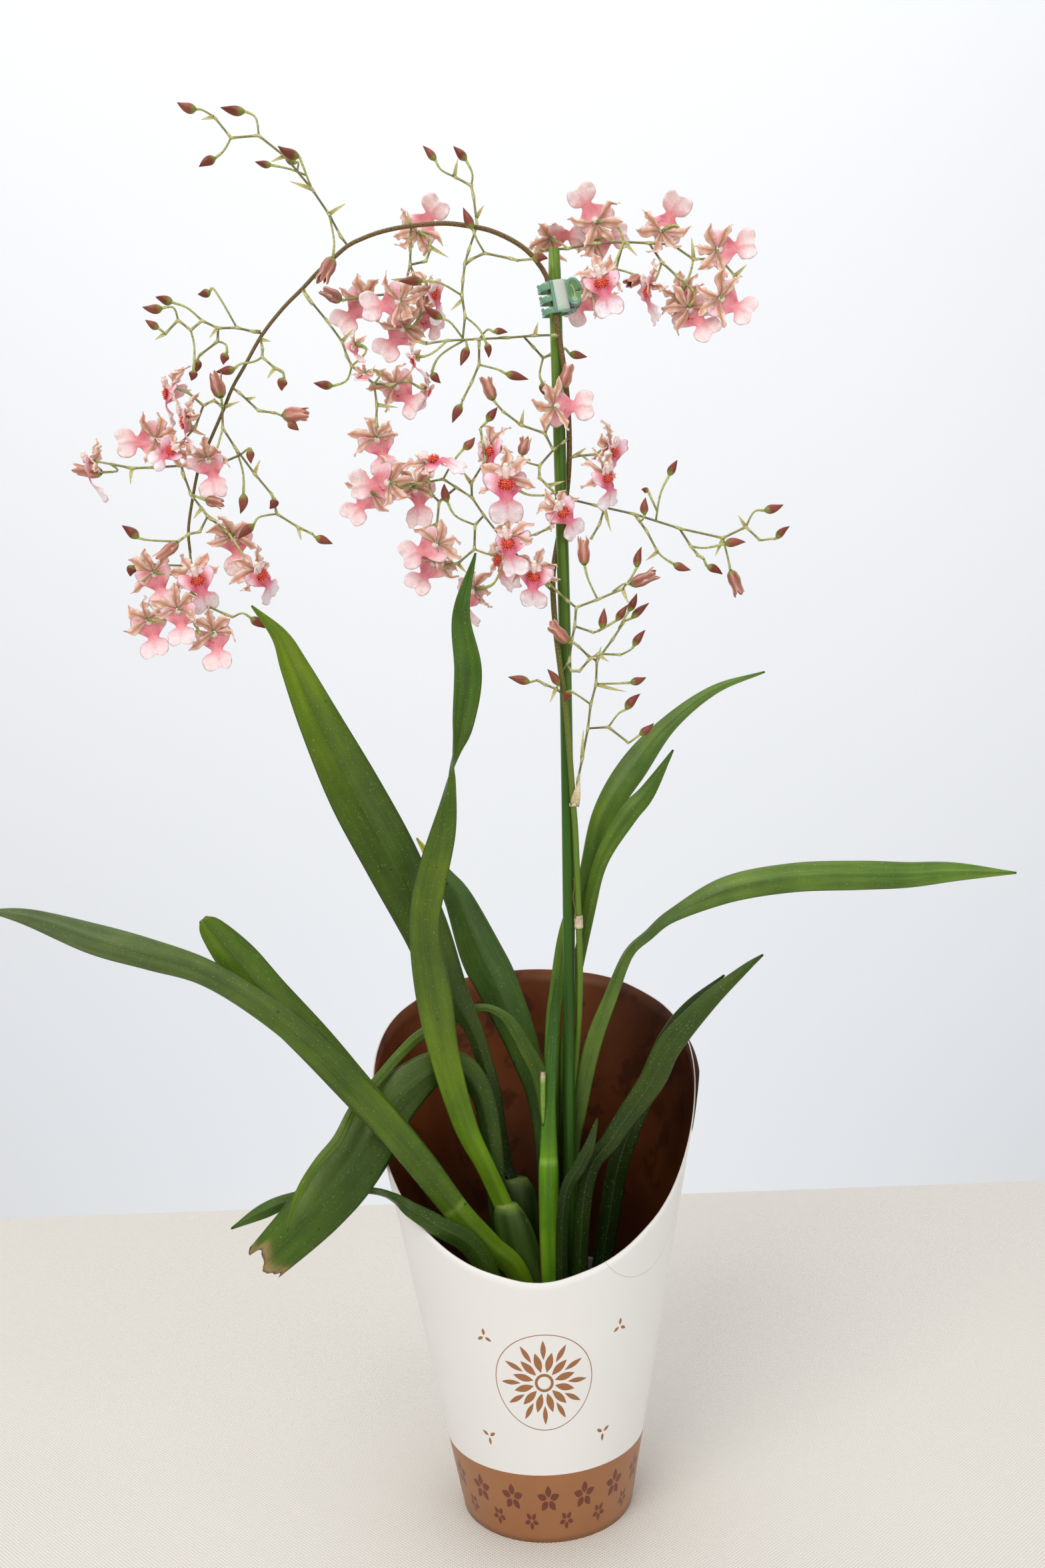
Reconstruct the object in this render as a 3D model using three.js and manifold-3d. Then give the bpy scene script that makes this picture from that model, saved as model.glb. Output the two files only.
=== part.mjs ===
// Oncidium orchid in its grow pot and card sleeve, tied to a stake with a sprung clip.
// Millimetres, +Z up, origin at the middle of the sleeve's foot, the plant seen along +Y.
//
// Places on the plant are written on a front chart: [x, z] as seen from one eye point in front
// of the plant, and a depth y that carries the place along its line of sight. The chart and
// the real place agree at y = 0. A depth that is left out runs evenly between those given.

import * as THREE from 'three'
import Module from 'manifold-3d'
import { mergeVertices } from 'three/addons/utils/BufferGeometryUtils.js'

const EYE_DISTANCE = 775
const EYE_HEIGHT = 465
const GAP = 0.3

// Sleeve: a cone of card with a slanting top edge, low in front and high behind.
const SLEEVE_FOOT_RADIUS = 45
const SLEEVE_FLARE = 0.18
const SLEEVE_WALL = 0.8
const SLEEVE_BAND_TOP = 40.4
const SLEEVE_SIDES = 32
const RIM_HEIGHTS = [148, 157, 177, 203, 232, 250, 263, 266] // at RIM_ANGLES from the front
const RIM_ANGLES = [0, 30, 60, 80, 100, 120, 150, 180]

// Grow pot and what it holds.
const POT_RIM_HEIGHT = 108
const POT_FOOT_RADIUS = 41
const POT_WALL = 1
const POT_RIM_BAND = 5
const POT_SIDES = 20
const SOIL_HEIGHT = 96
const SOIL_BOTTOM = 1.6
const SOIL_DOME = 3
const POT_RIM_LIP = 1.2
const STAKE_RADIUS = 3.1
const STAKE_SIDES = 8

// Stake clip: two jaws on a pin, closed round the stake and the flower stem. It is drawn upright and
// then leans to the left about the middle of its pin.
const CLIP_LEAN = 9
const CLIP_PIN = [32, 0]
const CLIP_BOTTOM = 616.8
const CLIP_TOP = 632.6
const CLIP_PLATE = 1.4
const PIN_RADIUS = 0.8
const KNUCKLE_RADIUS = 2.3
const KNUCKLE_BOTTOM = 622
const KNUCKLE_TOP = 629.2
const JAW_TIP_X = 15
const JAW_SLOT_END = 23.4
const JAW_SLOTS = [[620.2, 622.6], [625.9, 628.3]] // between the three teeth of each jaw
const FRONT_JAW = [ // middle of the plate as seen from above, from the teeth to the thumb pad
  [17.2, -0.5], [17.3, -4.6], [19.6, -7.8], [24, -8.2], [28.8, -6.6], [32, -2.6], [35.2, -4], [38.6, -5.4],
]
const REAR_JAW = [
  [17.2, 0.9], [19.2, 3.3], [22.4, 4.3], [26, 4.3], [29.6, 3.5], [32, 2.6], [35.2, 4], [38.6, 5.4],
]
const FRONT_JAW_DEPTHS = [-12, 0.2]
const REAR_JAW_DEPTHS = [-0.2, 9]
const SPRING_BOTTOM = 618.6
const SPRING_TOP = 621.7
const SPRING_RADIUS = 2.1
const SPRING_WIRE = 0.35
const SPRING_LEG = [[33.3, 1.4, 620.2], [37.3, 3.2, 620.2]] // rests against the rear thumb pad

// Flower parts.
const STEM_FOOT_RADIUS = 1.8
const STEM_ARCH_RADIUS = 1.25
const STEM_TIP_RADIUS = 0.7
const STEM_SIDES = 5
const TWIG_RADIUS = 0.75
const TWIG_SIDES = 3
const PEDICEL_RADIUS = 0.65
const BUD_RINGS = [[0.3, 1.2], [0.7, 0.8]] // share of the length, share of the width
const BUD_SIDES = 3
const JOIN_THICKNESS = 1.2 // where the lip joins the star and at its waist
const TEPAL_ANGLES = [72, 122, 180, 238, 288] // round from the lip
const TEPAL_EDGE = [[7, 2.2, -1.2], [12.8, 0, -4], [7, -2.2, -1.2]] // along, half width, rise
const VALLEY = 1.8
const LIP_ROOT = 1.3
const LIP_SIDE_LOBE = [5.9, 5.6, 0.9]
const LIP_WAIST = [2.3, 9.2, 2]
const LIP_BLADE = [[7.4, 12.8, 1.2], [5.2, 18.2, -0.6], [0, 15.8, 0.4]] // shoulder, lobe tip, notch
// Along the lip, front and back of the thickest place of the star, the throat and the blade.
const COLUMN = [0, 2.4, -1.2]
const CREST = [4.6, 3.4, 0.6]
const LIP_SWELL = [13.6, 1.7, 0.4]
const PEDICEL_SEAT = [1.8, 0.5] // where the pedicel joins: up from the middle and behind it
const LEAF_THICKNESS = 0.9
const LEAF_FOLD = 0.16 // rise of a blade's edges over its midrib, as a share of its width

// Pseudobulbs: oval, ribbed lengthwise, widest a third of the way up.
const BULB_PROFILE = [[0, 0.62], [0.2, 0.92], [0.48, 1], [0.74, 0.96], [0.91, 0.8], [1, 0.5]]
const BULB_SIDES = 10
const BULB_RIBS = 5
const BULB_RIB = 0.05
const BULBS = [ // x and y of the foot, x of the top, heights and the widest section
  { name: 'pseudobulb_front', x: 0, y: -11, topX: -16.2, foot: 92, top: 166, width: 21.5, depth: 13 },
  { name: 'pseudobulb_back', x: -17.5, y: 4, topX: -12, foot: 92, top: 174, width: 28, depth: 13 },
]
const SHOOT_THICKNESS = 0.45
const SHOOT = [ // chart place, width and depth
  [6, 76, 9, -15], [5.5, 130, 9.5, -15], [5.6, 157, 9.5, -14], [6.5, 184, 9.3, -13], [7.8, 215, 7, -12],
  [10, 240, 6, -11], [12, 262, 4.5, -10], [14, 283, 1, -9],
]

const COLOURS = {
  sleeve: 0xf4f3f1, pot: 0xdfe4e4, soil: 0x3b2a1e, stake: 0x2f6b2c, clip: 0x5f9674, steel: 0xb8babd,
  leaf: 0x4f7a2e, bulb: 0x5b7a3c, shoot: 0x6f9a34, stem: 0x6b6a2e, spray: 0xc98b7c,
}

const STEM = [
  [16.5, 92, 9], [17, 130, 9], [18.5, 170, 9], [20, 205, 9], [22.6, 238, 7], [25, 262, 2.4],
  [26.2, 285, -1.6], [26.4, 306, -3], [26.4, 330, -3.5], [26.2, 357, -4.3], [25.6, 372, -4.6],
  [24.5, 400, -5.2], [23.5, 420, -5.2], [21.5, 440, -5.2], [19.7, 460, -4.6], [18.9, 478, -3],
  [19.3, 490, 1], [21.5, 502, 4.6], [24, 513, 5.4], [27.2, 528, 5.2], [29.2, 545, 3], [29.6, 565, -1.5],
  [28.6, 585, -4.2], [26.2, 606, -5.2], [24.4, 618, -5.2], [22.5, 627, -5.2], [20.8, 635, -5.2],
  [16.5, 642, -5.2], [11.5, 647.7, -5.4], [4, 653, -5.6], [-6, 657.7, -6], [-16.4, 660.2, -6],
  [-28, 661.9, -6], [-40, 661.6, -6], [-51.6, 660.5, -6], [-62, 658.4, -6], [-70, 655.7, -6],
  [-76.5, 652.8, -6], [-84, 647, -6], [-91.9, 640.7, -6], [-99.5, 633.4, -6], [-109.7, 624.2, -6],
  [-121, 611.4, -6.5], [-131, 595.8, -7], [-137, 586.5, -7], [-141.8, 576.4, -7.5], [-148.8, 562.6, -8],
  [-155.6, 549, -8], [-160.6, 530, -8], [-163, 516.7, -8], [-162.7, 506, -8],
]

const STAKE = [
  [15.5, 22, 0], [16.5, 120, 0], [18, 205, 0], [19.6, 260, 0], [21.2, 306, 0], [23.2, 400, 0],
  [24.2, 470, 0], [24.6, 540, 0], [24.9, 610, 0], [25.1, 648, 0],
]

const SPRAYS = {
  spray_top_left: {
    twigs: [
      [[-76.5, 653], [-79.6, 657.4], [-84.8, 668], [-92.7, 680.5], [-105, 696.3], [-117.4, 706.6],
        [-131, 706], [-138.5, 716, -12]],
    ],
    buds: [
      [5, [-138.5, 716], [-144.5, 720], [-147.1, 720], [-156.4, 723.6, -14]],
      [4.6, [-131, 706], [-134.5, 700], [-139.2, 696.7], [-147.5, 692.8, -18]],
      [4.8, [-117.4, 706.6], [-117.8, 715.8], [-123.5, 718.2], [-135.5, 720.5, -4]],
      [5, [-92.7, 680.5], [-95, 687], [-98, 696], [-108.5, 701.5, -16]],
      [3.6, [-95, 687], [-103, 690.5], [-112, 692.5], [-120, 694.4, -2]],
      [4.2, [-99.5, 688.8], [-98.3, 694], [-100.3, 693], [-105.5, 698, -1]],
      [7, [-84.8, 668], [-82.6, 655.4, -13], [-84, 647.5, -13.5], [-90.5, 636, -13.5]],
    ],
  },
  spray_front_fan: {
    twigs: [
      [[25.9, 605.5], [24.2, 606.4, -7.2], [14.2, 606.5, -7.6], [0, 605.9], [-13.2, 605.8], [-29.4, 605.6],
        [-39.2, 604.6, -12]],
      [[8.9, 605.9], [13.3, 600.9, -3], [17.9, 595.6, 3], [21.5, 596.9, 6], [29.2, 599.7, 8]],
      [[-21.6, 606.5], [-20, 616.9], [-21.2, 627.1], [-20.4, 634.3, -3], [-19.1, 642.3], [-16.9, 648.7],
        [-12.4, 660.2, 2.5], [-13.5, 674], [-14.5, 679.3], [-22.5, 683.8, 7]],
      [[-18.9, 641.7], [-16, 644.2], [-9.2, 647], [4.1, 643.8], [7.3, 642.9, -10]],
      [[-13.6, 605.8], [-13.6, 603.4], [-14, 593.4], [-18, 585], [-22.9, 576.4, -9]],
    ],
    buds: [
      [4.2, [29.2, 599.7], [31.1, 597], [39.9, 595.2, 12]],
      [4.2, [17.9, 595.6], [15.5, 587.3], [17, 583.5, 2], [19, 576.4, 2]],
      [3.4, [-13.4, 605.8], [-9, 611], [-6.1, 608.9, -13], [0.9, 608.5, -13]],
      [4, [-22.5, 683.8], [-29.4, 687.1], [-31.5, 691.9], [-37.5, 699.1, 10]],
      [4.4, [-14.5, 679.3], [-13.2, 684.8], [-16.5, 691.4], [-22.6, 698.3, 3]],
      [4.6, [7.3, 642.9], [14.6, 643.4, -10.6], [22, 643.2, -10.6]],
      [4.6, [-9.2, 647], [-13, 653.8, -11], [-14.7, 658.7, -12], [-18.9, 669.2, -13]],
      [4.6, [-21.2, 627.1], [-32, 634.3], [-40.2, 634.7], [-52.2, 635, -14]],
      [3.6, [-20, 616.9], [-13, 611], [-9.9, 603.6, -14], [-9.1, 596.4, -14]],
      [4.4, [-21.6, 606.5], [-27.3, 614.8], [-31.4, 616.5], [-40.2, 622.9, -16]],
      [4.4, [-20.2, 605.7], [-19.4, 601.9], [-23.3, 593, -16]],
      [4.6, [-22.9, 576.4], [-23.6, 574.3], [-28.4, 565.4, -10]],
      [4.4, [-14, 593.3], [-4.5, 590.8], [-0.9, 588.5], [10.4, 585.3, -12]],
      [4.2, [-20.2, 605.7], [-28.5, 601.8], [-35.1, 597.1], [-37.7, 590.4], [-33.4, 585, -6]],
    ],
    blooms: [
      [-95, -20, -105, 0.62, [-29.4, 605.6], [-35.4, 600.4], [-41.2, 598], [-45.9, 597.5, -15]],
    ],
  },
  spray_under_arch: {
    twigs: [
      [[-44.7, 661], [-45.3, 656, -2], [-45.6, 650.7, 1], [-46.1, 642.7, 2], [-48.3, 635.3], [-52, 630.5],
        [-57.7, 629], [-66.1, 628.5], [-80.8, 626.8, 2]],
      [[-46.1, 642.7], [-44.5, 638], [-46, 631], [-50, 627, 5]],
      [[-46.1, 642.7], [-38.2, 644.1], [-35.6, 650.3], [-37, 656, 6]],
      [[-44.5, 638], [-41, 632, 5], [-39, 622, 7], [-46, 613, 8]],
    ],
    buds: [
      [6.5, [-80.8, 626.8], [-80.9, 626.7], [-89.9, 632.6, 0]],
    ],
    blooms: [
      [180, 10, 50, 1, [-37, 656], [-40.3, 659.6, 9]],
      [175, 0, 190, 1, [-50, 627], [-53.6, 625.1, -4]],
      [180, 5, 225, 1, [-66.1, 628.5], [-70.7, 625, 6]],
      [60, 0, -30, 0.9, [-41, 632], [-36.5, 629, 1]],
      [150, 0, -30, 0.9, [-39, 622], [-42, 617.5, 18]],
      [180, 0, 230, 1, [-46, 613], [-51.5, 611.6, 10]],
    ],
  },
  spray_arch_drop: {
    twigs: [
      [[-99.5, 633.4], [-96.3, 627.4, -8], [-88.2, 617], [-81.3, 606.8], [-79.4, 599.8], [-77.2, 595],
        [-66.5, 585.9], [-65.6, 575.7], [-66.3, 567.8], [-65.1, 562.2, -6]],
      [[-66.5, 585.9], [-59, 585, -7], [-50, 587, -5], [-43.9, 583.3, -2]],
    ],
    buds: [
      [4.4, [-77.2, 595], [-79.4, 587.4], [-87.2, 585.6], [-96.7, 587.4, -12]],
    ],
    blooms: [
      [165, 15, -80, 1, [-65.1, 562.2], [-66.2, 558, -5]],
      [170, 5, -50, 1, [-59, 585], [-55.1, 583.7, 1]],
      [-120, -10, -80, 0.5, [-77.2, 595], [-70, 600.5], [-69.4, 604], [-75, 604.6, -14]],
      [180, -50, -95, 0.5, [-66.5, 585.9], [-62, 591], [-66, 593], [-71.4, 590.6, -13]],
      [100, -20, -40, 0.62, [-46, 584.7], [-43.9, 583.3], [-40.5, 582, -3]],
    ],
  },
  spray_top_right: {
    twigs: [
      [[14.5, 644.3], [16.4, 646.6, -4], [19.6, 647.4, 2], [24, 647.6, 6], [32, 647.7, 7], [45.5, 649.8],
        [59.6, 649.9], [72, 648.9], [83.2, 647.9], [93.8, 640.4], [106.8, 640.3], [114, 631.7, 2]],
      [[72, 648.9], [78.1, 639.5], [85.6, 632.4], [93.7, 625, -2]],
      [[59.5, 650], [55.3, 637], [49.1, 632], [46, 627.6, 10]],
    ],
    buds: [
      [5.5, [55.3, 637], [60.5, 635.7], [66.5, 633, 4], [61, 629, -2]],
    ],
    blooms: [
      [-170, 50, -10, 1, [32, 647.7], [28, 651], [25.1, 653, 13]],
      [175, 10, 120, 1, [59.3, 650.3], [58.2, 656], [53, 659.6], [45.4, 661.3, 6]],
      [180, 0, 10, 0.9, [55, 650], [51, 653, 14], [46.8, 651, 17]],
      [0, 5, -75, 1, [59.5, 650], [55, 640, -4], [50, 633, -10], [47.4, 631.5, -12]],
      [180, 0, 225, 1, [46, 627.6], [42, 625, 16]],
      [180, 5, 60, 1, [83.3, 648], [88, 656.2], [83.2, 657.5], [79.1, 655.6, 4]],
      [175, 0, 5, 1, [106.8, 640.3], [107.2, 644.8, 1]],
      [170, 0, -30, 1, [113.5, 631.5], [110.6, 621.6], [107.7, 620.7, -4]],
      [-80, 0, -60, 1, [78.1, 639.5], [75.6, 632.6], [72.4, 627.4, -2]],
      [175, 0, -50, 1, [93.7, 625], [94.1, 621], [91.8, 616, 3]],
      [180, 0, -20, 0.9, [93.5, 640], [92, 633], [87.8, 623, 9]],
    ],
  },
  spray_left: {
    twigs: [
      [[-121.3, 612.4], [-125, 613.3, -9], [-133.2, 615.5], [-142.4, 615.6], [-150.2, 619.5], [-156, 615.1],
        [-162, 620.2], [-168.7, 613.9, -12]],
      [[-142.4, 615.6], [-143, 609.2], [-152.4, 602.8, -8]],
    ],
    buds: [
      [4.2, [-133.2, 615.5], [-139.6, 628.2], [-144.3, 636], [-145.3, 633.5], [-151.6, 632.3, -6]],
      [4.4, [-143, 609.2], [-138.6, 608, -15], [-138.7, 603.3, -15], [-140.8, 597.8, -15]],
      [4.4, [-152.4, 602.8], [-153.5, 600.8], [-155.5, 594, -8]],
      [4.6, [-150.2, 619.5], [-157, 626.4], [-164.3, 628.8], [-172.6, 631.8, -6]],
      [4.2, [-156, 615.1], [-154.3, 607.3], [-155.8, 595.6, -16], [-157.3, 590.6, -16]],
      [4.6, [-162, 620.2], [-163.4, 627.2], [-169.4, 626.3], [-179.4, 627.2, -16]],
      [4, [-168.7, 613.9], [-171.9, 616.6], [-178.3, 620.9, -13]],
    ],
  },
  twig_left_pair: {
    twigs: [
      [[-121.8, 610.2], [-121, 605, -10], [-121.4, 600.8, -12], [-115.2, 595.2], [-111.2, 593, -10]],
    ],
    buds: [
      [5, [-111.2, 593], [-111, 590.3], [-112.5, 584, -10]],
      [4.4, [-121.4, 600.8], [-125.7, 598.5, -12], [-132.8, 598.2, -12], [-135.2, 595.8],
        [-145, 594.5, -12]],
    ],
  },
  twig_left_inner: {
    twigs: [
      [[-137, 586.5], [-133.7, 584, -8], [-124.6, 574.9], [-116.4, 573.5, -8]],
    ],
    buds: [
      [7.5, [-116.4, 573.5], [-112.8, 572], [-100.7, 572.8, -8]],
      [4.5, [-112.8, 572], [-110, 569], [-105, 564.5, -8]],
    ],
  },
  spray_lower_left: {
    twigs: [
      [[-141.8, 576.4], [-142.5, 577.5, -10.5], [-146.5, 580.7], [-151.9, 578.4], [-159.4, 585.2],
        [-162.9, 586.5, -12]],
      [[-151.9, 578.4], [-156.5, 568], [-164, 560.5], [-168, 560, -12]],
      [[-142.5, 577.5], [-142.9, 567, -12], [-137.1, 557], [-128.2, 544], [-120.1, 533.5], [-118.2, 523.9],
        [-107.5, 516.7], [-100.7, 513.3, -8]],
      [[-135, 553.5], [-143.6, 550.4, -13], [-157.2, 550, -13], [-164.5, 549.3], [-178.3, 549], [-189, 549],
        [-199.8, 551.4, -14]],
      [[-164.5, 549], [-163.9, 545.7, -13], [-160.6, 535, -13], [-155.6, 527.9], [-152.9, 524],
        [-143.3, 515.6, -10]],
      [[-152.9, 524], [-157.3, 516.4, -13], [-162.9, 515.5, -13], [-168.4, 512, -13]],
    ],
    buds: [
      [7, [-142.5, 577.5], [-142.8, 581.9, -14], [-146, 594, -12]],
      [4.4, [-100.7, 513.3], [-99.4, 511.5], [-90.8, 508, -7]],
      [4, [-135, 553.5], [-129.8, 557.3], [-129.4, 556], [-129.7, 549, -14]],
      [4.4, [-120.1, 533.5], [-118.6, 531], [-121.8, 526.5, -14]],
      [4.6, [-118.2, 523.9], [-127.9, 523], [-130, 519], [-138.5, 511.9, -16]],
      [4.6, [-137.1, 557], [-133.5, 545], [-134.3, 534.5], [-136.5, 524.5, -9]],
      [6.5, [-199.8, 551.4], [-194.9, 547.5], [-204.4, 547.5], [-217.4, 549, -10]],
      [5.5, [-160.6, 535], [-153.4, 532, -16], [-145.1, 530.1, -16]],
      [5.5, [-168.4, 512], [-168.7, 511.5], [-179.2, 503.6, -17]],
      [5, [-168.4, 512], [-183, 513], [-188.3, 514.4], [-196.2, 521, -13]],
    ],
    blooms: [
      [-80, 10, 215, 1, [-162.9, 586.5], [-167.6, 586, -12]],
      [180, 0, 185, 1, [-168, 560], [-178.4, 562.9, -8]],
      [10, 0, 215, 0.7, [-164.5, 549.5], [-166.9, 553, -14], [-169, 557, -17]],
      [-80, 0, -70, 1, [-154.3, 573], [-157, 573], [-160.2, 571.9, -17]],
      [170, 20, -85, 1, [-142.9, 567], [-147.6, 552.8], [-151, 550.8, -16]],
      [-80, 0, -100, 1, [-199.8, 551.4], [-205.6, 552.7], [-208.8, 551, -24]],
      [180, 20, -85, 1, [-143.3, 515.6], [-140.5, 512, -6]],
      [50, 0, -35, 1, [-143.3, 515.6], [-136.9, 506.2], [-134.8, 499.6], [-129.5, 494.8, -10]],
    ],
  },
  spray_tip: {
    twigs: [
      [[-162.9, 508.5], [-162.5, 500, -9], [-163.3, 492], [-163, 486.3, -8], [-159.3, 482.8],
        [-157.3, 480.1], [-146.2, 474.6], [-142.9, 473.3, -6]],
      [[-157.3, 480.1], [-162, 479], [-165, 477.3, -8], [-170.3, 475.6], [-176.4, 473.6],
        [-181.3, 473, -9]],
      [[-165, 477.3], [-162.2, 470.3], [-160.3, 466], [-156.6, 462.6, -8]],
    ],
    buds: [
      [4.6, [-142.9, 473.3], [-138, 475.7], [-134.1, 472.5], [-127, 467.1, -6]],
      [5, [-163, 500], [-170, 500, -4], [-184, 501.5], [-191.4, 500.8], [-193.5, 495.4, -4]],
    ],
    blooms: [
      [180, 0, -75, 1, [-163.3, 495.5], [-170, 495.2], [-181.3, 495.6, -5]],
      [20, 0, -70, 1, [-163.3, 492], [-160.5, 493.5, -13]],
      [180, 0, -85, 0.95, [-165, 477.3], [-170.5, 476.9, -12]],
      [180, 0, -78, 1, [-181.3, 473], [-185.6, 471.9, -6]],
      [180, 0, -82, 1, [-156.6, 462.6], [-152.9, 464.6, -9]],
    ],
  },
  spray_centre_left: {
    twigs: [
      [[19, 479.5], [15.5, 484, -6.5], [7.8, 492.3], [-3.6, 504.7], [-14.5, 519.4], [-20.1, 528.5],
        [-27.7, 533.7], [-34.1, 538.1], [-45, 536.4], [-57, 536, -10]],
      [[-27.7, 533.7], [-36.6, 527], [-38.2, 515.8], [-37.5, 510, -6]],
      [[-36.6, 527], [-40.5, 531], [-41.5, 538, -14]],
      [[-14.5, 519.4], [-19.1, 514.8], [-19.9, 502.8], [-28.4, 496.1], [-38, 495.3, -6]],
      [[-20.1, 528.5], [-20.1, 535.6], [-12.8, 546.5], [-13.7, 555.9], [-14.6, 562.4, -10]],
    ],
    buds: [
      [4.4, [-34.1, 538.1], [-29, 546.5], [-23.4, 552.6, -14], [-17.4, 558.1, -15]],
      [4.4, [-19.1, 514.8], [-29.5, 519.3], [-32.4, 526.7], [-33.7, 535.9, -16]],
      [4.4, [-14.6, 562.4], [-11, 565.7], [-5.6, 572.4, -10]],
    ],
    blooms: [
      [180, 0, 185, 1, [-57, 536], [-62.7, 537.3, -10]],
      [180, 0, 230, 0.95, [-50.4, 535.5], [-63, 532, 0], [-71.6, 531.6, 4]],
      [160, 20, -90, 1, [-45, 536.4], [-48.3, 532.7, -1]],
      [180, 0, 200, 1, [-37.5, 510], [-40, 505.4, -9]],
      [0, 60, -15, 1, [-41.5, 538], [-40.4, 546.3, -18]],
      [-60, 0, -60, 1, [-19.9, 502.8], [-12, 499.5], [-6.7, 498.4, 6]],
      [180, 0, 230, 0.95, [-38, 495.3], [-41, 496, -3]],
      [-45, 0, -80, 0.95, [-12.8, 546.5], [-9.8, 552, -7]],
      [-120, 0, 220, 1, [-4, 504], [-7, 492, 0], [-11, 484, 4], [-21.4, 481.3, 4]],
    ],
  },
  spray_centre: {
    twigs: [
      [[29.3, 556], [27.2, 554.5, -3.5], [21.4, 550.4, -6], [17.5, 558.7], [5.9, 563.2], [-3.3, 570.5, -4]],
      [[17.5, 558.7], [19, 562], [22, 567, -9]],
      [[21.4, 550.4], [14.2, 542.9], [14, 537], [18, 533], [22.1, 528.5, -8]],
      [[22.1, 528.5], [22.3, 516, -8], [18, 512], [11, 509, -10]],
    ],
    buds: [
      [6, [-3.3, 570.5], [-7.6, 575.9], [-11.6, 587.5, -3]],
      [6, [22, 567], [26.5, 577, -10.5], [27, 580.5, -11], [31, 591, -11.5]],
      [5.5, [14.2, 542.9], [7, 545], [5.5, 548.5], [8.5, 557, -9]],
    ],
    blooms: [
      [180, 0, 0, 1, [22, 567], [24.5, 571.7, -13]],
      [0, 0, -90, 1.15, [21.5, 529.5], [16, 528], [5, 529], [-2.6, 536.1, -21]],
      [20, 0, -50, 0.9, [22.2, 522], [24, 520.2, -13]],
      [-30, 0, -85, 1, [11, 509], [4, 508], [-1.9, 506.5, -19]],
    ],
  },
  pair_right: {
    twigs: [
      [[29.2, 546], [32, 547, 1], [42, 547.5, -2]],
    ],
    blooms: [
      [70, 0, -60, 0.95, [42, 547.5], [50.1, 549.8, 1]],
      [40, 0, -65, 0.95, [36, 547], [43, 541], [46.6, 536.9, -10]],
    ],
  },
  spray_right: {
    twigs: [
      [[27.4, 529], [30, 525.6, 4], [41.9, 522.3], [60.9, 517.4], [83.4, 509.5], [105.2, 503.9],
        [116.9, 509], [123.9, 502, -8]],
      [[83.4, 509.5], [89, 500.4], [92.6, 495.6], [95.1, 494.2, -4]],
      [[46.1, 521], [43.4, 513], [38.8, 505.8, -2]],
      [[60.9, 517.4], [63.3, 514.1], [67.1, 508.5], [72.1, 498.4, -4]],
    ],
    buds: [
      [4.6, [116.9, 509], [121, 517.4], [126.2, 516.8], [136, 519.4, -6]],
      [3.8, [123.9, 502], [129, 502.6], [132.2, 502.6], [139, 508.6, -9]],
      [6, [105.2, 503.9], [107.8, 492.6], [108.6, 487.6], [113.6, 475, -8]],
      [4.2, [95.1, 494.2], [96.8, 490.1], [104.7, 485.7, -4]],
      [4.6, [89, 500.4], [95.7, 498.9], [106, 500.9, -10], [116.7, 501.5, -13]],
      [4.2, [71.8, 514.2], [74.1, 527.4], [78.9, 535.8], [83.3, 543.4, 2]],
      [3, [72.6, 518], [68.3, 528.4], [64.8, 529.4, 4]],
      [4.2, [63.3, 514.1], [65, 514, -5], [66.2, 516.9, -7], [66.9, 525.5, -8]],
      [4.2, [72.1, 498.4], [74.6, 495.4], [80.1, 491.9], [88.8, 488.5, -9]],
    ],
  },
  spray_lower_front: {
    twigs: [
      [[22.5, 440.5], [26, 445, -7.2], [27.4, 454.8, -7.2], [29.3, 462.5], [30.3, 471.9], [41.3, 475.5],
        [54, 480.3, -10]],
      [[30.3, 471.9], [26.3, 475.2, -8], [20.7, 480.6, -10]],
      [[29.3, 462.5], [39, 458.9, -9]],
      [[24.7, 443.4], [27, 440, -7.6], [30.9, 439.8], [36.3, 445.6], [40.8, 448.1], [52.4, 447.3, -11]],
    ],
    buds: [
      [6, [41.3, 475.5], [38.8, 480.9], [36.4, 486.7], [35.2, 492.9], [34.7, 506.6, -8]],
      [6.2, [49, 479], [54.9, 483.4], [58, 482.4], [71.6, 487.4, -13]],
      [4.2, [54, 480.3], [58.4, 485.5], [61.6, 490.8], [64.2, 501.1, -7]],
      [4.4, [39, 458.9], [43.1, 460.7], [44.5, 471.2, -8]],
      [4, [41, 459.4], [50.5, 464.6], [56.4, 472.4, -12]],
      [4, [52.4, 447.3], [57.8, 449.8], [58.8, 451.4], [65, 459.4, -12]],
    ],
    blooms: [
      [-15, 0, -100, 0.95, [20.7, 480.6], [10.1, 489.3, -15]],
    ],
  },
  spray_lowest: {
    twigs: [
      [[25.8, 371], [28.5, 385, -3.5], [30.9, 395], [34.3, 410.5], [36.1, 422.7], [39.2, 433],
        [39.9, 444.6], [48.3, 455.3], [54.5, 464.1, 4]],
      [[39.9, 444.6], [35.7, 447.3, -3], [30.7, 452.4, -11], [27.8, 454.7, -12]],
      [[34.3, 410.5], [44.8, 410.8], [54.9, 402.3, 2]],
    ],
    buds: [
      [4, [54.5, 464.1], [58.3, 465.5], [67.3, 472.9, 8]],
      [4, [51.4, 460.4], [56.7, 469], [61.2, 478, 3]],
      [6, [27.8, 454.7], [25.6, 454.3], [17.2, 464.3, -13]],
      [4.2, [39.2, 433], [50.1, 432.8], [56.6, 433], [64.8, 435.4, 4]],
      [4.2, [36.1, 422.7], [29.9, 427.5, -6], [25.8, 430, -9.5], [22.8, 424.4, -10]],
      [4.6, [44.8, 410.8], [50, 417.8], [54, 419.4], [61.6, 427.2, 0]],
      [4.2, [54.9, 402.3], [58.4, 404.6], [60.6, 406.3], [68, 412, 0]],
    ],
  },
  twig_low_buds: {
    twigs: [
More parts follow.
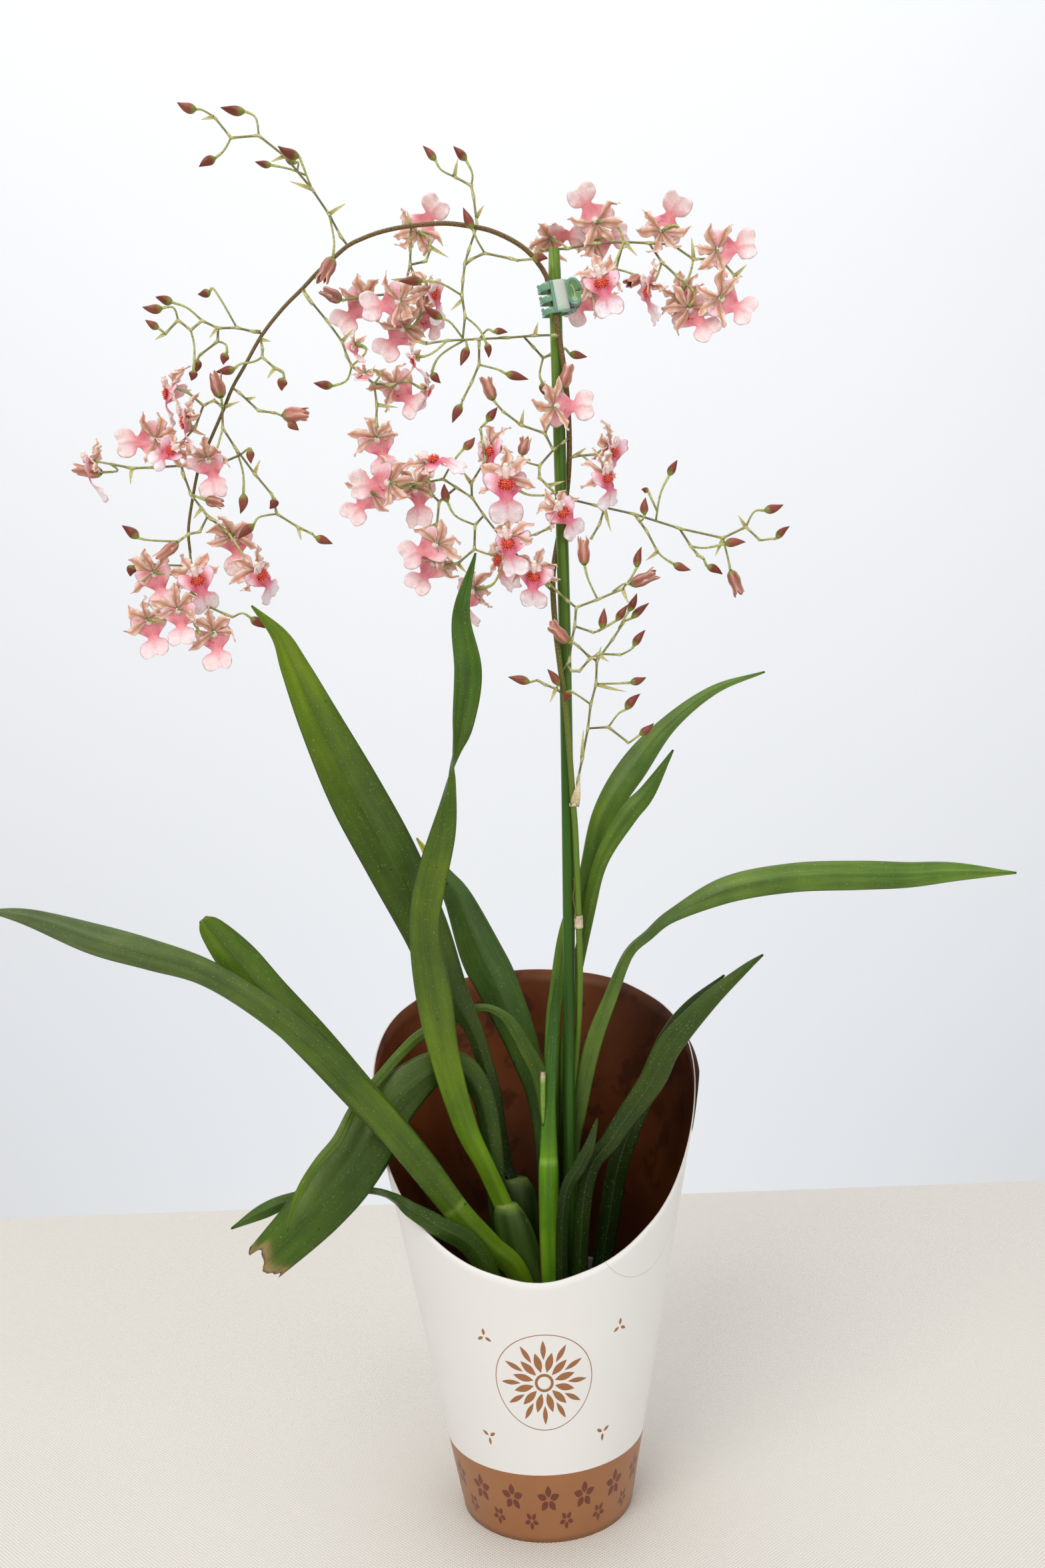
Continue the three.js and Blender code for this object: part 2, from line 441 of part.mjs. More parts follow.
      [[22.6, 428], [18.7, 431.3, -7.5], [13.2, 433.6], [9.4, 436, -9]],
    ],
    buds: [
      [4.2, [18.7, 431.3], [20.1, 433, -9], [14.6, 441.4, -11]],
      [4.6, [9.4, 436], [5.5, 435], [-5.4, 438.1, -10]],
    ],
  },
}

const LEAVES = {
  leaf_left_long: [
    [0, 76, 9, -23, 0], [-11, 121, 12, -27, 0], [-26, 138.5, 13, -32, 0], [-42, 157.6, 13.4, -38, 0],
    [-62.7, 188, 15, -46, 0], [-86.6, 219, 14.5, -53, 0], [-113, 248.6, 13, -59, 0],
    [-140, 272.8, 12.5, -64, 0], [-167.6, 291.3, 12.5, -68, 0], [-195.5, 301.7, 14.5, -71, 0],
    [-224, 311, 14.5, -73, 0], [-257, 323.5, 8, -75, 0], [-279, 328, 1, -76, 0],
  ],
  leaf_left_round: [
    [-12, 76, 8, -14, 0], [-26, 134, 10, -20, 0], [-46, 162, 12, -27, 0], [-66, 193, 15, -35, 0],
    [-90, 223, 17, -43, 0], [-112.8, 251.5, 19, -49, 0], [-135.6, 278, 20, -55, 0],
    [-150.3, 297.4, 19, -58, 0], [-163, 314, 12, -60, 0], [-167.3, 319.4, 4, -61, 0],
  ],
  leaf_left_broad: [
    [-12.5, 170, 8, 2, 0], [-18.5, 187, 10.5, 2, 0], [-21.6, 220, 9.5, 0, 0], [-25.6, 239, 9, -1, 10],
    [-30.8, 256, 10, -2, 20], [-42.7, 279, 19, -4, 10], [-53.7, 311.7, 24.5, -7, 0],
    [-68.9, 347, 28.5, -9, 0], [-85.4, 381.4, 28, -10, 0], [-101.5, 418, 21.5, -12, 0],
    [-113, 446.4, 14.5, -13, 0], [-120, 463, 8.5, -14, 0], [-133.4, 478.7, 1, -16, 0],
  ],
  leaf_twisted: [
    [-16.6, 157, 10, -12, 0], [-26.4, 181.4, 10, -17, 0], [-36.3, 204.6, 12.4, -21, 0],
    [-45, 239.4, 15, -25, 0], [-49.8, 274, 18.2, -28, 0], [-53.3, 308, 15, -30, 0],
    [-49.6, 332, 15.5, -31, 0], [-42.4, 360, 13.5, -32, 20], [-37.6, 385, 9, -32, 60],
    [-36.1, 393, 8.5, -32, 90], [-33.8, 402, 9, -32, 120], [-29.9, 415.7, 12, -31, 155],
    [-25.5, 442, 13.5, -29, 180], [-27.8, 471, 8.5, -27, 180], [-19.4, 501, 1, -25, 180],
  ],
  leaf_back_broad: [
    [6, 90, 8, 16, 0], [5, 160, 8, 17, 0], [2.6, 211.5, 10, 19, 0], [-4, 243.6, 17, 22, 0],
    [-16.5, 278, 22.6, 25, 0], [-24.5, 296, 23, 27, 0], [-34.8, 324, 15.5, 29, 0],
    [-42, 336.5, 10.5, 30, 0], [-55.3, 357.4, 1, 31, 0],
  ],
  leaf_thin_arching: [
    [8, 90, 6, 2, 0], [8.5, 170, 7, 2, 0], [6.5, 212, 9, 2, 0], [3.2, 231, 9, 2, 0], [-3.5, 245.4, 8, 2, 0],
    [-8.5, 255, 7, 2, 0], [-14.5, 263, 5, 3, 0], [-24.6, 267.5, 4, 5, 0], [-38, 263.6, 5.5, 5, 0],
    [-56.3, 254.7, 6, -1, 0], [-67.4, 245.6, 5.5, -13, 0], [-82.4, 229.6, 5, -26, 0],
    [-94.5, 216, 4.5, -34, 0], [-103.3, 199.8, 5.5, -41, 0], [-113.8, 188.1, 5, -46, 0],
    [-123.1, 174.9, 4.5, -49, 0], [-128.7, 163.6, 2.5, -50, 0], [-132.5, 150.8, 1, -50, 0],
  ],
  leaf_torn: [
    [-16, 90, 8, -4, 0], [-21, 160, 10, -6, 0], [-26, 212, 13, -9, 30], [-36.5, 233, 17, -12, 30],
    [-52, 234.5, 19, -16, 20], [-72.5, 219, 26, -23, 10], [-85, 202.5, 30, -29, 0],
    [-100.5, 180.5, 30.5, -35, 0], [-113, 166, 29, -39, 0], [-124, 154.5, 26.5, -42, 0],
    [-136, 143, 23.5, -43, 0], [-149.5, 130.5, 20, -44, 0],
  ],
  leaf_over_front: [
    [-15, 76, 8, -34, 0], [-31.8, 133, 12, -44, 0], [-53.4, 151, 10, -53, 0], [-67.9, 161, 7.5, -53, 0],
    [-76, 166.5, 6, -44, 40], [-85.5, 170.2, 6, -28, 60], [-104, 171.5, 6, -24, 50],
    [-128, 168, 7, -24, 20], [-145, 162, 7.5, -25, 0], [-162, 153.3, 1, -26, 0],
  ],
  leaf_right_tall: [
    [8, 90, 8, 10, 0], [8.5, 200, 8, 10, 0], [11, 254, 8, 10, 0], [14, 275, 8, 11, 0], [20, 306, 8, 12, 0],
    [31.8, 332.5, 11, 13, 0], [41.3, 365.5, 13, 15, 0], [57, 390, 15, 17, 0], [76, 411.7, 9, 19, 0],
    [99.4, 428, 5, 21, 0], [125, 436, 1, 22, 0],
  ],
  leaf_right_inner: [
    [12, 90, 6, 14, 0], [13, 200, 6, 14, 0], [20, 262, 6, 11, 0], [31.6, 315, 6.5, 6, 0],
    [39, 342, 7.5, 5, 0], [53, 365, 10.5, 5, 0], [63.5, 376.5, 8.5, 5, 0], [77.5, 398, 1, 5, 0],
  ],
  leaf_right_long: [
    [14, 90, 7, 5.5, 0], [18, 180, 8, 5.5, 0], [24, 212.5, 8, 5, 0], [31.5, 245, 9, 2, 0],
    [41, 270, 7.5, -2, 20], [50.8, 293, 7, -6, 45], [61.6, 303, 7, -9, 45], [74.7, 313, 8, -12, 30],
    [103, 324.6, 13.5, -14, 0], [137, 329.7, 14.8, -17, 0], [171, 329.7, 14.8, -20, 0],
    [196, 329, 13, -22, 0], [221, 329.7, 9.5, -24, 0], [252.6, 328, 1, -27, 0],
  ],
  leaf_right_low: [
    [18, 76, 8, -14, 0], [25.3, 168, 8.5, -18, 0], [40.5, 195, 10, -22, 0], [61.2, 224, 13, -27, 0],
    [71.6, 243.5, 12.5, -30, 0], [92, 266, 9, -34, 0], [111, 282.4, 4.5, -37, 0], [121.3, 290, 1, -39, 0],
  ],
  leaf_right_back: [
    [26, 90, 9, 2, 0], [37, 150, 11, 0, 0], [43, 180, 11, -3, 0], [52, 205, 11, -7, 0],
    [62, 228, 11, -11, 0], [72, 248, 11, -15, 0], [84, 264, 8, -19, 0], [101, 280, 1, -24, 0],
  ],
  leaf_small: [
    [10, 76, 6, -21, 0], [13.3, 157, 6.5, -23, 0], [23, 181, 7, -25, 0], [27.6, 189.5, 6, -26, 0],
    [32.8, 206, 1, -27, 0],
  ],
}

const wasm = await Module()
wasm.setup()
const { Manifold, Mesh } = wasm

// ---- solids from vertices and faces -------------------------------------------------------

function solidFrom(positions, corners) {
  const [vertProperties, triVerts] = [new Float32Array(positions), new Uint32Array(corners)]
  return new Manifold(new Mesh({ numProp: 3, vertProperties, triVerts }))
}

// The faces may all be listed inside out; the solid's volume tells, and they are turned over.
function solid(vertices, faces) {
  const positions = vertices.flatMap((v) => [v.x, v.y, v.z])
  const shape = solidFrom(positions, faces.flat())
  return shape.volume() > 0 ? shape : solidFrom(positions, faces.flatMap(([a, b, c]) => [a, c, b]))
}

function solidOf(geometry) {
  const bare = geometry.index ? geometry.clone() : geometry
  bare.deleteAttribute('normal')
  bare.deleteAttribute('uv')
  const merged = mergeVertices(bare, 1e-4)
  return solidFrom(merged.attributes.position.array, merged.index.array)
}

function union(solids) {
  return Manifold.union(solids)
}

function meshOf(name, shape, colour, roughness = 0.6, metalness = 0) {
  const { vertProperties, triVerts } = shape.getMesh()
  const geometry = new THREE.BufferGeometry()
  geometry.setAttribute('position', new THREE.BufferAttribute(vertProperties, 3))
  geometry.setIndex(new THREE.BufferAttribute(triVerts, 1))
  const material = new THREE.MeshStandardMaterial({ color: colour, roughness, metalness })
  const mesh = new THREE.Mesh(geometry, material)
  mesh.name = name
  return mesh
}

// Rings of equal length joined into one closed body; the far end is capped, or drawn to a tip.
function loft(rings, tip = null) {
  const sides = rings[0].length
  const faces = []
  const last = (rings.length - 1) * sides
  for (let j = 0; j < sides; j += 1) {
    const k = (j + 1) % sides
    for (let i = 0; i < last; i += sides) {
      faces.push([i + j, i + k, i + k + sides], [i + j, i + k + sides, i + j + sides])
    }
    if (tip) {
      faces.push([last + j, last + k, last + sides])
    }
  }
  for (let j = 1; j < sides - 1; j += 1) {
    faces.push([0, j + 1, j])
    if (!tip) {
      faces.push([last, last + j, last + j + 1])
    }
  }
  return solid(tip ? [...rings.flat(), tip] : rings.flat(), faces)
}

// ---- the front chart ------------------------------------------------------------------------

function place(x, z, y) {
  const scale = 1 + y / EYE_DISTANCE
  return new THREE.Vector3(x * scale, y, EYE_HEIGHT + (z - EYE_HEIGHT) * scale)
}

// Chart points with every depth filled in, starting from the depth of what they grow on.
function withDepths(points, startDepth) {
  const filled = points.map((p) => [...p])
  if (filled[0].length < 3) {
    filled[0][2] = startDepth
  }
  const run = [0]
  for (let i = 1; i < filled.length; i += 1) {
    run[i] = run[i - 1] + Math.hypot(filled[i][0] - filled[i - 1][0], filled[i][1] - filled[i - 1][1])
  }
  let from = 0
  for (let i = 1; i < filled.length; i += 1) {
    if (filled[i].length === 3) {
      for (let k = from + 1; k < i; k += 1) {
        const share = (run[k] - run[from]) / (run[i] - run[from])
        filled[k][2] = THREE.MathUtils.lerp(filled[from][2], filled[i][2], share)
      }
      from = i
    }
  }
  return filled
}

// Depth of the nearest place on the given chart lines.
function depthAt([x, z], lines) {
  let nearest = Infinity
  let depth = 0
  for (const line of lines) {
    for (let i = 0; i < line.length - 1; i += 1) {
      const [ax, az, ay] = line[i]
      const [bx, bz, by] = line[i + 1]
      const span = (bx - ax) ** 2 + (bz - az) ** 2
      const along = ((x - ax) * (bx - ax) + (z - az) * (bz - az)) / (span || 1)
      const t = THREE.MathUtils.clamp(along, 0, 1)
      const distance = Math.hypot(x - ax - t * (bx - ax), z - az - t * (bz - az))
      if (distance < nearest) {
        nearest = distance
        depth = THREE.MathUtils.lerp(ay, by, t)
      }
    }
  }
  return depth
}

// ---- tubes, buds, blooms and leaves -------------------------------------------------------

// A closed tube along a path, with one radius for each point; a last radius of 0 is a sharp tip.
function tube(path, radii, sides) {
  const rings = []
  const across = new THREE.Vector3(0, 1, 0)
  const pointed = radii.at(-1) === 0
  path.slice(0, pointed ? -1 : path.length).forEach((centre, i) => {
    const ahead = path[Math.min(i + 1, path.length - 1)]
    const behind = path[Math.max(i - 1, 0)]
    const along = ahead.clone().sub(behind).normalize()
    across.addScaledVector(along, -across.dot(along)).normalize()
    rings.push(ringRound(centre, across, along.clone().cross(across), radii[i], sides))
  })
  return loft(rings, pointed ? path.at(-1) : null)
}

function ringRound(centre, across, up, radius, sides) {
  return Array.from({ length: sides }, (_, j) => {
    const angle = (2 * Math.PI * j) / sides
    return centre.clone().addScaledVector(across, radius * Math.cos(angle))
      .addScaledVector(up, radius * Math.sin(angle))
  })
}

// A pedicel that swells into a bud: the last two points are the bud's base and tip.
function stalkedBud(path, width) {
  const stalk = path.slice(0, -1)
  const [base, tip] = path.slice(-2)
  const swelling = BUD_RINGS.map(([share]) => base.clone().lerp(tip, share))
  const radii = [...stalk.map(() => PEDICEL_RADIUS), ...BUD_RINGS.map(([, swell]) => (width / 2) * swell), 0]
  return tube([...stalk, ...swelling, tip], radii, BUD_SIDES)
}

// Facing normal from its turn to the right of the viewer and its rise, and the lip's direction
// from its chart angle, both at right angles.
function bloomAxes(turn, rise, lipAngle) {
  const azimuth = THREE.MathUtils.degToRad(turn)
  const elevation = THREE.MathUtils.degToRad(rise)
  const lip = THREE.MathUtils.degToRad(lipAngle)
  const facing = new THREE.Vector3(Math.sin(azimuth), -Math.cos(azimuth), 0)
  facing.multiplyScalar(Math.cos(elevation)).setZ(Math.sin(elevation))
  const along = new THREE.Vector3(Math.cos(lip), 0, Math.sin(lip))
  along.addScaledVector(facing, -along.dot(facing)).normalize()
  return { facing, along, side: along.clone().cross(facing) }
}

// An open bloom in one body: five tepals in a star, and the lip with its side lobes, waist and
// two-lobed blade. Each is thickest along its middle and thin at its edges. The star rises to
// the column in front and draws back to the pedicel behind, and the crest stands on the lip.
function bloom(base, { facing, along, side }, size) {
  const vertices = []
  const add = (s, l, n) => vertices.push(base.clone().addScaledVector(side, s * size)
    .addScaledVector(along, l * size).addScaledVector(facing, n * size)) - 1
  const thick = (s, l, n) => [add(s, l, n + JOIN_THICKNESS / 2), add(s, l, n - JOIN_THICKNESS / 2)]
  const sharp = (s, l, n) => Array(2).fill(add(s, l, n))
  const [right, left] = [thick(LIP_ROOT, LIP_ROOT, 0), thick(-LIP_ROOT, LIP_ROOT, 0)]
  const [waistRight, waistLeft] = [1, -1].map((s) => thick(s * LIP_WAIST[0], LIP_WAIST[1], LIP_WAIST[2]))
  const star = [right]
  TEPAL_ANGLES.forEach((degrees, i) => {
    const angle = THREE.MathUtils.degToRad(degrees)
    const [outS, outL] = [Math.sin(angle), Math.cos(angle)]
    for (const [run, half, n] of TEPAL_EDGE) {
      star.push(sharp(outS * run - outL * half, outL * run + outS * half, n))
    }
    if (i < TEPAL_ANGLES.length - 1) {
      const between = THREE.MathUtils.degToRad((degrees + TEPAL_ANGLES[i + 1]) / 2)
      star.push(sharp(VALLEY * Math.sin(between), VALLEY * Math.cos(between), 0))
    }
  })
  star.push(left)
  const sideLobe = (s) => sharp(s * LIP_SIDE_LOBE[0], LIP_SIDE_LOBE[1], LIP_SIDE_LOBE[2])
  const throat = [left, sideLobe(-1), waistLeft, waistRight, sideLobe(1), right]
  const blade = [waistLeft, ...LIP_BLADE.map(([s, l, n]) => sharp(-s, l, n)),
    ...LIP_BLADE.slice(0, -1).reverse().map(([s, l, n]) => sharp(s, l, n)), waistRight]
  const faces = []
  const face = (a, b, c) => a !== b && b !== c && c !== a && faces.push([a, b, c])
  // A raised middle in front and behind, with the outline's two faces joined along its edge.
  const body = (outline, [l, front, back], joins) => {
    const [above, below] = [add(0, l, front), add(0, l, back)]
    outline.forEach(([a, b], i) => {
      const [c, d] = outline[(i + 1) % outline.length]
      face(a, c, above)
      face(d, b, below)
      if (!joins.includes(i)) {
        face(b, d, c)
        face(b, c, a)
      }
    })
  }
  body(star, COLUMN, [star.length - 1])
  body(throat, CREST, [2, 5])
  body(blade, LIP_SWELL, [blade.length - 1])
  return solid(vertices, faces)
}

// Six-point rings of a thin blade: left, middle and right above, then right, middle and left below.
// Both faces are split along the same diagonals, so a waved blade never crosses itself.
function sheetLoft(rings) {
  const faces = []
  const quad = (a, b, c, d) => faces.push([a, b, c], [a, c, d])
  for (let i = 0; i < rings.length - 1; i += 1) {
    const r = i * 6
    const q = r + 6
    quad(r, r + 1, q + 1, q)
    quad(r + 1, r + 2, q + 2, q + 1)
    quad(r + 2, r + 3, q + 3, q + 2)
    faces.push([r + 3, r + 4, q + 3], [r + 4, q + 4, q + 3])
    faces.push([r + 4, r + 5, q + 4], [r + 5, q + 5, q + 4])
    quad(r + 5, r, q, q + 5)
  }
  const last = (rings.length - 1) * 6
  for (const [a, b, c] of [[0, 5, 4], [0, 4, 1], [1, 4, 3], [1, 3, 2]]) {
    faces.push([a, b, c], [last + a, last + c, last + b])
  }
  return solid(rings.flat(), faces)
}

function leaf(stations) {
  const centres = stations.map(([x, z, , y]) => place(x, z, y))
  const rings = stations.map(([x, z, width, y, turn], i) => {
    const ahead = centres[Math.min(i + 1, centres.length - 1)]
    const behind = centres[Math.max(i - 1, 0)]
    const along = ahead.clone().sub(behind).normalize()
    const sight = place(x, z, y).sub(new THREE.Vector3(0, -EYE_DISTANCE, EYE_HEIGHT)).normalize()
    const flat = along.clone().cross(sight).normalize()
    const deep = flat.clone().cross(along).normalize()
    const angle = THREE.MathUtils.degToRad(turn)
    const across = flat.clone().multiplyScalar(Math.cos(angle)).addScaledVector(deep, Math.sin(angle))
    const up = across.clone().cross(along).normalize()
    const half = width / 2
    const fold = width * LEAF_FOLD
    const point = (s, n) => centres[i].clone().addScaledVector(across, s * half).addScaledVector(up, n)
    const under = fold - LEAF_THICKNESS
    return [
      point(-1, fold), point(0, 0), point(1, fold),
      point(1, under), point(0, -LEAF_THICKNESS), point(-1, under),
    ]
  })
  return sheetLoft(rings)
}

// ---- the plant ----------------------------------------------------------------------------

function flowerStem(clearance = 0) {
  const arch = STEM.findIndex(([x, z]) => x < 0 && z > EYE_HEIGHT)
  const end = STEM.length - 1
  const radii = STEM.map((_, step) => {
    const low = THREE.MathUtils.lerp(STEM_FOOT_RADIUS, STEM_ARCH_RADIUS, Math.min(step / arch, 1))
    const thinning = (STEM_ARCH_RADIUS - STEM_TIP_RADIUS) * Math.max(step - arch, 0) / (end - arch)
    return low - thinning + clearance
  })
  return tube(STEM.map((p) => place(...p)), radii, STEM_SIDES)
}

// One side branch of the flower stem with its twigs, buds and open blooms, in one body.
// Each piece starts at the depth of what it grows on; the stem's own thickness is cut away.
function spray({ twigs, buds = [], blooms = [] }, keepClear) {
  const lines = []
  const solids = []
  for (const points of twigs) {
    const line = withDepths(points, depthAt(points[0], lines.length ? lines : [STEM]))
    solids.push(tube(line.map((p) => place(...p)), line.map(() => TWIG_RADIUS), TWIG_SIDES))
    lines.push(line)
  }
  for (const [width, ...points] of buds) {
    const line = withDepths(points, depthAt(points[0], lines))
    solids.push(stalkedBud(line.map((p) => place(...p)), width))
  }
  for (const [turn, rise, lipAngle, size, ...points] of blooms) {
    const line = withDepths(points, depthAt(points[0], lines))
    const [base, axes] = [place(...line.at(-1)), bloomAxes(turn, rise, lipAngle)]
    const seat = base.clone().addScaledVector(axes.along, -PEDICEL_SEAT[0] * size)
      .addScaledVector(axes.facing, -PEDICEL_SEAT[1] * size)
    const path = [...line.slice(0, -1).map((p) => place(...p)), seat]
    solids.push(tube(path, path.map(() => PEDICEL_RADIUS), TWIG_SIDES), bloom(base, axes, size))
  }
  return union(solids).subtract(keepClear)
}

// A swollen, ribbed stem base: height, middle and half sizes of its oval section.
function pseudobulb({ x, y, topX, foot, top, width, depth }, clearance = 0) {
  const rings = BULB_PROFILE.map(([share, swell]) => {
    const z = THREE.MathUtils.lerp(foot, top, share)
    const middle = THREE.MathUtils.lerp(x, topX, share)
    const ring = []
    for (let j = 0; j < BULB_SIDES; j += 1) {
      const angle = (2 * Math.PI * j) / BULB_SIDES
      const rib = 1 + BULB_RIB * Math.cos(BULB_RIBS * angle)
      ring.push(new THREE.Vector3(
        middle + (width / 2 * swell * rib + clearance) * Math.cos(angle),
        y + (depth / 2 * swell * rib + clearance) * Math.sin(angle),
        z + (share > 0.5 ? clearance : -clearance)))
    }
    return ring
  })
  return loft(rings)
}

// The newest growth: flat sheaths folded round each other into an upright blade.
function shoot() {
  const rings = SHOOT.map(([x, z, width, y]) => {
    const centre = place(x, z, y)
    const thick = width * SHOOT_THICKNESS
    return [0, 1, 2, 3, 4, 5, 6, 7].map((j) => {
      const angle = (Math.PI * j) / 4
      const offset = [(width / 2) * Math.cos(angle), (thick / 2) * Math.sin(angle), 0]
      return centre.clone().add(new THREE.Vector3(...offset))
    })
  })
  return loft(rings)
}

// ---- pot, soil, sleeve and stake ------------------------------------------------------------

function turned(profile, sides, [x, y] = [0, 0]) {
  const outline = profile.map(([radius, z]) => new THREE.Vector2(radius, z))
  return solidOf(new THREE.LatheGeometry(outline, sides).rotateX(Math.PI / 2).translate(x, y, 0))
}

// Height of the sleeve's slanting top edge at an angle round the axis.
function rimHeight(angle) {
  const fromFront = Math.abs(THREE.MathUtils.radToDeg(Math.atan2(Math.cos(angle), -Math.sin(angle))))
  const step = Math.max(RIM_ANGLES.findIndex((a) => a >= fromFront), 1)
  const share = (fromFront - RIM_ANGLES[step - 1]) / (RIM_ANGLES[step] - RIM_ANGLES[step - 1])
  return THREE.MathUtils.lerp(RIM_HEIGHTS[step - 1], RIM_HEIGHTS[step], share)
}

// Rows up the wall: 0 and below are plain heights, a share above 0 runs from the band to the rim.
function sleeve() {
  const rings = []
  const shell = (inset, rows) => {
    for (const row of rows) {
      const ring = []
      for (let j = 0; j < SLEEVE_SIDES; j += 1) {
        const angle = (2 * Math.PI * j) / SLEEVE_SIDES
        const z = row <= 0 ? -row : THREE.MathUtils.lerp(SLEEVE_BAND_TOP, rimHeight(angle), row)
        const radius = SLEEVE_FOOT_RADIUS + SLEEVE_FLARE * z - inset
        ring.push(new THREE.Vector3(radius * Math.cos(angle), radius * Math.sin(angle), z))
      }
      rings.push(ring)
    }
  }
  shell(0, [0, -SLEEVE_BAND_TOP, 0.5, 1])
  shell(SLEEVE_WALL, [1, 0.5, -SLEEVE_BAND_TOP, 0])
  return ringWall(rings)
}

// Rings joined one to the next and the last back to the first: a wall closed on itself.
function ringWall(rings) {
  const sides = rings[0].length
  const faces = []
  rings.forEach((ring, i) => {
    const next = (i + 1) % rings.length
    for (let j = 0; j < sides; j += 1) {
      const k = (j + 1) % sides
      const [low, high] = [i * sides, next * sides]
      faces.push([low + j, low + k, high + k], [low + j, high + k, high + j])
    }
  })
  return solid(rings.flat(), faces)
}

function potRadius(z) {
  const rim = SLEEVE_FOOT_RADIUS + SLEEVE_FLARE * POT_RIM_HEIGHT - SLEEVE_WALL - 2 * GAP - POT_RIM_LIP
  return THREE.MathUtils.lerp(POT_FOOT_RADIUS, rim, z / POT_RIM_HEIGHT)
}

function growPot() {
  const bandFoot = POT_RIM_HEIGHT - POT_RIM_BAND
  const rim = potRadius(POT_RIM_HEIGHT)
  return turned([
    [0, 0], [POT_FOOT_RADIUS, 0],
    [potRadius(bandFoot), bandFoot], [potRadius(bandFoot) + POT_RIM_LIP, bandFoot],
    [rim + POT_RIM_LIP, POT_RIM_HEIGHT], [rim - POT_WALL, POT_RIM_HEIGHT],
    [POT_FOOT_RADIUS - POT_WALL, POT_WALL], [0, POT_WALL],
  ], POT_SIDES)
}

function soil(clearance = 0) {
  const foot = SOIL_BOTTOM - clearance
  const edge = SOIL_HEIGHT - SOIL_DOME
  const inside = (z) => potRadius(z) - POT_WALL - 2 * GAP + clearance
  return turned([
    [0, foot], [inside(SOIL_BOTTOM), foot], [inside(edge), edge + clearance], [0, SOIL_HEIGHT + clearance],
  ], POT_SIDES)
}

function stake(clearance = 0) {
  return tube(STAKE.map((p) => place(...p)), STAKE.map(() => STAKE_RADIUS + clearance), STAKE_SIDES)
}

// ---- stake clip -------------------------------------------------------------------------------

function plate(path) {
  const outline = new THREE.Shape()
  const sideOf = (i, sign) => {
    const ahead = path[Math.min(i + 1, path.length - 1)]
    const behind = path[Math.max(i - 1, 0)]
    const run = Math.hypot(ahead[0] - behind[0], ahead[1] - behind[1])
    const share = (sign * CLIP_PLATE) / 2 / run
    return [path[i][0] - share * (ahead[1] - behind[1]), path[i][1] + share * (ahead[0] - behind[0])]
  }
  const edge = [...path.keys()]
  const points = [...edge.map((i) => sideOf(i, 1)), ...edge.reverse().map((i) => sideOf(i, -1))]
  outline.setFromPoints(points.map(([x, y]) => new THREE.Vector2(x, y)))
  const upright = { depth: CLIP_TOP - CLIP_BOTTOM, bevelEnabled: false, steps: 1 }
  return solidOf(new THREE.ExtrudeGeometry(outline, upright).translate(0, 0, CLIP_BOTTOM))
}

function upright(radius, bottom, top, sides = 8) {
  const geometry = new THREE.CylinderGeometry(radius, radius, top - bottom, sides)
  return solidOf(geometry.rotateX(Math.PI / 2).translate(...CLIP_PIN, (bottom + top) / 2))
}

function block([x0, x1], [y0, y1], [z0, z1]) {
  const geometry = new THREE.BoxGeometry(x1 - x0, y1 - y0, z1 - z0)
  return solidOf(geometry.translate((x0 + x1) / 2, (y0 + y1) / 2, (z0 + z1) / 2))
}

// One jaw: a bent plate with its teeth parted by slots, and its knuckles round the pin.
function jaw(path, knuckles, side) {
  let shape = plate(path)
  for (const [low, high] of JAW_SLOTS) {
    shape = shape.subtract(block([JAW_TIP_X, JAW_SLOT_END], side, [low, high]))
  }
  const bore = upright(PIN_RADIUS + GAP, CLIP_BOTTOM - 1, CLIP_TOP + 1)
  const swept = upright(KNUCKLE_RADIUS + GAP, CLIP_BOTTOM - 1, CLIP_TOP + 1, 12)
  shape = shape.subtract(swept)
  const joined = knuckles.map(([low, high]) => upright(KNUCKLE_RADIUS, low, high, 12)
    .add(plate(path).intersect(upright(KNUCKLE_RADIUS + 2 * GAP, low, high, 12))))
  return union([shape, ...joined]).subtract(bore)
}

// The coil of the spring as a plain ring on the pin, with the leg that presses the rear pad.
function clipSpring() {
  const bore = PIN_RADIUS + GAP
  const section = [
    [bore, SPRING_BOTTOM], [SPRING_RADIUS, SPRING_BOTTOM], [SPRING_RADIUS, SPRING_TOP], [bore, SPRING_TOP],
    [bore, SPRING_BOTTOM],
  ]
  const coil = turned(section, 12, CLIP_PIN)
  const leg = tube(SPRING_LEG.map((p) => new THREE.Vector3(...p)), [SPRING_WIRE, SPRING_WIRE], 4)
  return coil.add(leg)
}

function clipPin() {
  return upright(PIN_RADIUS, CLIP_BOTTOM - 0.4, CLIP_TOP + 0.4)
}

function leaning(solid) {
  const middle = (CLIP_BOTTOM + CLIP_TOP) / 2
  return solid.translate([-CLIP_PIN[0], 0, -middle]).rotate([0, -CLIP_LEAN, 0])
    .translate([CLIP_PIN[0], 0, middle])
}

// ---- assembly ---------------------------------------------------------------------------------

const plant = new THREE.Group()
const roundStem = flowerStem(GAP)
const roundStake = stake(GAP)
const roundSoil = soil(GAP)
const roundBulbs = union(BULBS.map((b) => pseudobulb(b, GAP)))

plant.add(meshOf('sleeve', sleeve(), COLOURS.sleeve, 0.45))
plant.add(meshOf('grow_pot', growPot(), COLOURS.pot, 0.2))
plant.add(meshOf('substrate', soil().subtract(union([roundStem, roundStake])), COLOURS.soil, 0.95))
plant.add(meshOf('stake', stake(), COLOURS.stake, 0.5))
plant.add(meshOf('flower_stem', flowerStem(), COLOURS.stem))

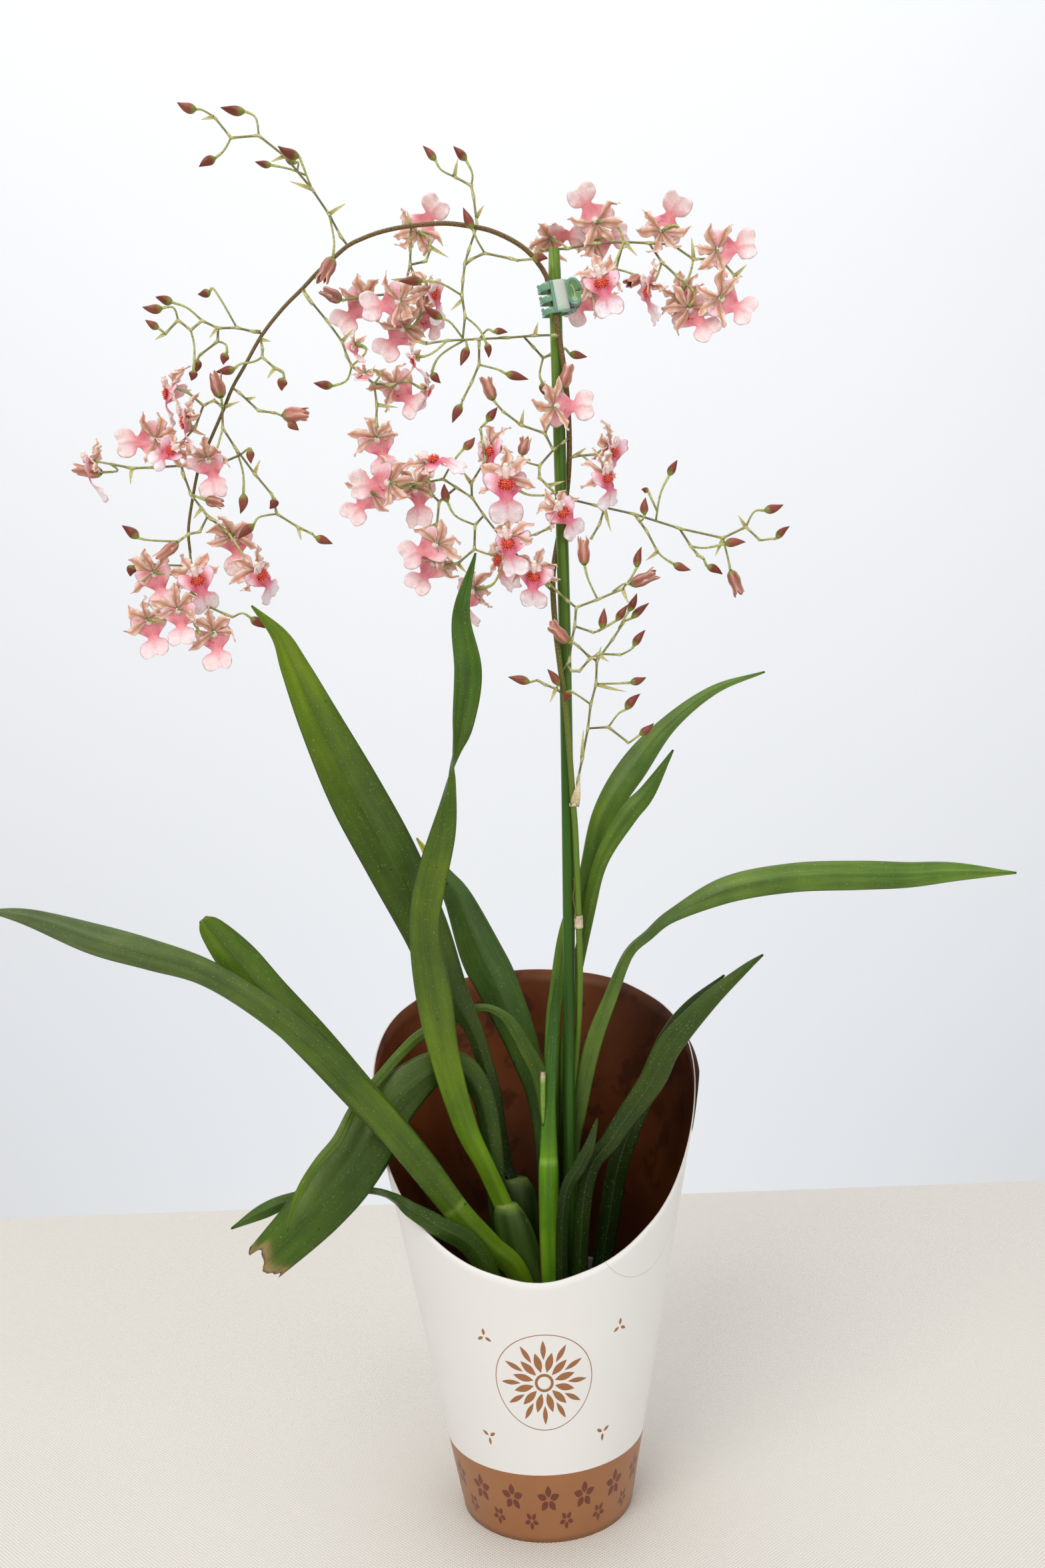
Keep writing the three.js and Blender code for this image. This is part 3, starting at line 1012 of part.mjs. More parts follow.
const frontKnuckles = [[CLIP_BOTTOM, SPRING_BOTTOM - GAP], [KNUCKLE_TOP, CLIP_TOP]]
const rearKnuckles = [[KNUCKLE_BOTTOM + GAP, KNUCKLE_TOP - GAP]]
const frontJaw = jaw(FRONT_JAW, frontKnuckles, FRONT_JAW_DEPTHS)
const rearJaw = jaw(REAR_JAW, rearKnuckles, REAR_JAW_DEPTHS)
plant.add(meshOf('clip_front_jaw', leaning(frontJaw), COLOURS.clip, 0.35))
plant.add(meshOf('clip_rear_jaw', leaning(rearJaw), COLOURS.clip, 0.35))
plant.add(meshOf('clip_pin', leaning(clipPin()), COLOURS.steel, 0.3, 1))
plant.add(meshOf('clip_spring', leaning(clipSpring()), COLOURS.steel, 0.3, 1))

const roundSoilAndStems = union([roundSoil, roundStem, roundStake])
const roundSoilAndBulbs = union([roundSoil, roundBulbs])
for (const bulb of BULBS) {
  plant.add(meshOf(bulb.name, pseudobulb(bulb).subtract(roundSoilAndStems), COLOURS.bulb))
}
for (const [name, stations] of Object.entries(LEAVES)) {
  plant.add(meshOf(name, leaf(stations).subtract(roundSoilAndBulbs), COLOURS.leaf, 0.45))
}
plant.add(meshOf('shoot', shoot().subtract(roundSoilAndBulbs), COLOURS.shoot))
for (const [name, plan] of Object.entries(SPRAYS)) {
  plant.add(meshOf(name, spray(plan, roundStem), COLOURS.spray, 0.5))
}

export default plant
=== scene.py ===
"""The looks of a potted oncidium orchid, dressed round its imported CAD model.

Places on the plant are written on a front chart in millimetres: [x, z] as seen from one eye
point, which is also the camera's, and a depth y that carries the place along its line of
sight. A depth that is left out runs evenly between those given. Everything else is worked
out in millimetres too, and scaled to metres when a mesh is made.
"""

import math
import random

import bpy
import numpy as np
from mathutils import Matrix, Vector

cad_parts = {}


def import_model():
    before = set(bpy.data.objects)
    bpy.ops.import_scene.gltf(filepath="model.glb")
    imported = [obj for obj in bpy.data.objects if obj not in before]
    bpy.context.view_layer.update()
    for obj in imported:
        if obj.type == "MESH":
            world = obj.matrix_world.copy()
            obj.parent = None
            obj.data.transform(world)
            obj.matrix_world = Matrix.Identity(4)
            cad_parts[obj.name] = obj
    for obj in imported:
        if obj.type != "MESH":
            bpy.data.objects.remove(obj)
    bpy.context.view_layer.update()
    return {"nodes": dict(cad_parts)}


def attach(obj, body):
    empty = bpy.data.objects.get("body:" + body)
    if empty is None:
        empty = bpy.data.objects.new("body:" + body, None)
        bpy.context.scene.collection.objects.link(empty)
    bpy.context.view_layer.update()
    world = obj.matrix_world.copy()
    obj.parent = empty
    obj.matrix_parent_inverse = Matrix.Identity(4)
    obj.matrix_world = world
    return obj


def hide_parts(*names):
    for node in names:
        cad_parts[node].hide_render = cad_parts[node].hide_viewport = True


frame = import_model()

MM = 0.001
TURN = 2 * math.pi
EYE_DISTANCE = 775
EYE_HEIGHT = 465

# The flower stem and the stake: [x, z, y].
STEM = [
    [16.5, 92, 9], [17, 130, 9], [18.5, 170, 9], [20, 205, 9], [22.6, 238, 7], [25, 262, 2.4],
    [26.2, 285, -1.6], [26.4, 306, -3], [26.4, 330, -3.5], [26.2, 357, -4.3], [25.6, 372, -4.6],
    [24.5, 400, -5.2], [23.5, 420, -5.2], [21.5, 440, -5.2], [19.7, 460, -4.6], [18.9, 478, -3],
    [19.3, 490, 1], [21.5, 502, 4.6], [24, 513, 5.4], [27.2, 528, 5.2], [29.2, 545, 3], [29.6, 565, -1.5],
    [28.6, 585, -4.2], [26.2, 606, -5.2], [24.4, 618, -5.2], [22.5, 627, -5.2], [20.8, 635, -5.2],
    [16.5, 642, -5.2], [11.5, 647.7, -5.4], [4, 653, -5.6], [-6, 657.7, -6], [-16.4, 660.2, -6],
    [-28, 661.9, -6], [-40, 661.6, -6], [-51.6, 660.5, -6], [-62, 658.4, -6], [-70, 655.7, -6],
    [-76.5, 652.8, -6], [-84, 647, -6], [-91.9, 640.7, -6], [-99.5, 633.4, -6], [-109.7, 624.2, -6],
    [-121, 611.4, -6.5], [-131, 595.8, -7], [-137, 586.5, -7], [-141.8, 576.4, -7.5], [-148.8, 562.6, -8],
    [-155.6, 549, -8], [-160.6, 530, -8], [-163, 516.7, -8], [-162.7, 506, -8],
]

STAKE = [
    [15.5, 22, 0], [16.5, 120, 0], [18, 205, 0], [19.6, 260, 0], [21.2, 306, 0], [23.2, 400, 0],
    [24.2, 470, 0], [24.6, 540, 0], [24.9, 610, 0], [25.1, 648, 0],
]

# The side branches. A row of places is [x, z] or [x, z, y] each. Twigs are rows; a bud is its width and
# a row; a bloom is its turn, its rise, the angle of its lip, its size and a row; a bract is a foot and a tip.
SPRAYS = {
    "spray_top_left": {"twigs": [
        [[-76.5, 653], [-79.6, 657.4], [-84.8, 668], [-92.7, 680.5], [-105, 696.3], [-117.4, 706.6],
         [-131, 706], [-138.5, 716, -12]],
    ], "buds": [
        [5, [-138.5, 716], [-144.5, 720], [-147.1, 720], [-156.4, 723.6, -14]],
        [4.6, [-131, 706], [-134.5, 700], [-139.2, 696.7], [-147.5, 692.8, -18]],
        [4.8, [-117.4, 706.6], [-117.8, 715.8], [-123.5, 718.2], [-135.5, 720.5, -4]],
        [5, [-92.7, 680.5], [-95, 687], [-98, 696], [-108.5, 701.5, -16]],
        [3.6, [-95, 687], [-103, 690.5], [-112, 692.5], [-120, 694.4, -2]],
        [4.2, [-99.5, 688.8], [-98.3, 694], [-100.3, 693], [-105.5, 698, -1]],
        [7, [-84.8, 668], [-82.6, 655.4, -13], [-84, 647.5, -13.5], [-90.5, 636, -13.5]],
    ], "bracts": [
        [[-138.5, 716], [-145, 715]], [[-105, 696.3], [-112, 694]], [[-92.7, 680.5], [-103.3, 684.5]],
        [[-84.8, 668], [-76.4, 673]],
    ]},
    "spray_front_fan": {"twigs": [
        [[25.9, 605.5], [24.2, 606.4, -7.2], [14.2, 606.5, -7.6], [0, 605.9], [-13.2, 605.8], [-29.4, 605.6],
         [-39.2, 604.6, -12]],
        [[8.9, 605.9], [13.3, 600.9, -3], [17.9, 595.6, 3], [21.5, 596.9, 6], [29.2, 599.7, 8]],
        [[-21.6, 606.5], [-20, 616.9], [-21.2, 627.1], [-20.4, 634.3, -3], [-19.1, 642.3], [-16.9, 648.7],
         [-12.4, 660.2, 2.5], [-13.5, 674], [-14.5, 679.3], [-22.5, 683.8, 7]],
        [[-18.9, 641.7], [-16, 644.2], [-9.2, 647], [4.1, 643.8], [7.3, 642.9, -10]],
        [[-13.6, 605.8], [-13.6, 603.4], [-14, 593.4], [-18, 585], [-22.9, 576.4, -9]],
    ], "buds": [
        [4.2, [29.2, 599.7], [31.1, 597], [39.9, 595.2, 12]],
        [4.2, [17.9, 595.6], [15.5, 587.3], [17, 583.5, 2], [19, 576.4, 2]],
        [3.4, [-13.4, 605.8], [-9, 611], [-6.1, 608.9, -13], [0.9, 608.5, -13]],
        [4, [-22.5, 683.8], [-29.4, 687.1], [-31.5, 691.9], [-37.5, 699.1, 10]],
        [4.4, [-14.5, 679.3], [-13.2, 684.8], [-16.5, 691.4], [-22.6, 698.3, 3]],
        [4.6, [7.3, 642.9], [14.6, 643.4, -10.6], [22, 643.2, -10.6]],
        [4.6, [-9.2, 647], [-13, 653.8, -11], [-14.7, 658.7, -12], [-18.9, 669.2, -13]],
        [4.6, [-21.2, 627.1], [-32, 634.3], [-40.2, 634.7], [-52.2, 635, -14]],
        [3.6, [-20, 616.9], [-13, 611], [-9.9, 603.6, -14], [-9.1, 596.4, -14]],
        [4.4, [-21.6, 606.5], [-27.3, 614.8], [-31.4, 616.5], [-40.2, 622.9, -16]],
        [4.4, [-20.2, 605.7], [-19.4, 601.9], [-23.3, 593, -16]],
        [4.6, [-22.9, 576.4], [-23.6, 574.3], [-28.4, 565.4, -10]],
        [4.4, [-14, 593.3], [-4.5, 590.8], [-0.9, 588.5], [10.4, 585.3, -12]],
        [4.2, [-20.2, 605.7], [-28.5, 601.8], [-35.1, 597.1], [-37.7, 590.4], [-33.4, 585, -6]],
    ], "blooms": [
        [-95, -20, -105, 0.62, [-29.4, 605.6], [-35.4, 600.4], [-41.2, 598], [-45.9, 597.5, -15]],
    ], "bracts": [
        [[-22.5, 683.8], [-20.4, 692.5]], [[-12.5, 664], [-8.5, 670]], [[-20.8, 625], [-27, 620]],
        [[-39.2, 604.6], [-46, 606]], [[14.2, 606.5], [16, 613]],
    ]},
    "spray_under_arch": {"twigs": [
        [[-44.7, 661], [-45.3, 656, -2], [-45.6, 650.7, 1], [-46.1, 642.7, 2], [-48.3, 635.3], [-52, 630.5],
         [-57.7, 629], [-66.1, 628.5], [-80.8, 626.8, 2]],
        [[-46.1, 642.7], [-44.5, 638], [-46, 631], [-50, 627, 5]],
        [[-46.1, 642.7], [-38.2, 644.1], [-35.6, 650.3], [-37, 656, 6]],
        [[-44.5, 638], [-41, 632, 5], [-39, 622, 7], [-46, 613, 8]],
    ], "buds": [
        [6.5, [-80.8, 626.8], [-80.9, 626.7], [-89.9, 632.6, 0]],
    ], "blooms": [
        [180, 10, 50, 1, [-37, 656], [-40.3, 659.6, 9]],
        [175, 0, 190, 1, [-50, 627], [-53.6, 625.1, -4]],
        [180, 5, 225, 1, [-66.1, 628.5], [-70.7, 625, 6]],
        [60, 0, -30, 0.9, [-41, 632], [-36.5, 629, 1]],
        [150, 0, -30, 0.9, [-39, 622], [-42, 617.5, 18]],
        [180, 0, 230, 1, [-46, 613], [-51.5, 611.6, 10]],
    ], "bracts": [
        [[-45.1, 661.2], [-46.4, 668.5]], [[-36, 651], [-27, 645.5]], [[-48.3, 635.3], [-56, 636]],
    ]},
    "spray_arch_drop": {"twigs": [
        [[-99.5, 633.4], [-96.3, 627.4, -8], [-88.2, 617], [-81.3, 606.8], [-79.4, 599.8], [-77.2, 595],
         [-66.5, 585.9], [-65.6, 575.7], [-66.3, 567.8], [-65.1, 562.2, -6]],
        [[-66.5, 585.9], [-59, 585, -7], [-50, 587, -5], [-43.9, 583.3, -2]],
    ], "buds": [
        [4.4, [-77.2, 595], [-79.4, 587.4], [-87.2, 585.6], [-96.7, 587.4, -12]],
    ], "blooms": [
        [165, 15, -80, 1, [-65.1, 562.2], [-66.2, 558, -5]],
        [170, 5, -50, 1, [-59, 585], [-55.1, 583.7, 1]],
        [-120, -10, -80, 0.5, [-77.2, 595], [-70, 600.5], [-69.4, 604], [-75, 604.6, -14]],
        [180, -50, -95, 0.5, [-66.5, 585.9], [-62, 591], [-66, 593], [-71.4, 590.6, -13]],
        [100, -20, -40, 0.62, [-46, 584.7], [-43.9, 583.3], [-40.5, 582, -3]],
    ], "bracts": [
        [[-99.5, 633.4], [-95.5, 624.5]], [[-81.3, 606.8], [-75.3, 613]], [[-65.6, 575.7], [-55, 574]],
    ]},
    "spray_top_right": {"twigs": [
        [[14.5, 644.3], [16.4, 646.6, -4], [19.6, 647.4, 2], [24, 647.6, 6], [32, 647.7, 7], [45.5, 649.8],
         [59.6, 649.9], [72, 648.9], [83.2, 647.9], [93.8, 640.4], [106.8, 640.3], [114, 631.7, 2]],
        [[72, 648.9], [78.1, 639.5], [85.6, 632.4], [93.7, 625, -2]],
        [[59.5, 650], [55.3, 637], [49.1, 632], [46, 627.6, 10]],
    ], "buds": [
        [5.5, [55.3, 637], [60.5, 635.7], [66.5, 633, 4], [61, 629, -2]],
    ], "blooms": [
        [-170, 50, -10, 1, [32, 647.7], [28, 651], [25.1, 653, 13]],
        [175, 10, 120, 1, [59.3, 650.3], [58.2, 656], [53, 659.6], [45.4, 661.3, 6]],
        [180, 0, 10, 0.9, [55, 650], [51, 653, 14], [46.8, 651, 17]],
        [0, 5, -75, 1, [59.5, 650], [55, 640, -4], [50, 633, -10], [47.4, 631.5, -12]],
        [180, 0, 225, 1, [46, 627.6], [42, 625, 16]],
        [180, 5, 60, 1, [83.3, 648], [88, 656.2], [83.2, 657.5], [79.1, 655.6, 4]],
        [175, 0, 5, 1, [106.8, 640.3], [107.2, 644.8, 1]],
        [170, 0, -30, 1, [113.5, 631.5], [110.6, 621.6], [107.7, 620.7, -4]],
        [-80, 0, -60, 1, [78.1, 639.5], [75.6, 632.6], [72.4, 627.4, -2]],
        [175, 0, -50, 1, [93.7, 625], [94.1, 621], [91.8, 616, 3]],
        [180, 0, -20, 0.9, [93.5, 640], [92, 633], [87.8, 623, 9]],
    ], "bracts": [
        [[59.6, 649.9], [66, 643]], [[93.8, 640.4], [93, 651]], [[114, 631.7], [120, 637]],
    ]},
    "spray_left": {"twigs": [
        [[-121.3, 612.4], [-125, 613.3, -9], [-133.2, 615.5], [-142.4, 615.6], [-150.2, 619.5],
         [-156, 615.1], [-162, 620.2], [-168.7, 613.9, -12]],
        [[-142.4, 615.6], [-143, 609.2], [-152.4, 602.8, -8]],
    ], "buds": [
        [4.2, [-133.2, 615.5], [-139.6, 628.2], [-144.3, 636], [-145.3, 633.5], [-151.6, 632.3, -6]],
        [4.4, [-143, 609.2], [-138.6, 608, -15], [-138.7, 603.3, -15], [-140.8, 597.8, -15]],
        [4.4, [-152.4, 602.8], [-153.5, 600.8], [-155.5, 594, -8]],
        [4.6, [-150.2, 619.5], [-157, 626.4], [-164.3, 628.8], [-172.6, 631.8, -6]],
        [4.2, [-156, 615.1], [-154.3, 607.3], [-155.8, 595.6, -16], [-157.3, 590.6, -16]],
        [4.6, [-162, 620.2], [-163.4, 627.2], [-169.4, 626.3], [-179.4, 627.2, -16]],
        [4, [-168.7, 613.9], [-171.9, 616.6], [-178.3, 620.9, -13]],
    ], "bracts": [
        [[-121.5, 613], [-128, 614.2]], [[-142.4, 615.6], [-147, 611]], [[-168.7, 613.9], [-174, 611]],
    ]},
    "twig_left_pair": {"twigs": [
        [[-121.8, 610.2], [-121, 605, -10], [-121.4, 600.8, -12], [-115.2, 595.2], [-111.2, 593, -10]],
    ], "buds": [
        [5, [-111.2, 593], [-111, 590.3], [-112.5, 584, -10]],
        [4.4, [-121.4, 600.8], [-125.7, 598.5, -12], [-132.8, 598.2, -12], [-135.2, 595.8],
         [-145, 594.5, -12]],
    ], "bracts": [
        [[-121.6, 609.5], [-116.5, 608.3]], [[-115.2, 595.2], [-119.5, 590.3]],
    ]},
    "twig_left_inner": {"twigs": [
        [[-137, 586.5], [-133.7, 584, -8], [-124.6, 574.9], [-116.4, 573.5, -8]],
    ], "buds": [
        [7.5, [-116.4, 573.5], [-112.8, 572], [-100.7, 572.8, -8]],
        [4.5, [-112.8, 572], [-110, 569], [-105, 564.5, -8]],
    ], "bracts": [
        [[-130, 580.5], [-125.5, 581.6]],
    ]},
    "spray_lower_left": {"twigs": [
        [[-141.8, 576.4], [-142.5, 577.5, -10.5], [-146.5, 580.7], [-151.9, 578.4], [-159.4, 585.2],
         [-162.9, 586.5, -12]],
        [[-151.9, 578.4], [-156.5, 568], [-164, 560.5], [-168, 560, -12]],
        [[-142.5, 577.5], [-142.9, 567, -12], [-137.1, 557], [-128.2, 544], [-120.1, 533.5], [-118.2, 523.9],
         [-107.5, 516.7], [-100.7, 513.3, -8]],
        [[-135, 553.5], [-143.6, 550.4, -13], [-157.2, 550, -13], [-164.5, 549.3], [-178.3, 549],
         [-189, 549], [-199.8, 551.4, -14]],
        [[-164.5, 549], [-163.9, 545.7, -13], [-160.6, 535, -13], [-155.6, 527.9], [-152.9, 524],
         [-143.3, 515.6, -10]],
        [[-152.9, 524], [-157.3, 516.4, -13], [-162.9, 515.5, -13], [-168.4, 512, -13]],
    ], "buds": [
        [7, [-142.5, 577.5], [-142.8, 581.9, -14], [-146, 594, -12]],
        [4.4, [-100.7, 513.3], [-99.4, 511.5], [-90.8, 508, -7]],
        [4, [-135, 553.5], [-129.8, 557.3], [-129.4, 556], [-129.7, 549, -14]],
        [4.4, [-120.1, 533.5], [-118.6, 531], [-121.8, 526.5, -14]],
        [4.6, [-118.2, 523.9], [-127.9, 523], [-130, 519], [-138.5, 511.9, -16]],
        [4.6, [-137.1, 557], [-133.5, 545], [-134.3, 534.5], [-136.5, 524.5, -9]],
        [6.5, [-199.8, 551.4], [-194.9, 547.5], [-204.4, 547.5], [-217.4, 549, -10]],
        [5.5, [-160.6, 535], [-153.4, 532, -16], [-145.1, 530.1, -16]],
        [5.5, [-168.4, 512], [-168.7, 511.5], [-179.2, 503.6, -17]],
        [5, [-168.4, 512], [-183, 513], [-188.3, 514.4], [-196.2, 521, -13]],
    ], "blooms": [
        [-80, 10, 215, 1, [-162.9, 586.5], [-167.6, 586, -12]],
        [180, 0, 185, 1, [-168, 560], [-178.4, 562.9, -8]],
        [10, 0, 215, 0.7, [-164.5, 549.5], [-166.9, 553, -14], [-169, 557, -17]],
        [-80, 0, -70, 1, [-154.3, 573], [-157, 573], [-160.2, 571.9, -17]],
        [170, 20, -85, 1, [-142.9, 567], [-147.6, 552.8], [-151, 550.8, -16]],
        [-80, 0, -100, 1, [-199.8, 551.4], [-205.6, 552.7], [-208.8, 551, -24]],
        [180, 20, -85, 1, [-143.3, 515.6], [-140.5, 512, -6]],
        [50, 0, -35, 1, [-143.3, 515.6], [-136.9, 506.2], [-134.8, 499.6], [-129.5, 494.8, -10]],
    ], "bracts": [
        [[-142, 577], [-133.5, 579.8]], [[-107.5, 516.7], [-106.6, 510.4]], [[-128.2, 544], [-125, 551]],
        [[-189, 549], [-190.5, 541]], [[-155.6, 527.9], [-160, 523]], [[-152.9, 524], [-147, 521]],
    ]},
    "spray_tip": {"twigs": [
        [[-162.9, 508.5], [-162.5, 500, -9], [-163.3, 492], [-163, 486.3, -8], [-159.3, 482.8],
         [-157.3, 480.1], [-146.2, 474.6], [-142.9, 473.3, -6]],
        [[-157.3, 480.1], [-162, 479], [-165, 477.3, -8], [-170.3, 475.6], [-176.4, 473.6],
         [-181.3, 473, -9]],
        [[-165, 477.3], [-162.2, 470.3], [-160.3, 466], [-156.6, 462.6, -8]],
    ], "buds": [
        [4.6, [-142.9, 473.3], [-138, 475.7], [-134.1, 472.5], [-127, 467.1, -6]],
        [5, [-163, 500], [-170, 500, -4], [-184, 501.5], [-191.4, 500.8], [-193.5, 495.4, -4]],
    ], "blooms": [
        [180, 0, -75, 1, [-163.3, 495.5], [-170, 495.2], [-181.3, 495.6, -5]],
        [20, 0, -70, 1, [-163.3, 492], [-160.5, 493.5, -13]],
        [180, 0, -85, 0.95, [-165, 477.3], [-170.5, 476.9, -12]],
        [180, 0, -78, 1, [-181.3, 473], [-185.6, 471.9, -6]],
        [180, 0, -82, 1, [-156.6, 462.6], [-152.9, 464.6, -9]],
    ], "bracts": [
        [[-161, 467], [-166.1, 464.7]],
    ]},
    "spray_centre_left": {"twigs": [
        [[19, 479.5], [15.5, 484, -6.5], [7.8, 492.3], [-3.6, 504.7], [-14.5, 519.4], [-20.1, 528.5],
         [-27.7, 533.7], [-34.1, 538.1], [-45, 536.4], [-57, 536, -10]],
        [[-27.7, 533.7], [-36.6, 527], [-38.2, 515.8], [-37.5, 510, -6]],
        [[-36.6, 527], [-40.5, 531], [-41.5, 538, -14]],
        [[-14.5, 519.4], [-19.1, 514.8], [-19.9, 502.8], [-28.4, 496.1], [-38, 495.3, -6]],
        [[-20.1, 528.5], [-20.1, 535.6], [-12.8, 546.5], [-13.7, 555.9], [-14.6, 562.4, -10]],
    ], "buds": [
        [4.4, [-34.1, 538.1], [-29, 546.5], [-23.4, 552.6, -14], [-17.4, 558.1, -15]],
        [4.4, [-19.1, 514.8], [-29.5, 519.3], [-32.4, 526.7], [-33.7, 535.9, -16]],
        [4.4, [-14.6, 562.4], [-11, 565.7], [-5.6, 572.4, -10]],
    ], "blooms": [
        [180, 0, 185, 1, [-57, 536], [-62.7, 537.3, -10]],
        [180, 0, 230, 0.95, [-50.4, 535.5], [-63, 532, 0], [-71.6, 531.6, 4]],
        [160, 20, -90, 1, [-45, 536.4], [-48.3, 532.7, -1]],
        [180, 0, 200, 1, [-37.5, 510], [-40, 505.4, -9]],
        [0, 60, -15, 1, [-41.5, 538], [-40.4, 546.3, -18]],
        [-60, 0, -60, 1, [-19.9, 502.8], [-12, 499.5], [-6.7, 498.4, 6]],
        [180, 0, 230, 0.95, [-38, 495.3], [-41, 496, -3]],
        [-45, 0, -80, 0.95, [-12.8, 546.5], [-9.8, 552, -7]],
        [-120, 0, 220, 1, [-4, 504], [-7, 492, 0], [-11, 484, 4], [-21.4, 481.3, 4]],
    ], "bracts": [
        [[-38.2, 515.8], [-46.5, 513.5]], [[-28.4, 496.1], [-24, 491]], [[-20.1, 535.6], [-24.3, 542]],
    ]},
    "spray_centre": {"twigs": [
        [[29.3, 556], [27.2, 554.5, -3.5], [21.4, 550.4, -6], [17.5, 558.7], [5.9, 563.2],
         [-3.3, 570.5, -4]],
        [[17.5, 558.7], [19, 562], [22, 567, -9]],
        [[21.4, 550.4], [14.2, 542.9], [14, 537], [18, 533], [22.1, 528.5, -8]],
        [[22.1, 528.5], [22.3, 516, -8], [18, 512], [11, 509, -10]],
    ], "buds": [
        [6, [-3.3, 570.5], [-7.6, 575.9], [-11.6, 587.5, -3]],
        [6, [22, 567], [26.5, 577, -10.5], [27, 580.5, -11], [31, 591, -11.5]],
        [5.5, [14.2, 542.9], [7, 545], [5.5, 548.5], [8.5, 557, -9]],
    ], "blooms": [
        [180, 0, 0, 1, [22, 567], [24.5, 571.7, -13]],
        [0, 0, -90, 1.15, [21.5, 529.5], [16, 528], [5, 529], [-2.6, 536.1, -21]],
        [20, 0, -50, 0.9, [22.2, 522], [24, 520.2, -13]],
        [-30, 0, -85, 1, [11, 509], [4, 508], [-1.9, 506.5, -19]],
    ], "bracts": [
        [[5.9, 563.2], [7.5, 571]], [[18, 533], [27, 535, -9]],
    ]},
    "pair_right": {"twigs": [
        [[29.2, 546], [32, 547, 1], [42, 547.5, -2]],
    ], "blooms": [
        [70, 0, -60, 0.95, [42, 547.5], [50.1, 549.8, 1]],
        [40, 0, -65, 0.95, [36, 547], [43, 541], [46.6, 536.9, -10]],
    ], "bracts": [
        [[32, 547], [38, 551]],
    ]},
    "spray_right": {"twigs": [
        [[27.4, 529], [30, 525.6, 4], [41.9, 522.3], [60.9, 517.4], [83.4, 509.5], [105.2, 503.9],
         [116.9, 509], [123.9, 502, -8]],
        [[83.4, 509.5], [89, 500.4], [92.6, 495.6], [95.1, 494.2, -4]],
        [[46.1, 521], [43.4, 513], [38.8, 505.8, -2]],
        [[60.9, 517.4], [63.3, 514.1], [67.1, 508.5], [72.1, 498.4, -4]],
    ], "buds": [
        [4.6, [116.9, 509], [121, 517.4], [126.2, 516.8], [136, 519.4, -6]],
        [3.8, [123.9, 502], [129, 502.6], [132.2, 502.6], [139, 508.6, -9]],
        [6, [105.2, 503.9], [107.8, 492.6], [108.6, 487.6], [113.6, 475, -8]],
        [4.2, [95.1, 494.2], [96.8, 490.1], [104.7, 485.7, -4]],
        [4.6, [89, 500.4], [95.7, 498.9], [106, 500.9, -10], [116.7, 501.5, -13]],
        [4.2, [71.8, 514.2], [74.1, 527.4], [78.9, 535.8], [83.3, 543.4, 2]],
        [3, [72.6, 518], [68.3, 528.4], [64.8, 529.4, 4]],
        [4.2, [63.3, 514.1], [65, 514, -5], [66.2, 516.9, -7], [66.9, 525.5, -8]],
        [4.2, [72.1, 498.4], [74.6, 495.4], [80.1, 491.9], [88.8, 488.5, -9]],
    ], "bracts": [
        [[46.1, 521], [49, 509]], [[105.2, 503.9], [101, 495]], [[116.9, 509], [113, 515]],
        [[72.1, 498.4], [66, 494]],
    ]},
    "spray_lower_front": {"twigs": [
        [[22.5, 440.5], [26, 445, -7.2], [27.4, 454.8, -7.2], [29.3, 462.5], [30.3, 471.9], [41.3, 475.5],
         [54, 480.3, -10]],
        [[30.3, 471.9], [26.3, 475.2, -8], [20.7, 480.6, -10]],
        [[29.3, 462.5], [39, 458.9, -9]],
        [[24.7, 443.4], [27, 440, -7.6], [30.9, 439.8], [36.3, 445.6], [40.8, 448.1], [52.4, 447.3, -11]],
    ], "buds": [
        [6, [41.3, 475.5], [38.8, 480.9], [36.4, 486.7], [35.2, 492.9], [34.7, 506.6, -8]],
        [6.2, [49, 479], [54.9, 483.4], [58, 482.4], [71.6, 487.4, -13]],
        [4.2, [54, 480.3], [58.4, 485.5], [61.6, 490.8], [64.2, 501.1, -7]],
        [4.4, [39, 458.9], [43.1, 460.7], [44.5, 471.2, -8]],
        [4, [41, 459.4], [50.5, 464.6], [56.4, 472.4, -12]],
        [4, [52.4, 447.3], [57.8, 449.8], [58.8, 451.4], [65, 459.4, -12]],
    ], "blooms": [
        [-15, 0, -100, 0.95, [20.7, 480.6], [10.1, 489.3, -15]],
    ], "bracts": [
        [[54, 480.3], [57, 472.6]], [[40.8, 448.1], [46, 444]],
    ]},
    "spray_lowest": {"twigs": [
        [[25.8, 371], [28.5, 385, -3.5], [30.9, 395], [34.3, 410.5], [36.1, 422.7], [39.2, 433],
         [39.9, 444.6], [48.3, 455.3], [54.5, 464.1, 4]],
        [[39.9, 444.6], [35.7, 447.3, -3], [30.7, 452.4, -11], [27.8, 454.7, -12]],
        [[34.3, 410.5], [44.8, 410.8], [54.9, 402.3, 2]],
    ], "buds": [
        [4, [54.5, 464.1], [58.3, 465.5], [67.3, 472.9, 8]],
        [4, [51.4, 460.4], [56.7, 469], [61.2, 478, 3]],
        [6, [27.8, 454.7], [25.6, 454.3], [17.2, 464.3, -13]],
        [4.2, [39.2, 433], [50.1, 432.8], [56.6, 433], [64.8, 435.4, 4]],
        [4.2, [36.1, 422.7], [29.9, 427.5, -6], [25.8, 430, -9.5], [22.8, 424.4, -10]],
        [4.6, [44.8, 410.8], [50, 417.8], [54, 419.4], [61.6, 427.2, 0]],
        [4.2, [54.9, 402.3], [58.4, 404.6], [60.6, 406.3], [68, 412, 0]],
    ], "bracts": [
        [[30.9, 395], [32, 410, -5]], [[39.2, 433], [54.5, 428.5, -2]], [[39.9, 444.6], [42.5, 452]],
    ]},
    "twig_low_buds": {"twigs": [
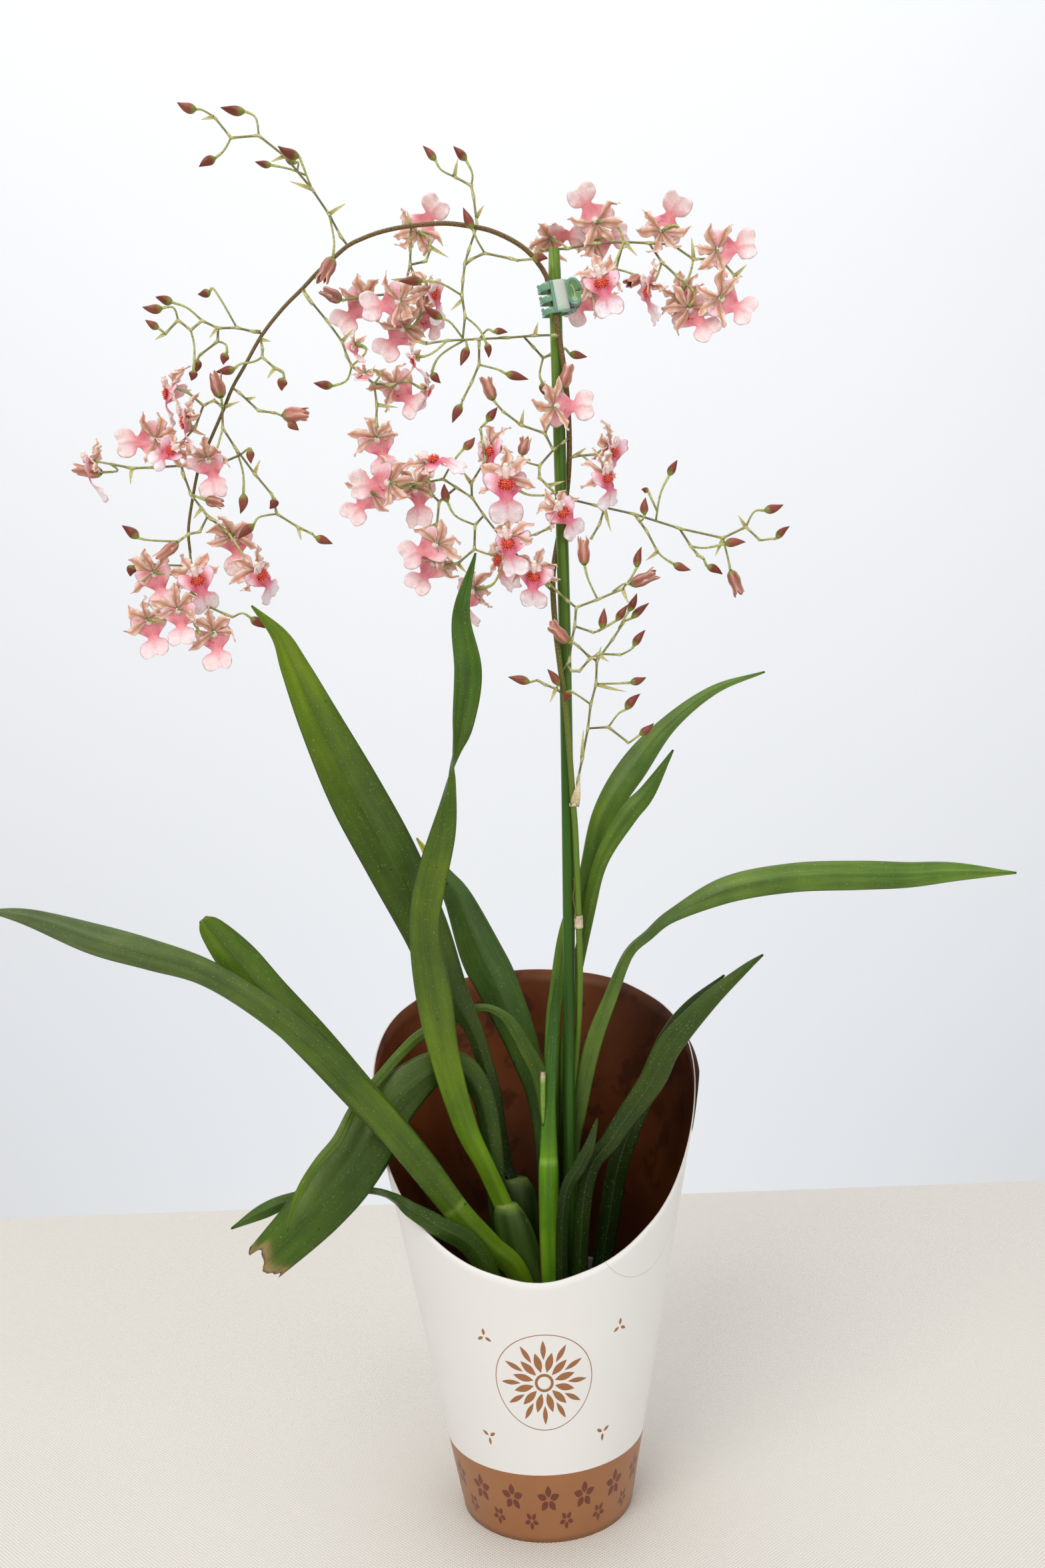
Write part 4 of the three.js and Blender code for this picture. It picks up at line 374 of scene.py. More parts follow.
        [[22.6, 428], [18.7, 431.3, -7.5], [13.2, 433.6], [9.4, 436, -9]],
    ], "buds": [
        [4.2, [18.7, 431.3], [20.1, 433, -9], [14.6, 441.4, -11]],
        [4.6, [9.4, 436], [5.5, 435], [-5.4, 438.1, -10]],
    ], "bracts": [
        [[18.7, 431.3], [15.5, 424.5]],
    ]},
}

# The leaves: [x, z, width, y], and the blade's turn in degrees where it has one.
LEAVES = {
    "leaf_left_long": [
        [0, 76, 9, -23], [-11, 121, 12, -27], [-26, 138.5, 13, -32], [-42, 157.6, 13.4, -38],
        [-62.7, 188, 15, -46], [-86.6, 219, 14.5, -53], [-113, 248.6, 13, -59], [-140, 272.8, 12.5, -64],
        [-167.6, 291.3, 12.5, -68], [-195.5, 301.7, 14.5, -71], [-224, 311, 14.5, -73],
        [-257, 323.5, 8, -75], [-279, 328, 1, -76],
    ],
    "leaf_left_round": [
        [-12, 76, 8, -14], [-26, 134, 10, -20], [-46, 162, 12, -27], [-66, 193, 15, -35],
        [-90, 223, 17, -43], [-112.8, 251.5, 19, -49], [-135.6, 278, 20, -55], [-150.3, 297.4, 19, -58],
        [-163, 314, 12, -60], [-167.3, 319.4, 4, -61],
    ],
    "leaf_left_broad": [
        [-12.5, 170, 8, 2], [-18.5, 187, 10.5, 2], [-21.6, 220, 9.5, 0], [-25.6, 239, 9, -1, 10],
        [-30.8, 256, 10, -2, 20], [-42.7, 279, 19, -4, 10], [-53.7, 311.7, 24.5, -7], [-68.9, 347, 28.5, -9],
        [-85.4, 381.4, 28, -10], [-101.5, 418, 21.5, -12], [-113, 446.4, 14.5, -13], [-120, 463, 8.5, -14],
        [-133.4, 478.7, 1, -16],
    ],
    "leaf_twisted": [
        [-16.6, 157, 10, -12], [-26.4, 181.4, 10, -17], [-36.3, 204.6, 12.4, -21], [-45, 239.4, 15, -25],
        [-49.8, 274, 18.2, -28], [-53.3, 308, 15, -30], [-49.6, 332, 15.5, -31], [-42.4, 360, 13.5, -32, 20],
        [-37.6, 385, 9, -32, 60], [-36.1, 393, 8.5, -32, 90], [-33.8, 402, 9, -32, 120],
        [-29.9, 415.7, 12, -31, 155], [-25.5, 442, 13.5, -29, 180], [-27.8, 471, 8.5, -27, 180],
        [-19.4, 501, 1, -25, 180],
    ],
    "leaf_back_broad": [
        [6, 90, 8, 16], [5, 160, 8, 17], [2.6, 211.5, 10, 19], [-4, 243.6, 17, 22], [-16.5, 278, 22.6, 25],
        [-24.5, 296, 23, 27], [-34.8, 324, 15.5, 29], [-42, 336.5, 10.5, 30], [-55.3, 357.4, 1, 31],
    ],
    "leaf_thin_arching": [
        [8, 90, 6, 2], [8.5, 170, 7, 2], [6.5, 212, 9, 2], [3.2, 231, 9, 2], [-3.5, 245.4, 8, 2],
        [-8.5, 255, 7, 2], [-14.5, 263, 5, 3], [-24.6, 267.5, 4, 5], [-38, 263.6, 5.5, 5],
        [-56.3, 254.7, 6, -1], [-67.4, 245.6, 5.5, -13], [-82.4, 229.6, 5, -26], [-94.5, 216, 4.5, -34],
        [-103.3, 199.8, 5.5, -41], [-113.8, 188.1, 5, -46], [-123.1, 174.9, 4.5, -49],
        [-128.7, 163.6, 2.5, -50], [-132.5, 150.8, 1, -50],
    ],
    "leaf_torn": [
        [-16, 90, 8, -4], [-21, 160, 10, -6], [-26, 212, 13, -9, 30], [-36.5, 233, 17, -12, 30],
        [-52, 234.5, 19, -16, 20], [-72.5, 219, 26, -23, 10], [-85, 202.5, 30, -29],
        [-100.5, 180.5, 30.5, -35], [-113, 166, 29, -39], [-124, 154.5, 26.5, -42], [-136, 143, 23.5, -43],
        [-149.5, 130.5, 20, -44],
    ],
    "leaf_over_front": [
        [-15, 76, 8, -34], [-31.8, 133, 12, -44], [-53.4, 151, 10, -53], [-67.9, 161, 7.5, -53],
        [-76, 166.5, 6, -44, 40], [-85.5, 170.2, 6, -28, 60], [-104, 171.5, 6, -24, 50],
        [-128, 168, 7, -24, 20], [-145, 162, 7.5, -25], [-162, 153.3, 1, -26],
    ],
    "leaf_right_tall": [
        [8, 90, 8, 10], [8.5, 200, 8, 10], [11, 254, 8, 10], [14, 275, 8, 11], [20, 306, 8, 12],
        [31.8, 332.5, 11, 13], [41.3, 365.5, 13, 15], [57, 390, 15, 17], [76, 411.7, 9, 19],
        [99.4, 428, 5, 21], [125, 436, 1, 22],
    ],
    "leaf_right_inner": [
        [12, 90, 6, 14], [13, 200, 6, 14], [20, 262, 6, 11], [31.6, 315, 6.5, 6], [39, 342, 7.5, 5],
        [53, 365, 10.5, 5], [63.5, 376.5, 8.5, 5], [77.5, 398, 1, 5],
    ],
    "leaf_right_long": [
        [14, 90, 7, 5.5], [18, 180, 8, 5.5], [24, 212.5, 8, 5], [31.5, 245, 9, 2], [41, 270, 7.5, -2, 20],
        [50.8, 293, 7, -6, 45], [61.6, 303, 7, -9, 45], [74.7, 313, 8, -12, 30], [103, 324.6, 13.5, -14],
        [137, 329.7, 14.8, -17], [171, 329.7, 14.8, -20], [196, 329, 13, -22], [221, 329.7, 9.5, -24],
        [252.6, 328, 1, -27],
    ],
    "leaf_right_low": [
        [18, 76, 8, -14], [25.3, 168, 8.5, -18], [40.5, 195, 10, -22], [61.2, 224, 13, -27],
        [71.6, 243.5, 12.5, -30], [92, 266, 9, -34], [111, 282.4, 4.5, -37], [121.3, 290, 1, -39],
    ],
    "leaf_right_back": [
        [26, 90, 9, 2], [37, 150, 11, 0], [43, 180, 11, -3], [52, 205, 11, -7], [62, 228, 11, -11],
        [72, 248, 11, -15], [84, 264, 8, -19], [101, 280, 1, -24],
    ],
    "leaf_small": [
        [10, 76, 6, -21], [13.3, 157, 6.5, -23], [23, 181, 7, -25], [27.6, 189.5, 6, -26],
        [32.8, 206, 1, -27],
    ],
}

# ---- places ---------------------------------------------------------------------------------


def place(x, z, y):
    scale = 1 + y / EYE_DISTANCE
    return np.array([x * scale, y, EYE_HEIGHT + (z - EYE_HEIGHT) * scale])


def world(line):
    return np.array([place(*p) for p in line])


def depth_at(point, lines):
    """Depth of the nearest place on the given chart lines."""
    nearest, depth = math.inf, 0.0
    for line in lines:
        for a, b in zip(line, line[1:]):
            step = (b[0] - a[0], b[1] - a[1])
            span = step[0] ** 2 + step[1] ** 2 or 1
            share = ((point[0] - a[0]) * step[0] + (point[1] - a[1]) * step[1]) / span
            share = min(max(share, 0), 1)
            distance = math.dist(point[:2], (a[0] + share * step[0], a[1] + share * step[1]))
            if distance < nearest:
                nearest, depth = distance, a[2] + share * (b[2] - a[2])
    return depth


def with_depths(points, lines):
    """Chart points with every depth filled in; a start that has none takes that of the lines."""
    filled = [list(p) for p in points]
    if len(filled[0]) < 3:
        filled[0].append(depth_at(points[0], lines))
    run = [0.0]
    for a, b in zip(filled, filled[1:]):
        run.append(run[-1] + math.dist(a[:2], b[:2]))
    known = [i for i, p in enumerate(filled) if len(p) == 3]
    depths = np.interp(run, [run[i] for i in known], [filled[i][2] for i in known])
    return [[p[0], p[1], float(y)] for p, y in zip(filled, depths)]


def spline(points, step):
    """Points on a smooth curve through the given ones, about a step apart."""
    points = np.asarray(points, float)
    ends = np.vstack([2 * points[0] - points[1], points, 2 * points[-1] - points[-2]])
    out = []
    for i in range(1, len(ends) - 2):
        p0, p1, p2, p3 = ends[i - 1:i + 3]
        count = max(int(np.linalg.norm((p2 - p1)[:3]) / step), 1)
        t = (np.arange(count) / count)[:, None]
        out.append(0.5 * (2 * p1 + (p2 - p0) * t + (2 * p0 - 5 * p1 + 4 * p2 - p3) * t ** 2
                          + (3 * p1 - p0 - 3 * p2 + p3) * t ** 3))
    return np.vstack(out + [points[-1:]])


def cut_corners(points, times=2):
    """The same path with each corner cut off, which leaves its ends in place."""
    points = np.asarray(points, float)
    for _ in range(times):
        near = 0.75 * points[:-1] + 0.25 * points[1:]
        far = 0.25 * points[:-1] + 0.75 * points[1:]
        middle = np.stack([near, far], axis=1).reshape(-1, points.shape[1])
        points = np.vstack([points[:1], middle[1:-1], points[-1:]])
    return points


def unit(vector):
    return vector / max(np.linalg.norm(vector), 1e-9)


def units(vectors):
    return vectors / np.maximum(np.linalg.norm(vectors, axis=-1, keepdims=True), 1e-9)


def distances(path):
    """How far along a path each of its points lies."""
    return np.concatenate([[0], np.cumsum(np.linalg.norm(np.diff(path, axis=0), axis=1))])


def around(sides):
    """Evenly spaced angles of one turn."""
    return np.arange(sides) * TURN / sides


def shares(rows, columns, low=-1, high=1):
    """Numbers from 0 to 1 down the rows of a grid, and from low to high across its columns."""
    return np.linspace(0, 1, rows)[:, None], np.linspace(low, high, columns)[None, :]


def rgb(*levels):
    """A display colour from 0 to 255 as linear light."""
    return np.array([((c / 255 + 0.055) / 1.055) ** 2.4 if c > 10 else c / 3294 for c in levels])


def blend(a, b, share):
    share = np.clip(np.asarray(share, float), 0, 1)[..., None]
    return a * (1 - share) + b * share


def bump(x, middle, width):
    return np.exp(-(((x - middle) / width) ** 2))


def smooth(low, high, x):
    t = np.clip((x - low) / (high - low), 0, 1)
    return t * t * (3 - 2 * t)


# ---- meshes ---------------------------------------------------------------------------------


def quads(sides, rings, first=0, stop=None):
    """Faces from each ring of points to the next. The one after the last is the first."""
    corners = (0, 0), (0, 1), (1, 1), (1, 0)
    return [[(i + row) % rings * sides + (j + column) % sides for row, column in corners]
            for i in range(first, rings - 1 if stop is None else stop) for j in range(sides)]


def closed(sides, rings):
    """The same for a solid, with a face at each end."""
    return quads(sides, rings) + [list(range(sides))[::-1], list(range((rings - 1) * sides, rings * sides))]


def per_point(values, count):
    """A row of values for each point, from one row for all of them or from a grid of rows."""
    values = np.asarray(values, float)
    width = values.shape[-1]
    return np.broadcast_to(values.reshape(-1, width), (count, width))


def made(name, data):
    """A new object in the scene."""
    thing = bpy.data.objects.new(name, data)
    bpy.context.scene.collection.objects.link(thing)
    return thing


class Skin:
    """Points, each with a tint and two marks, and faces, each with a material.

    The marks are how far across (-1 to 1) and how far along (mm) a point lies.
    """

    def __init__(self, *materials):
        self.materials = materials
        self.points, self.tints, self.marks = [], [], []
        self.faces, self.face_materials = [], []
        self.count = 0

    def join(self, faces, material):
        self.faces += faces
        self.face_materials += [self.materials.index(material)] * len(faces)

    def add(self, points, faces, tints, material, marks=(0, 0)):
        points = np.asarray(points, float).reshape(-1, 3)
        self.points.append(points)
        self.tints.append(per_point(tints, len(points)))
        self.marks.append(per_point(marks, len(points)))
        self.join([[v + self.count for v in face] for face in faces], material)
        self.count += len(points)

    def tube(self, path, radii, tints, material, sides=8, ridges=np.ones_like):
        """Rings round a path. Ridges, a function of the angle, swells or shrinks the ring."""
        path = np.asarray(path, float)
        rows = len(path)
        along = units(np.gradient(path, axis=0))
        across = unit(np.cross(along[0], [0.3, 1, 0.2]))
        angles = around(sides)
        points = []
        for centre, direction, radius in zip(path, along, np.broadcast_to(radii, (rows,))):
            across = unit(across - direction * across.dot(direction))
            up = np.cross(direction, across)
            ring = np.cos(angles)[:, None] * across + np.sin(angles)[:, None] * up
            points.append(centre + ring * (radius * ridges(angles))[:, None])
        faces = quads(sides, rows)
        for first, middle, order in ((0, rows * sides, -1), ((rows - 1) * sides, rows * sides + 1, 1)):
            faces += [[first + j, first + (j + 1) % sides, middle][::order] for j in range(sides)]
        tints, run = per_point(tints, rows), distances(path)
        marks = [[math.cos(a), r] for r in run for a in angles] + [[0, 0], [0, run[-1]]]
        self.add(np.vstack([*points, path[[0, -1]]]), faces,
                 np.vstack([np.repeat(tints, sides, axis=0), tints[[0, -1]]]), material, marks)

    def sheet(self, grid, thickness, tints, material, marks=(0, 0), behind=None):
        """A thin blade: a grid of places on its middle surface, thinning to nothing at its rim."""
        rows, columns = grid.shape[:2]
        count = rows * columns
        normals = units(np.cross(np.gradient(grid, axis=0), np.gradient(grid, axis=1)))
        offset = normals * thickness / 2
        inside = np.pad(np.ones((rows - 2, columns - 2), bool), 1)
        inner = np.flatnonzero(inside)
        front = np.where(inside[..., None], grid + offset, grid).reshape(-1, 3)
        back = (grid - offset).reshape(-1, 3)
        behind_index = np.arange(count)
        behind_index[inner] = count + np.arange(len(inner))
        faces = []
        for i in range(rows - 1):
            for a in range(i * columns, (i + 1) * columns - 1):
                b, c, d = a + 1, a + columns + 1, a + columns
                faces += [[a, d, c, b], behind_index[[a, b, c, d]].tolist()]
        behind = per_point(tints if behind is None else behind, count)
        marks = per_point(marks, count)
        self.add(np.vstack([front, back[inner]]), faces, np.vstack([per_point(tints, count), behind[inner]]),
                 material, np.vstack([marks, marks[inner]]))

    def piece(self, name, replaced, body="plant"):
        """Makes the mesh and its object, dressed in place of CAD nodes."""
        mesh = bpy.data.meshes.new(name)
        mesh.from_pydata((np.vstack(self.points) * MM).tolist(), [], self.faces)
        for material in self.materials:
            mesh.materials.append(MATERIALS[material])
        mesh.polygons.foreach_set("material_index", self.face_materials)
        mesh.polygons.foreach_set("use_smooth", [True] * len(self.faces))
        tint = mesh.attributes.new("tint", "FLOAT_COLOR", "POINT")
        tint.data.foreach_set("color", np.hstack([np.vstack(self.tints), np.ones((self.count, 1))]).ravel())
        for key, values in zip(("across", "along"), np.vstack(self.marks).T):
            mark = mesh.attributes.new(key, "FLOAT", "POINT")
            mark.data.foreach_set("value", values.copy())
        mesh.update()
        thing = made(name, mesh)
        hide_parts(*replaced)
        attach(thing, body)


# ---- materials ------------------------------------------------------------------------------

MATERIALS = {}


class Nodes:
    """A material, kept in MATERIALS by its name, and its nodes, made one line each."""

    def __init__(self, name, **sockets):
        material = MATERIALS[name] = bpy.data.materials.new(name)
        material.use_nodes = True
        self.tree = material.node_tree
        self.shader = self.tree.nodes["Principled BSDF"]
        for key, value in sockets.items():
            self.put(self.shader.inputs[key.replace("_", " ")], value)

    def put(self, socket, value):
        """Fills a socket with an output, a colour or a number."""
        if isinstance(value, bpy.types.NodeSocket):
            self.tree.links.new(value, socket)
        else:
            socket.default_value = (*value, 1) if socket.type == "RGBA" else value

    def node(self, kind, sockets, **settings):
        node = self.tree.nodes.new("ShaderNode" + kind)
        for key, value in settings.items():
            setattr(node, key, value)
        for key, value in sockets.items():
            self.put(node.inputs[key], value)
        return node

    def attribute(self, name, output="Fac"):
        return self.node("Attribute", {}, attribute_name=name).outputs[output]

    def position(self):
        return self.node("TexCoord", {}).outputs["Object"]

    def split(self, vector):
        return self.node("SeparateXYZ", {0: vector}).outputs

    def math(self, operation, *values):
        return self.node("Math", dict(enumerate(values)), operation=operation).outputs[0]

    def times(self, a, b):
        return self.math("MULTIPLY", a, b)

    def noise(self, scale, detail=3.0, stretch=(1, 1, 1)):
        mapping = self.node("Mapping", {"Vector": self.position(), "Scale": stretch})
        sockets = {"Vector": mapping.outputs[0], "Scale": scale, "Detail": detail, "Roughness": 0.55}
        return self.node("TexNoise", sockets).outputs["Fac"]

    def noise_along(self, scale_across, scale_along, detail=2.0):
        """Noise drawn out along a blade, from its own marks."""
        place_ = self.node("CombineXYZ", {0: self.times(self.attribute("across"), scale_across),
                                          1: self.times(self.attribute("along"), scale_along)})
        sockets = {"Vector": place_.outputs[0], "Scale": 1.0, "Detail": detail}
        return self.node("TexNoise", sockets).outputs["Fac"]

    def ramp(self, value, *stops):
        """Stops are (place, shade), the shade a number or a colour."""
        node = self.node("ValToRGB", {0: value})
        elements = node.color_ramp.elements
        while len(elements) < len(stops):
            elements.new(0.5)
        for element, (place_, shade) in zip(elements, stops):
            element.position = place_
            element.color = (*np.broadcast_to(shade, 3), 1)
        return node.outputs[0]

    def mix(self, share, a, b, mode="MIX"):
        return self.node("Mix", {0: share, 6: a, 7: b}, data_type="RGBA", blend_type=mode).outputs[2]

    def tinted(self, *shades):
        """The piece's own tints, multiplied by the shades."""
        colour = self.attribute("tint", "Color")
        for shade in shades:
            colour = self.mix(1.0, colour, shade, "MULTIPLY")
        return colour

    def surface(self, colour, height=None, distance=0.0, strength=1.0):
        """The colour of the shader, and the relief that a height gives it."""
        self.put(self.shader.inputs["Base Color"], colour)
        if height is not None:
            relief = self.node("Bump", {"Height": height, "Distance": distance, "Strength": strength})
            self.put(self.shader.inputs["Normal"], relief.outputs[0])


# Noise, its two stops on the piece's tint, the noise, height and strength of the relief, and the shader.
TINTED = {
    "petal": ((900, 3), (0.3, 0.86), (0.7, 1.06), ((1800, 2), 0.00012, 0.5), dict(
        Roughness=0.5, Subsurface_Weight=0.35, Subsurface_Scale=0.0015, Subsurface_Radius=(1.0, 0.6, 0.5))),
    "stalk": ((1300, 3), (0.36, 0.55), (0.56, 1.05), ((1600, 2), 0.0001, 0.5), dict(Roughness=0.48)),
    "crest": ((2200, 2), (0.3, 0.7), (0.7, 1.15), None, dict(
        Roughness=0.35, Subsurface_Weight=0.15, Subsurface_Scale=0.001)),
    "papery": ((900, 4), (0.3, 0.7), (0.7, 1.1), None, dict(
        Roughness=0.7, Subsurface_Weight=0.2, Subsurface_Scale=0.001)),
    "bark": ((420, 5, (1, 1, 3)), (0.3, 0.5), (0.7, 1.4), ((420, 5, (1, 1, 3)), 0.0012, 0.8),
             dict(Roughness=0.9)),
    "clip_green": ((240, 3), (0.3, 0.84), (0.7, 1.1), ((500, 2), 0.0001, 0.4), dict(
        Roughness=0.16, Coat_Weight=0.4, Subsurface_Weight=0.15, Subsurface_Scale=0.002)),
}
# The same with two colours that the noise mixes.
MIXED = {
    "sleeve_edge": ((300, 3), (196, 182, 166), (228, 220, 210), None, dict(Roughness=0.7)),
    "clear_pot": ((40, 2), (214, 220, 220), (236, 240, 240), ((90, 3), 0.0006, 0.3), dict(
        Roughness=0.16, Transmission_Weight=0.85, IOR=1.46)),
    "clip_frost": ((500, 4, (1, 1, 0.2)), (176, 188, 176), (206, 214, 202),
                   ((700, 3, (1, 1, 0.2)), 0.0002, 0.6), dict(Roughness=0.6)),
    "steel": ((600, 2), (150, 150, 156), (196, 196, 200), None, dict(Roughness=0.3, Metallic=1.0)),
}


def simple_materials():
    for name, (grain, low, high, relief, sockets) in (TINTED | MIXED).items():
        m = Nodes(name, **sockets)
        if name in TINTED:
            colour = m.tinted(m.ramp(m.noise(*grain), low, high))
        else:
            colour = m.mix(m.noise(*grain), rgb(*low), rgb(*high))
        m.surface(colour, *([m.noise(*relief[0]), *relief[1:]] if relief else []))


def bud_material():
    m = Nodes("bud", Roughness=0.32, Specular_IOR_Level=0.35, Specular_Tint=(1.0, 0.86, 0.78))
    # Dark and pale streaks along the bud: its own streaking, and in the pale ones also a painted highlight.
    streaks_and_highlights = m.ramp(m.noise_along(7.0, 0.16), (0.32, (0.7, 0.62, 0.6)), (0.68, (1.45, 1.5, 1.4)))
    m.surface(m.tinted(streaks_and_highlights), m.noise(1500, 2), 0.00015, 0.5)


def stem_material():
    """Maroon specks drawn out along the stem: low down only at its left edge, above all over. High up, faces
    that look upward get a grey-green painted sheen.
    """
    m = Nodes("stem", Roughness=0.45, Specular_IOR_Level=0.35, Specular_Tint=(1.0, 1.0, 0.75))
    height = m.split(m.position())[2]
    left = m.ramp(m.attribute("across"), (0.3, 0.0), (0.85, 0.9))
    crowd = m.math("MAXIMUM", m.ramp(height, (0.35, 0.0), (0.46, 1.0)), left)
    speck = m.noise_along(5.0, 1.1, 3.0)
    mask = m.times(m.ramp(speck, (0.45, 0.0), (0.54, 1.0)), crowd)
    colour = m.mix(mask, m.attribute("tint", "Color"), m.mix(m.noise(160), rgb(72, 32, 26), rgb(98, 54, 34)))
    # Painted sheen: high up, the faces that look upward are tinted grey-green, as if lit from above.
    upward = m.split(m.node("NewGeometry", {}).outputs["Normal"])[2]
    green = m.times(m.ramp(upward, (0.05, 0.0), (0.6, 0.6)), m.ramp(height, (0.48, 0.0), (0.56, 1.0)))
    m.surface(m.mix(green, colour, rgb(104, 112, 72)), speck, 0.0002, 0.5)


def leaf_material():
    """Long fine veins, cloudy patches, a thin midrib line with painted shade along it, a thin margin that is
    partly painted highlight, pale dust and dark specks.
    """
    m = Nodes("leaf", Roughness=0.36, Specular_IOR_Level=0.3, Specular_Tint=(1.0, 1.0, 0.72))
    veins, cloud = m.noise_along(26.0, 0.012, 3.0), m.noise(24)
    patches = m.ramp(cloud, (0.32, (0.62, 0.68, 0.8)), (0.5, (0.95, 0.97, 1.0)), (0.7, (1.42, 1.28, 0.9)))
    colour = m.tinted(m.ramp(veins, (0.3, 0.86), (0.7, 1.12)), patches,
                      m.ramp(m.noise_along(2.2, 0.02), (0.3, 0.82), (0.7, 1.18)))
    reach = m.math("ABSOLUTE", m.attribute("across"))
    specks = m.node("TexVoronoi", {"Scale": 110, "Vector": m.position()}).outputs["Distance"]
    for mask, shade in (
            (m.ramp(reach, (0.0, 0.22), (0.03, 0.1), (0.055, 0.0)), rgb(104, 138, 64)),
            # Painted shade: darker along the midrib fold, fading out to each side.
            (m.ramp(reach, (0.04, 0.25), (0.16, 0.0)), rgb(22, 48, 14)),
            # The pale margin: partly the leaf's own yellowish edge, partly a painted highlight where the edge
            # catches light.
            (m.ramp(m.math("ADD", reach, m.times(m.noise(90), 0.03)), (0.975, 0.0), (1.0, 0.55)),
             rgb(112, 132, 66)),
            (m.ramp(m.math("ADD", specks, m.times(m.noise(60, 2), 0.35)), (0.2, 0.8), (0.235, 0.0)),
             rgb(44, 40, 18)),
            (m.ramp(m.noise(1300, 2), (0.66, 0.0), (0.71, 0.55)), rgb(150, 168, 128))):
        colour = m.mix(mask, colour, shade)
    m.put(m.shader.inputs["Roughness"], m.ramp(m.noise(70), (0.3, 0.3), (0.7, 0.46)))
    m.surface(colour, m.math("ADD", veins, m.times(cloud, 0.6)), 0.0003, 0.35)


def bulb_material():
    m = Nodes("bulb", Roughness=0.4, Specular_IOR_Level=0.3, Specular_Tint=(1.0, 1.0, 0.72))
    colour = m.tinted(m.ramp(m.noise(60, 4, (1, 1, 0.3)), (0.3, 0.62), (0.7, 1.25)))
    scars = m.ramp(m.noise(170, 4, (1, 1, 0.4)), (0.66, 0.0), (0.72, 0.6))
    m.surface(m.mix(scars, colour, rgb(120, 128, 84)), m.noise(240, 3, (1, 1, 0.3)), 0.0004, 0.4)


SLEEVE_FOOT_RADIUS = 45
SLEEVE_FLARE = 0.18
SLEEVE_WALL = 0.7
SLEEVE_BAND_TOP = 40.4
CARD_RELIEF = (0.0012, 0.25)
# The pitch and shift of a row of motifs and the height of its middle, then the number of petals,
# where they start and end, their width, and how far the motif is turned, in petals.
SLEEVE_SPRIGS = (74.0, 0.5, 60.0, 3, 0.6, 5.2, 1.0, 0.25), (74.0, 0.42, 118.0, 3, 0.6, 4.6, 0.9, 0.75)
SLEEVE_FLOWERS = (26.0, 0.0, 26.0, 5, 1.2, 8.2, 2.2, 0.25), (26.0, 0.5, 13.0, 5, 0.9, 5.6, 1.5, 0.75)
ROSETTE_MIDDLE = 94.0
ROSETTE_PETALS = (12, 6, 17.5, 2.0), (12, 13, 24, 1.4, 0.5)
ROSETTE_RINGS = (27.0, 0.5), (4.4, 1.6)  # radius and width of the line
CREASE_GIRTH, CREASE_ASIDE, CREASE_HEIGHT = 72.0, 58.0, 172.0  # radius there, and its middle
CREASE_RING = (30.0, 0.3)


def sleeve_outside_material():
    """Satin white card with a tan foot band, and plain ornament: a rosette, sprigs and a row of flowers; a
    thin dark ring is painted shade along a crease.
    """
    m = Nodes("sleeve_outside", Roughness=0.42, Coat_Weight=0.12, Coat_Roughness=0.3)
    x, y, z = m.split(m.position())
    turn = m.math("ARCTAN2", x, m.times(y, -1.0))
    height = m.times(z, 1000.0)
    girth = m.times(turn, SLEEVE_FOOT_RADIUS + 0.6 * SLEEVE_BAND_TOP)

    def minus(a, b):
        return m.math("SUBTRACT", a, b)

    def less(a, b):
        return m.math("LESS_THAN", a, b)

    def length(u, v):
        return m.math("SQRT", m.math("ADD", m.times(u, u), m.times(v, v)))

    def petals(u, v, count, inner, outer, width, spin=0.0):
        """Pointed petals round a middle; u and v are millimetres from it."""
        reach = length(u, v)
        angle = m.math("ADD", m.times(m.math("ARCTAN2", v, u), count / TURN), 10 + spin)
        aside = m.math("ABSOLUTE", minus(m.math("FRACT", angle), 0.5))
        aside = m.times(m.times(aside, reach), TURN / count)
        swell = m.math("SINE", m.times(minus(reach, inner), math.pi / (outer - inner)))
        within = m.times(less(reach, outer), m.math("GREATER_THAN", reach, inner))
        return m.times(less(aside, m.times(swell, width)), within)

    def ring(u, v, radius, width):
        return less(m.math("ABSOLUTE", minus(length(u, v), radius)), width / 2)

    def row(pitch, shift, middle, *sizes):
        """The same motif at an even pitch round the sleeve."""
        step = m.math("FRACT", m.math("ADD", m.math("DIVIDE", girth, pitch), 50.5 + shift))
        return petals(m.times(minus(step, 0.5), pitch), minus(height, middle), *sizes)

    def any_of(masks):
        first, *others = masks
        for mask in others:
            first = m.math("MAXIMUM", first, mask)
        return first

    v = minus(height, ROSETTE_MIDDLE)
    motifs = [petals(girth, v, *sizes) for sizes in ROSETTE_PETALS]
    motifs += [ring(girth, v, *sizes) for sizes in ROSETTE_RINGS]
    motifs += [row(*sizes) for sizes in SLEEVE_SPRIGS]
    tan = m.mix(m.noise(35, 4), rgb(150, 96, 54), rgb(168, 112, 68))
    russet = m.mix(m.noise(120), rgb(100, 42, 28), rgb(116, 56, 36))
    foot = m.mix(any_of([row(*sizes) for sizes in SLEEVE_FLOWERS]), tan, russet)
    # Painted shade: a thin dark ring along a crease in the card.
    aside = minus(m.times(turn, CREASE_GIRTH), CREASE_ASIDE)
    crease = ring(aside, minus(height, CREASE_HEIGHT), *CREASE_RING)
    white = m.mix(m.noise(9, 2), rgb(234, 232, 229), rgb(244, 242, 239))
    face = m.mix(any_of(motifs), m.mix(m.times(crease, 0.45), white, rgb(120, 104, 92)), tan)
    m.surface(m.mix(less(height, SLEEVE_BAND_TOP), face, foot), m.noise(14, 2), *CARD_RELIEF)


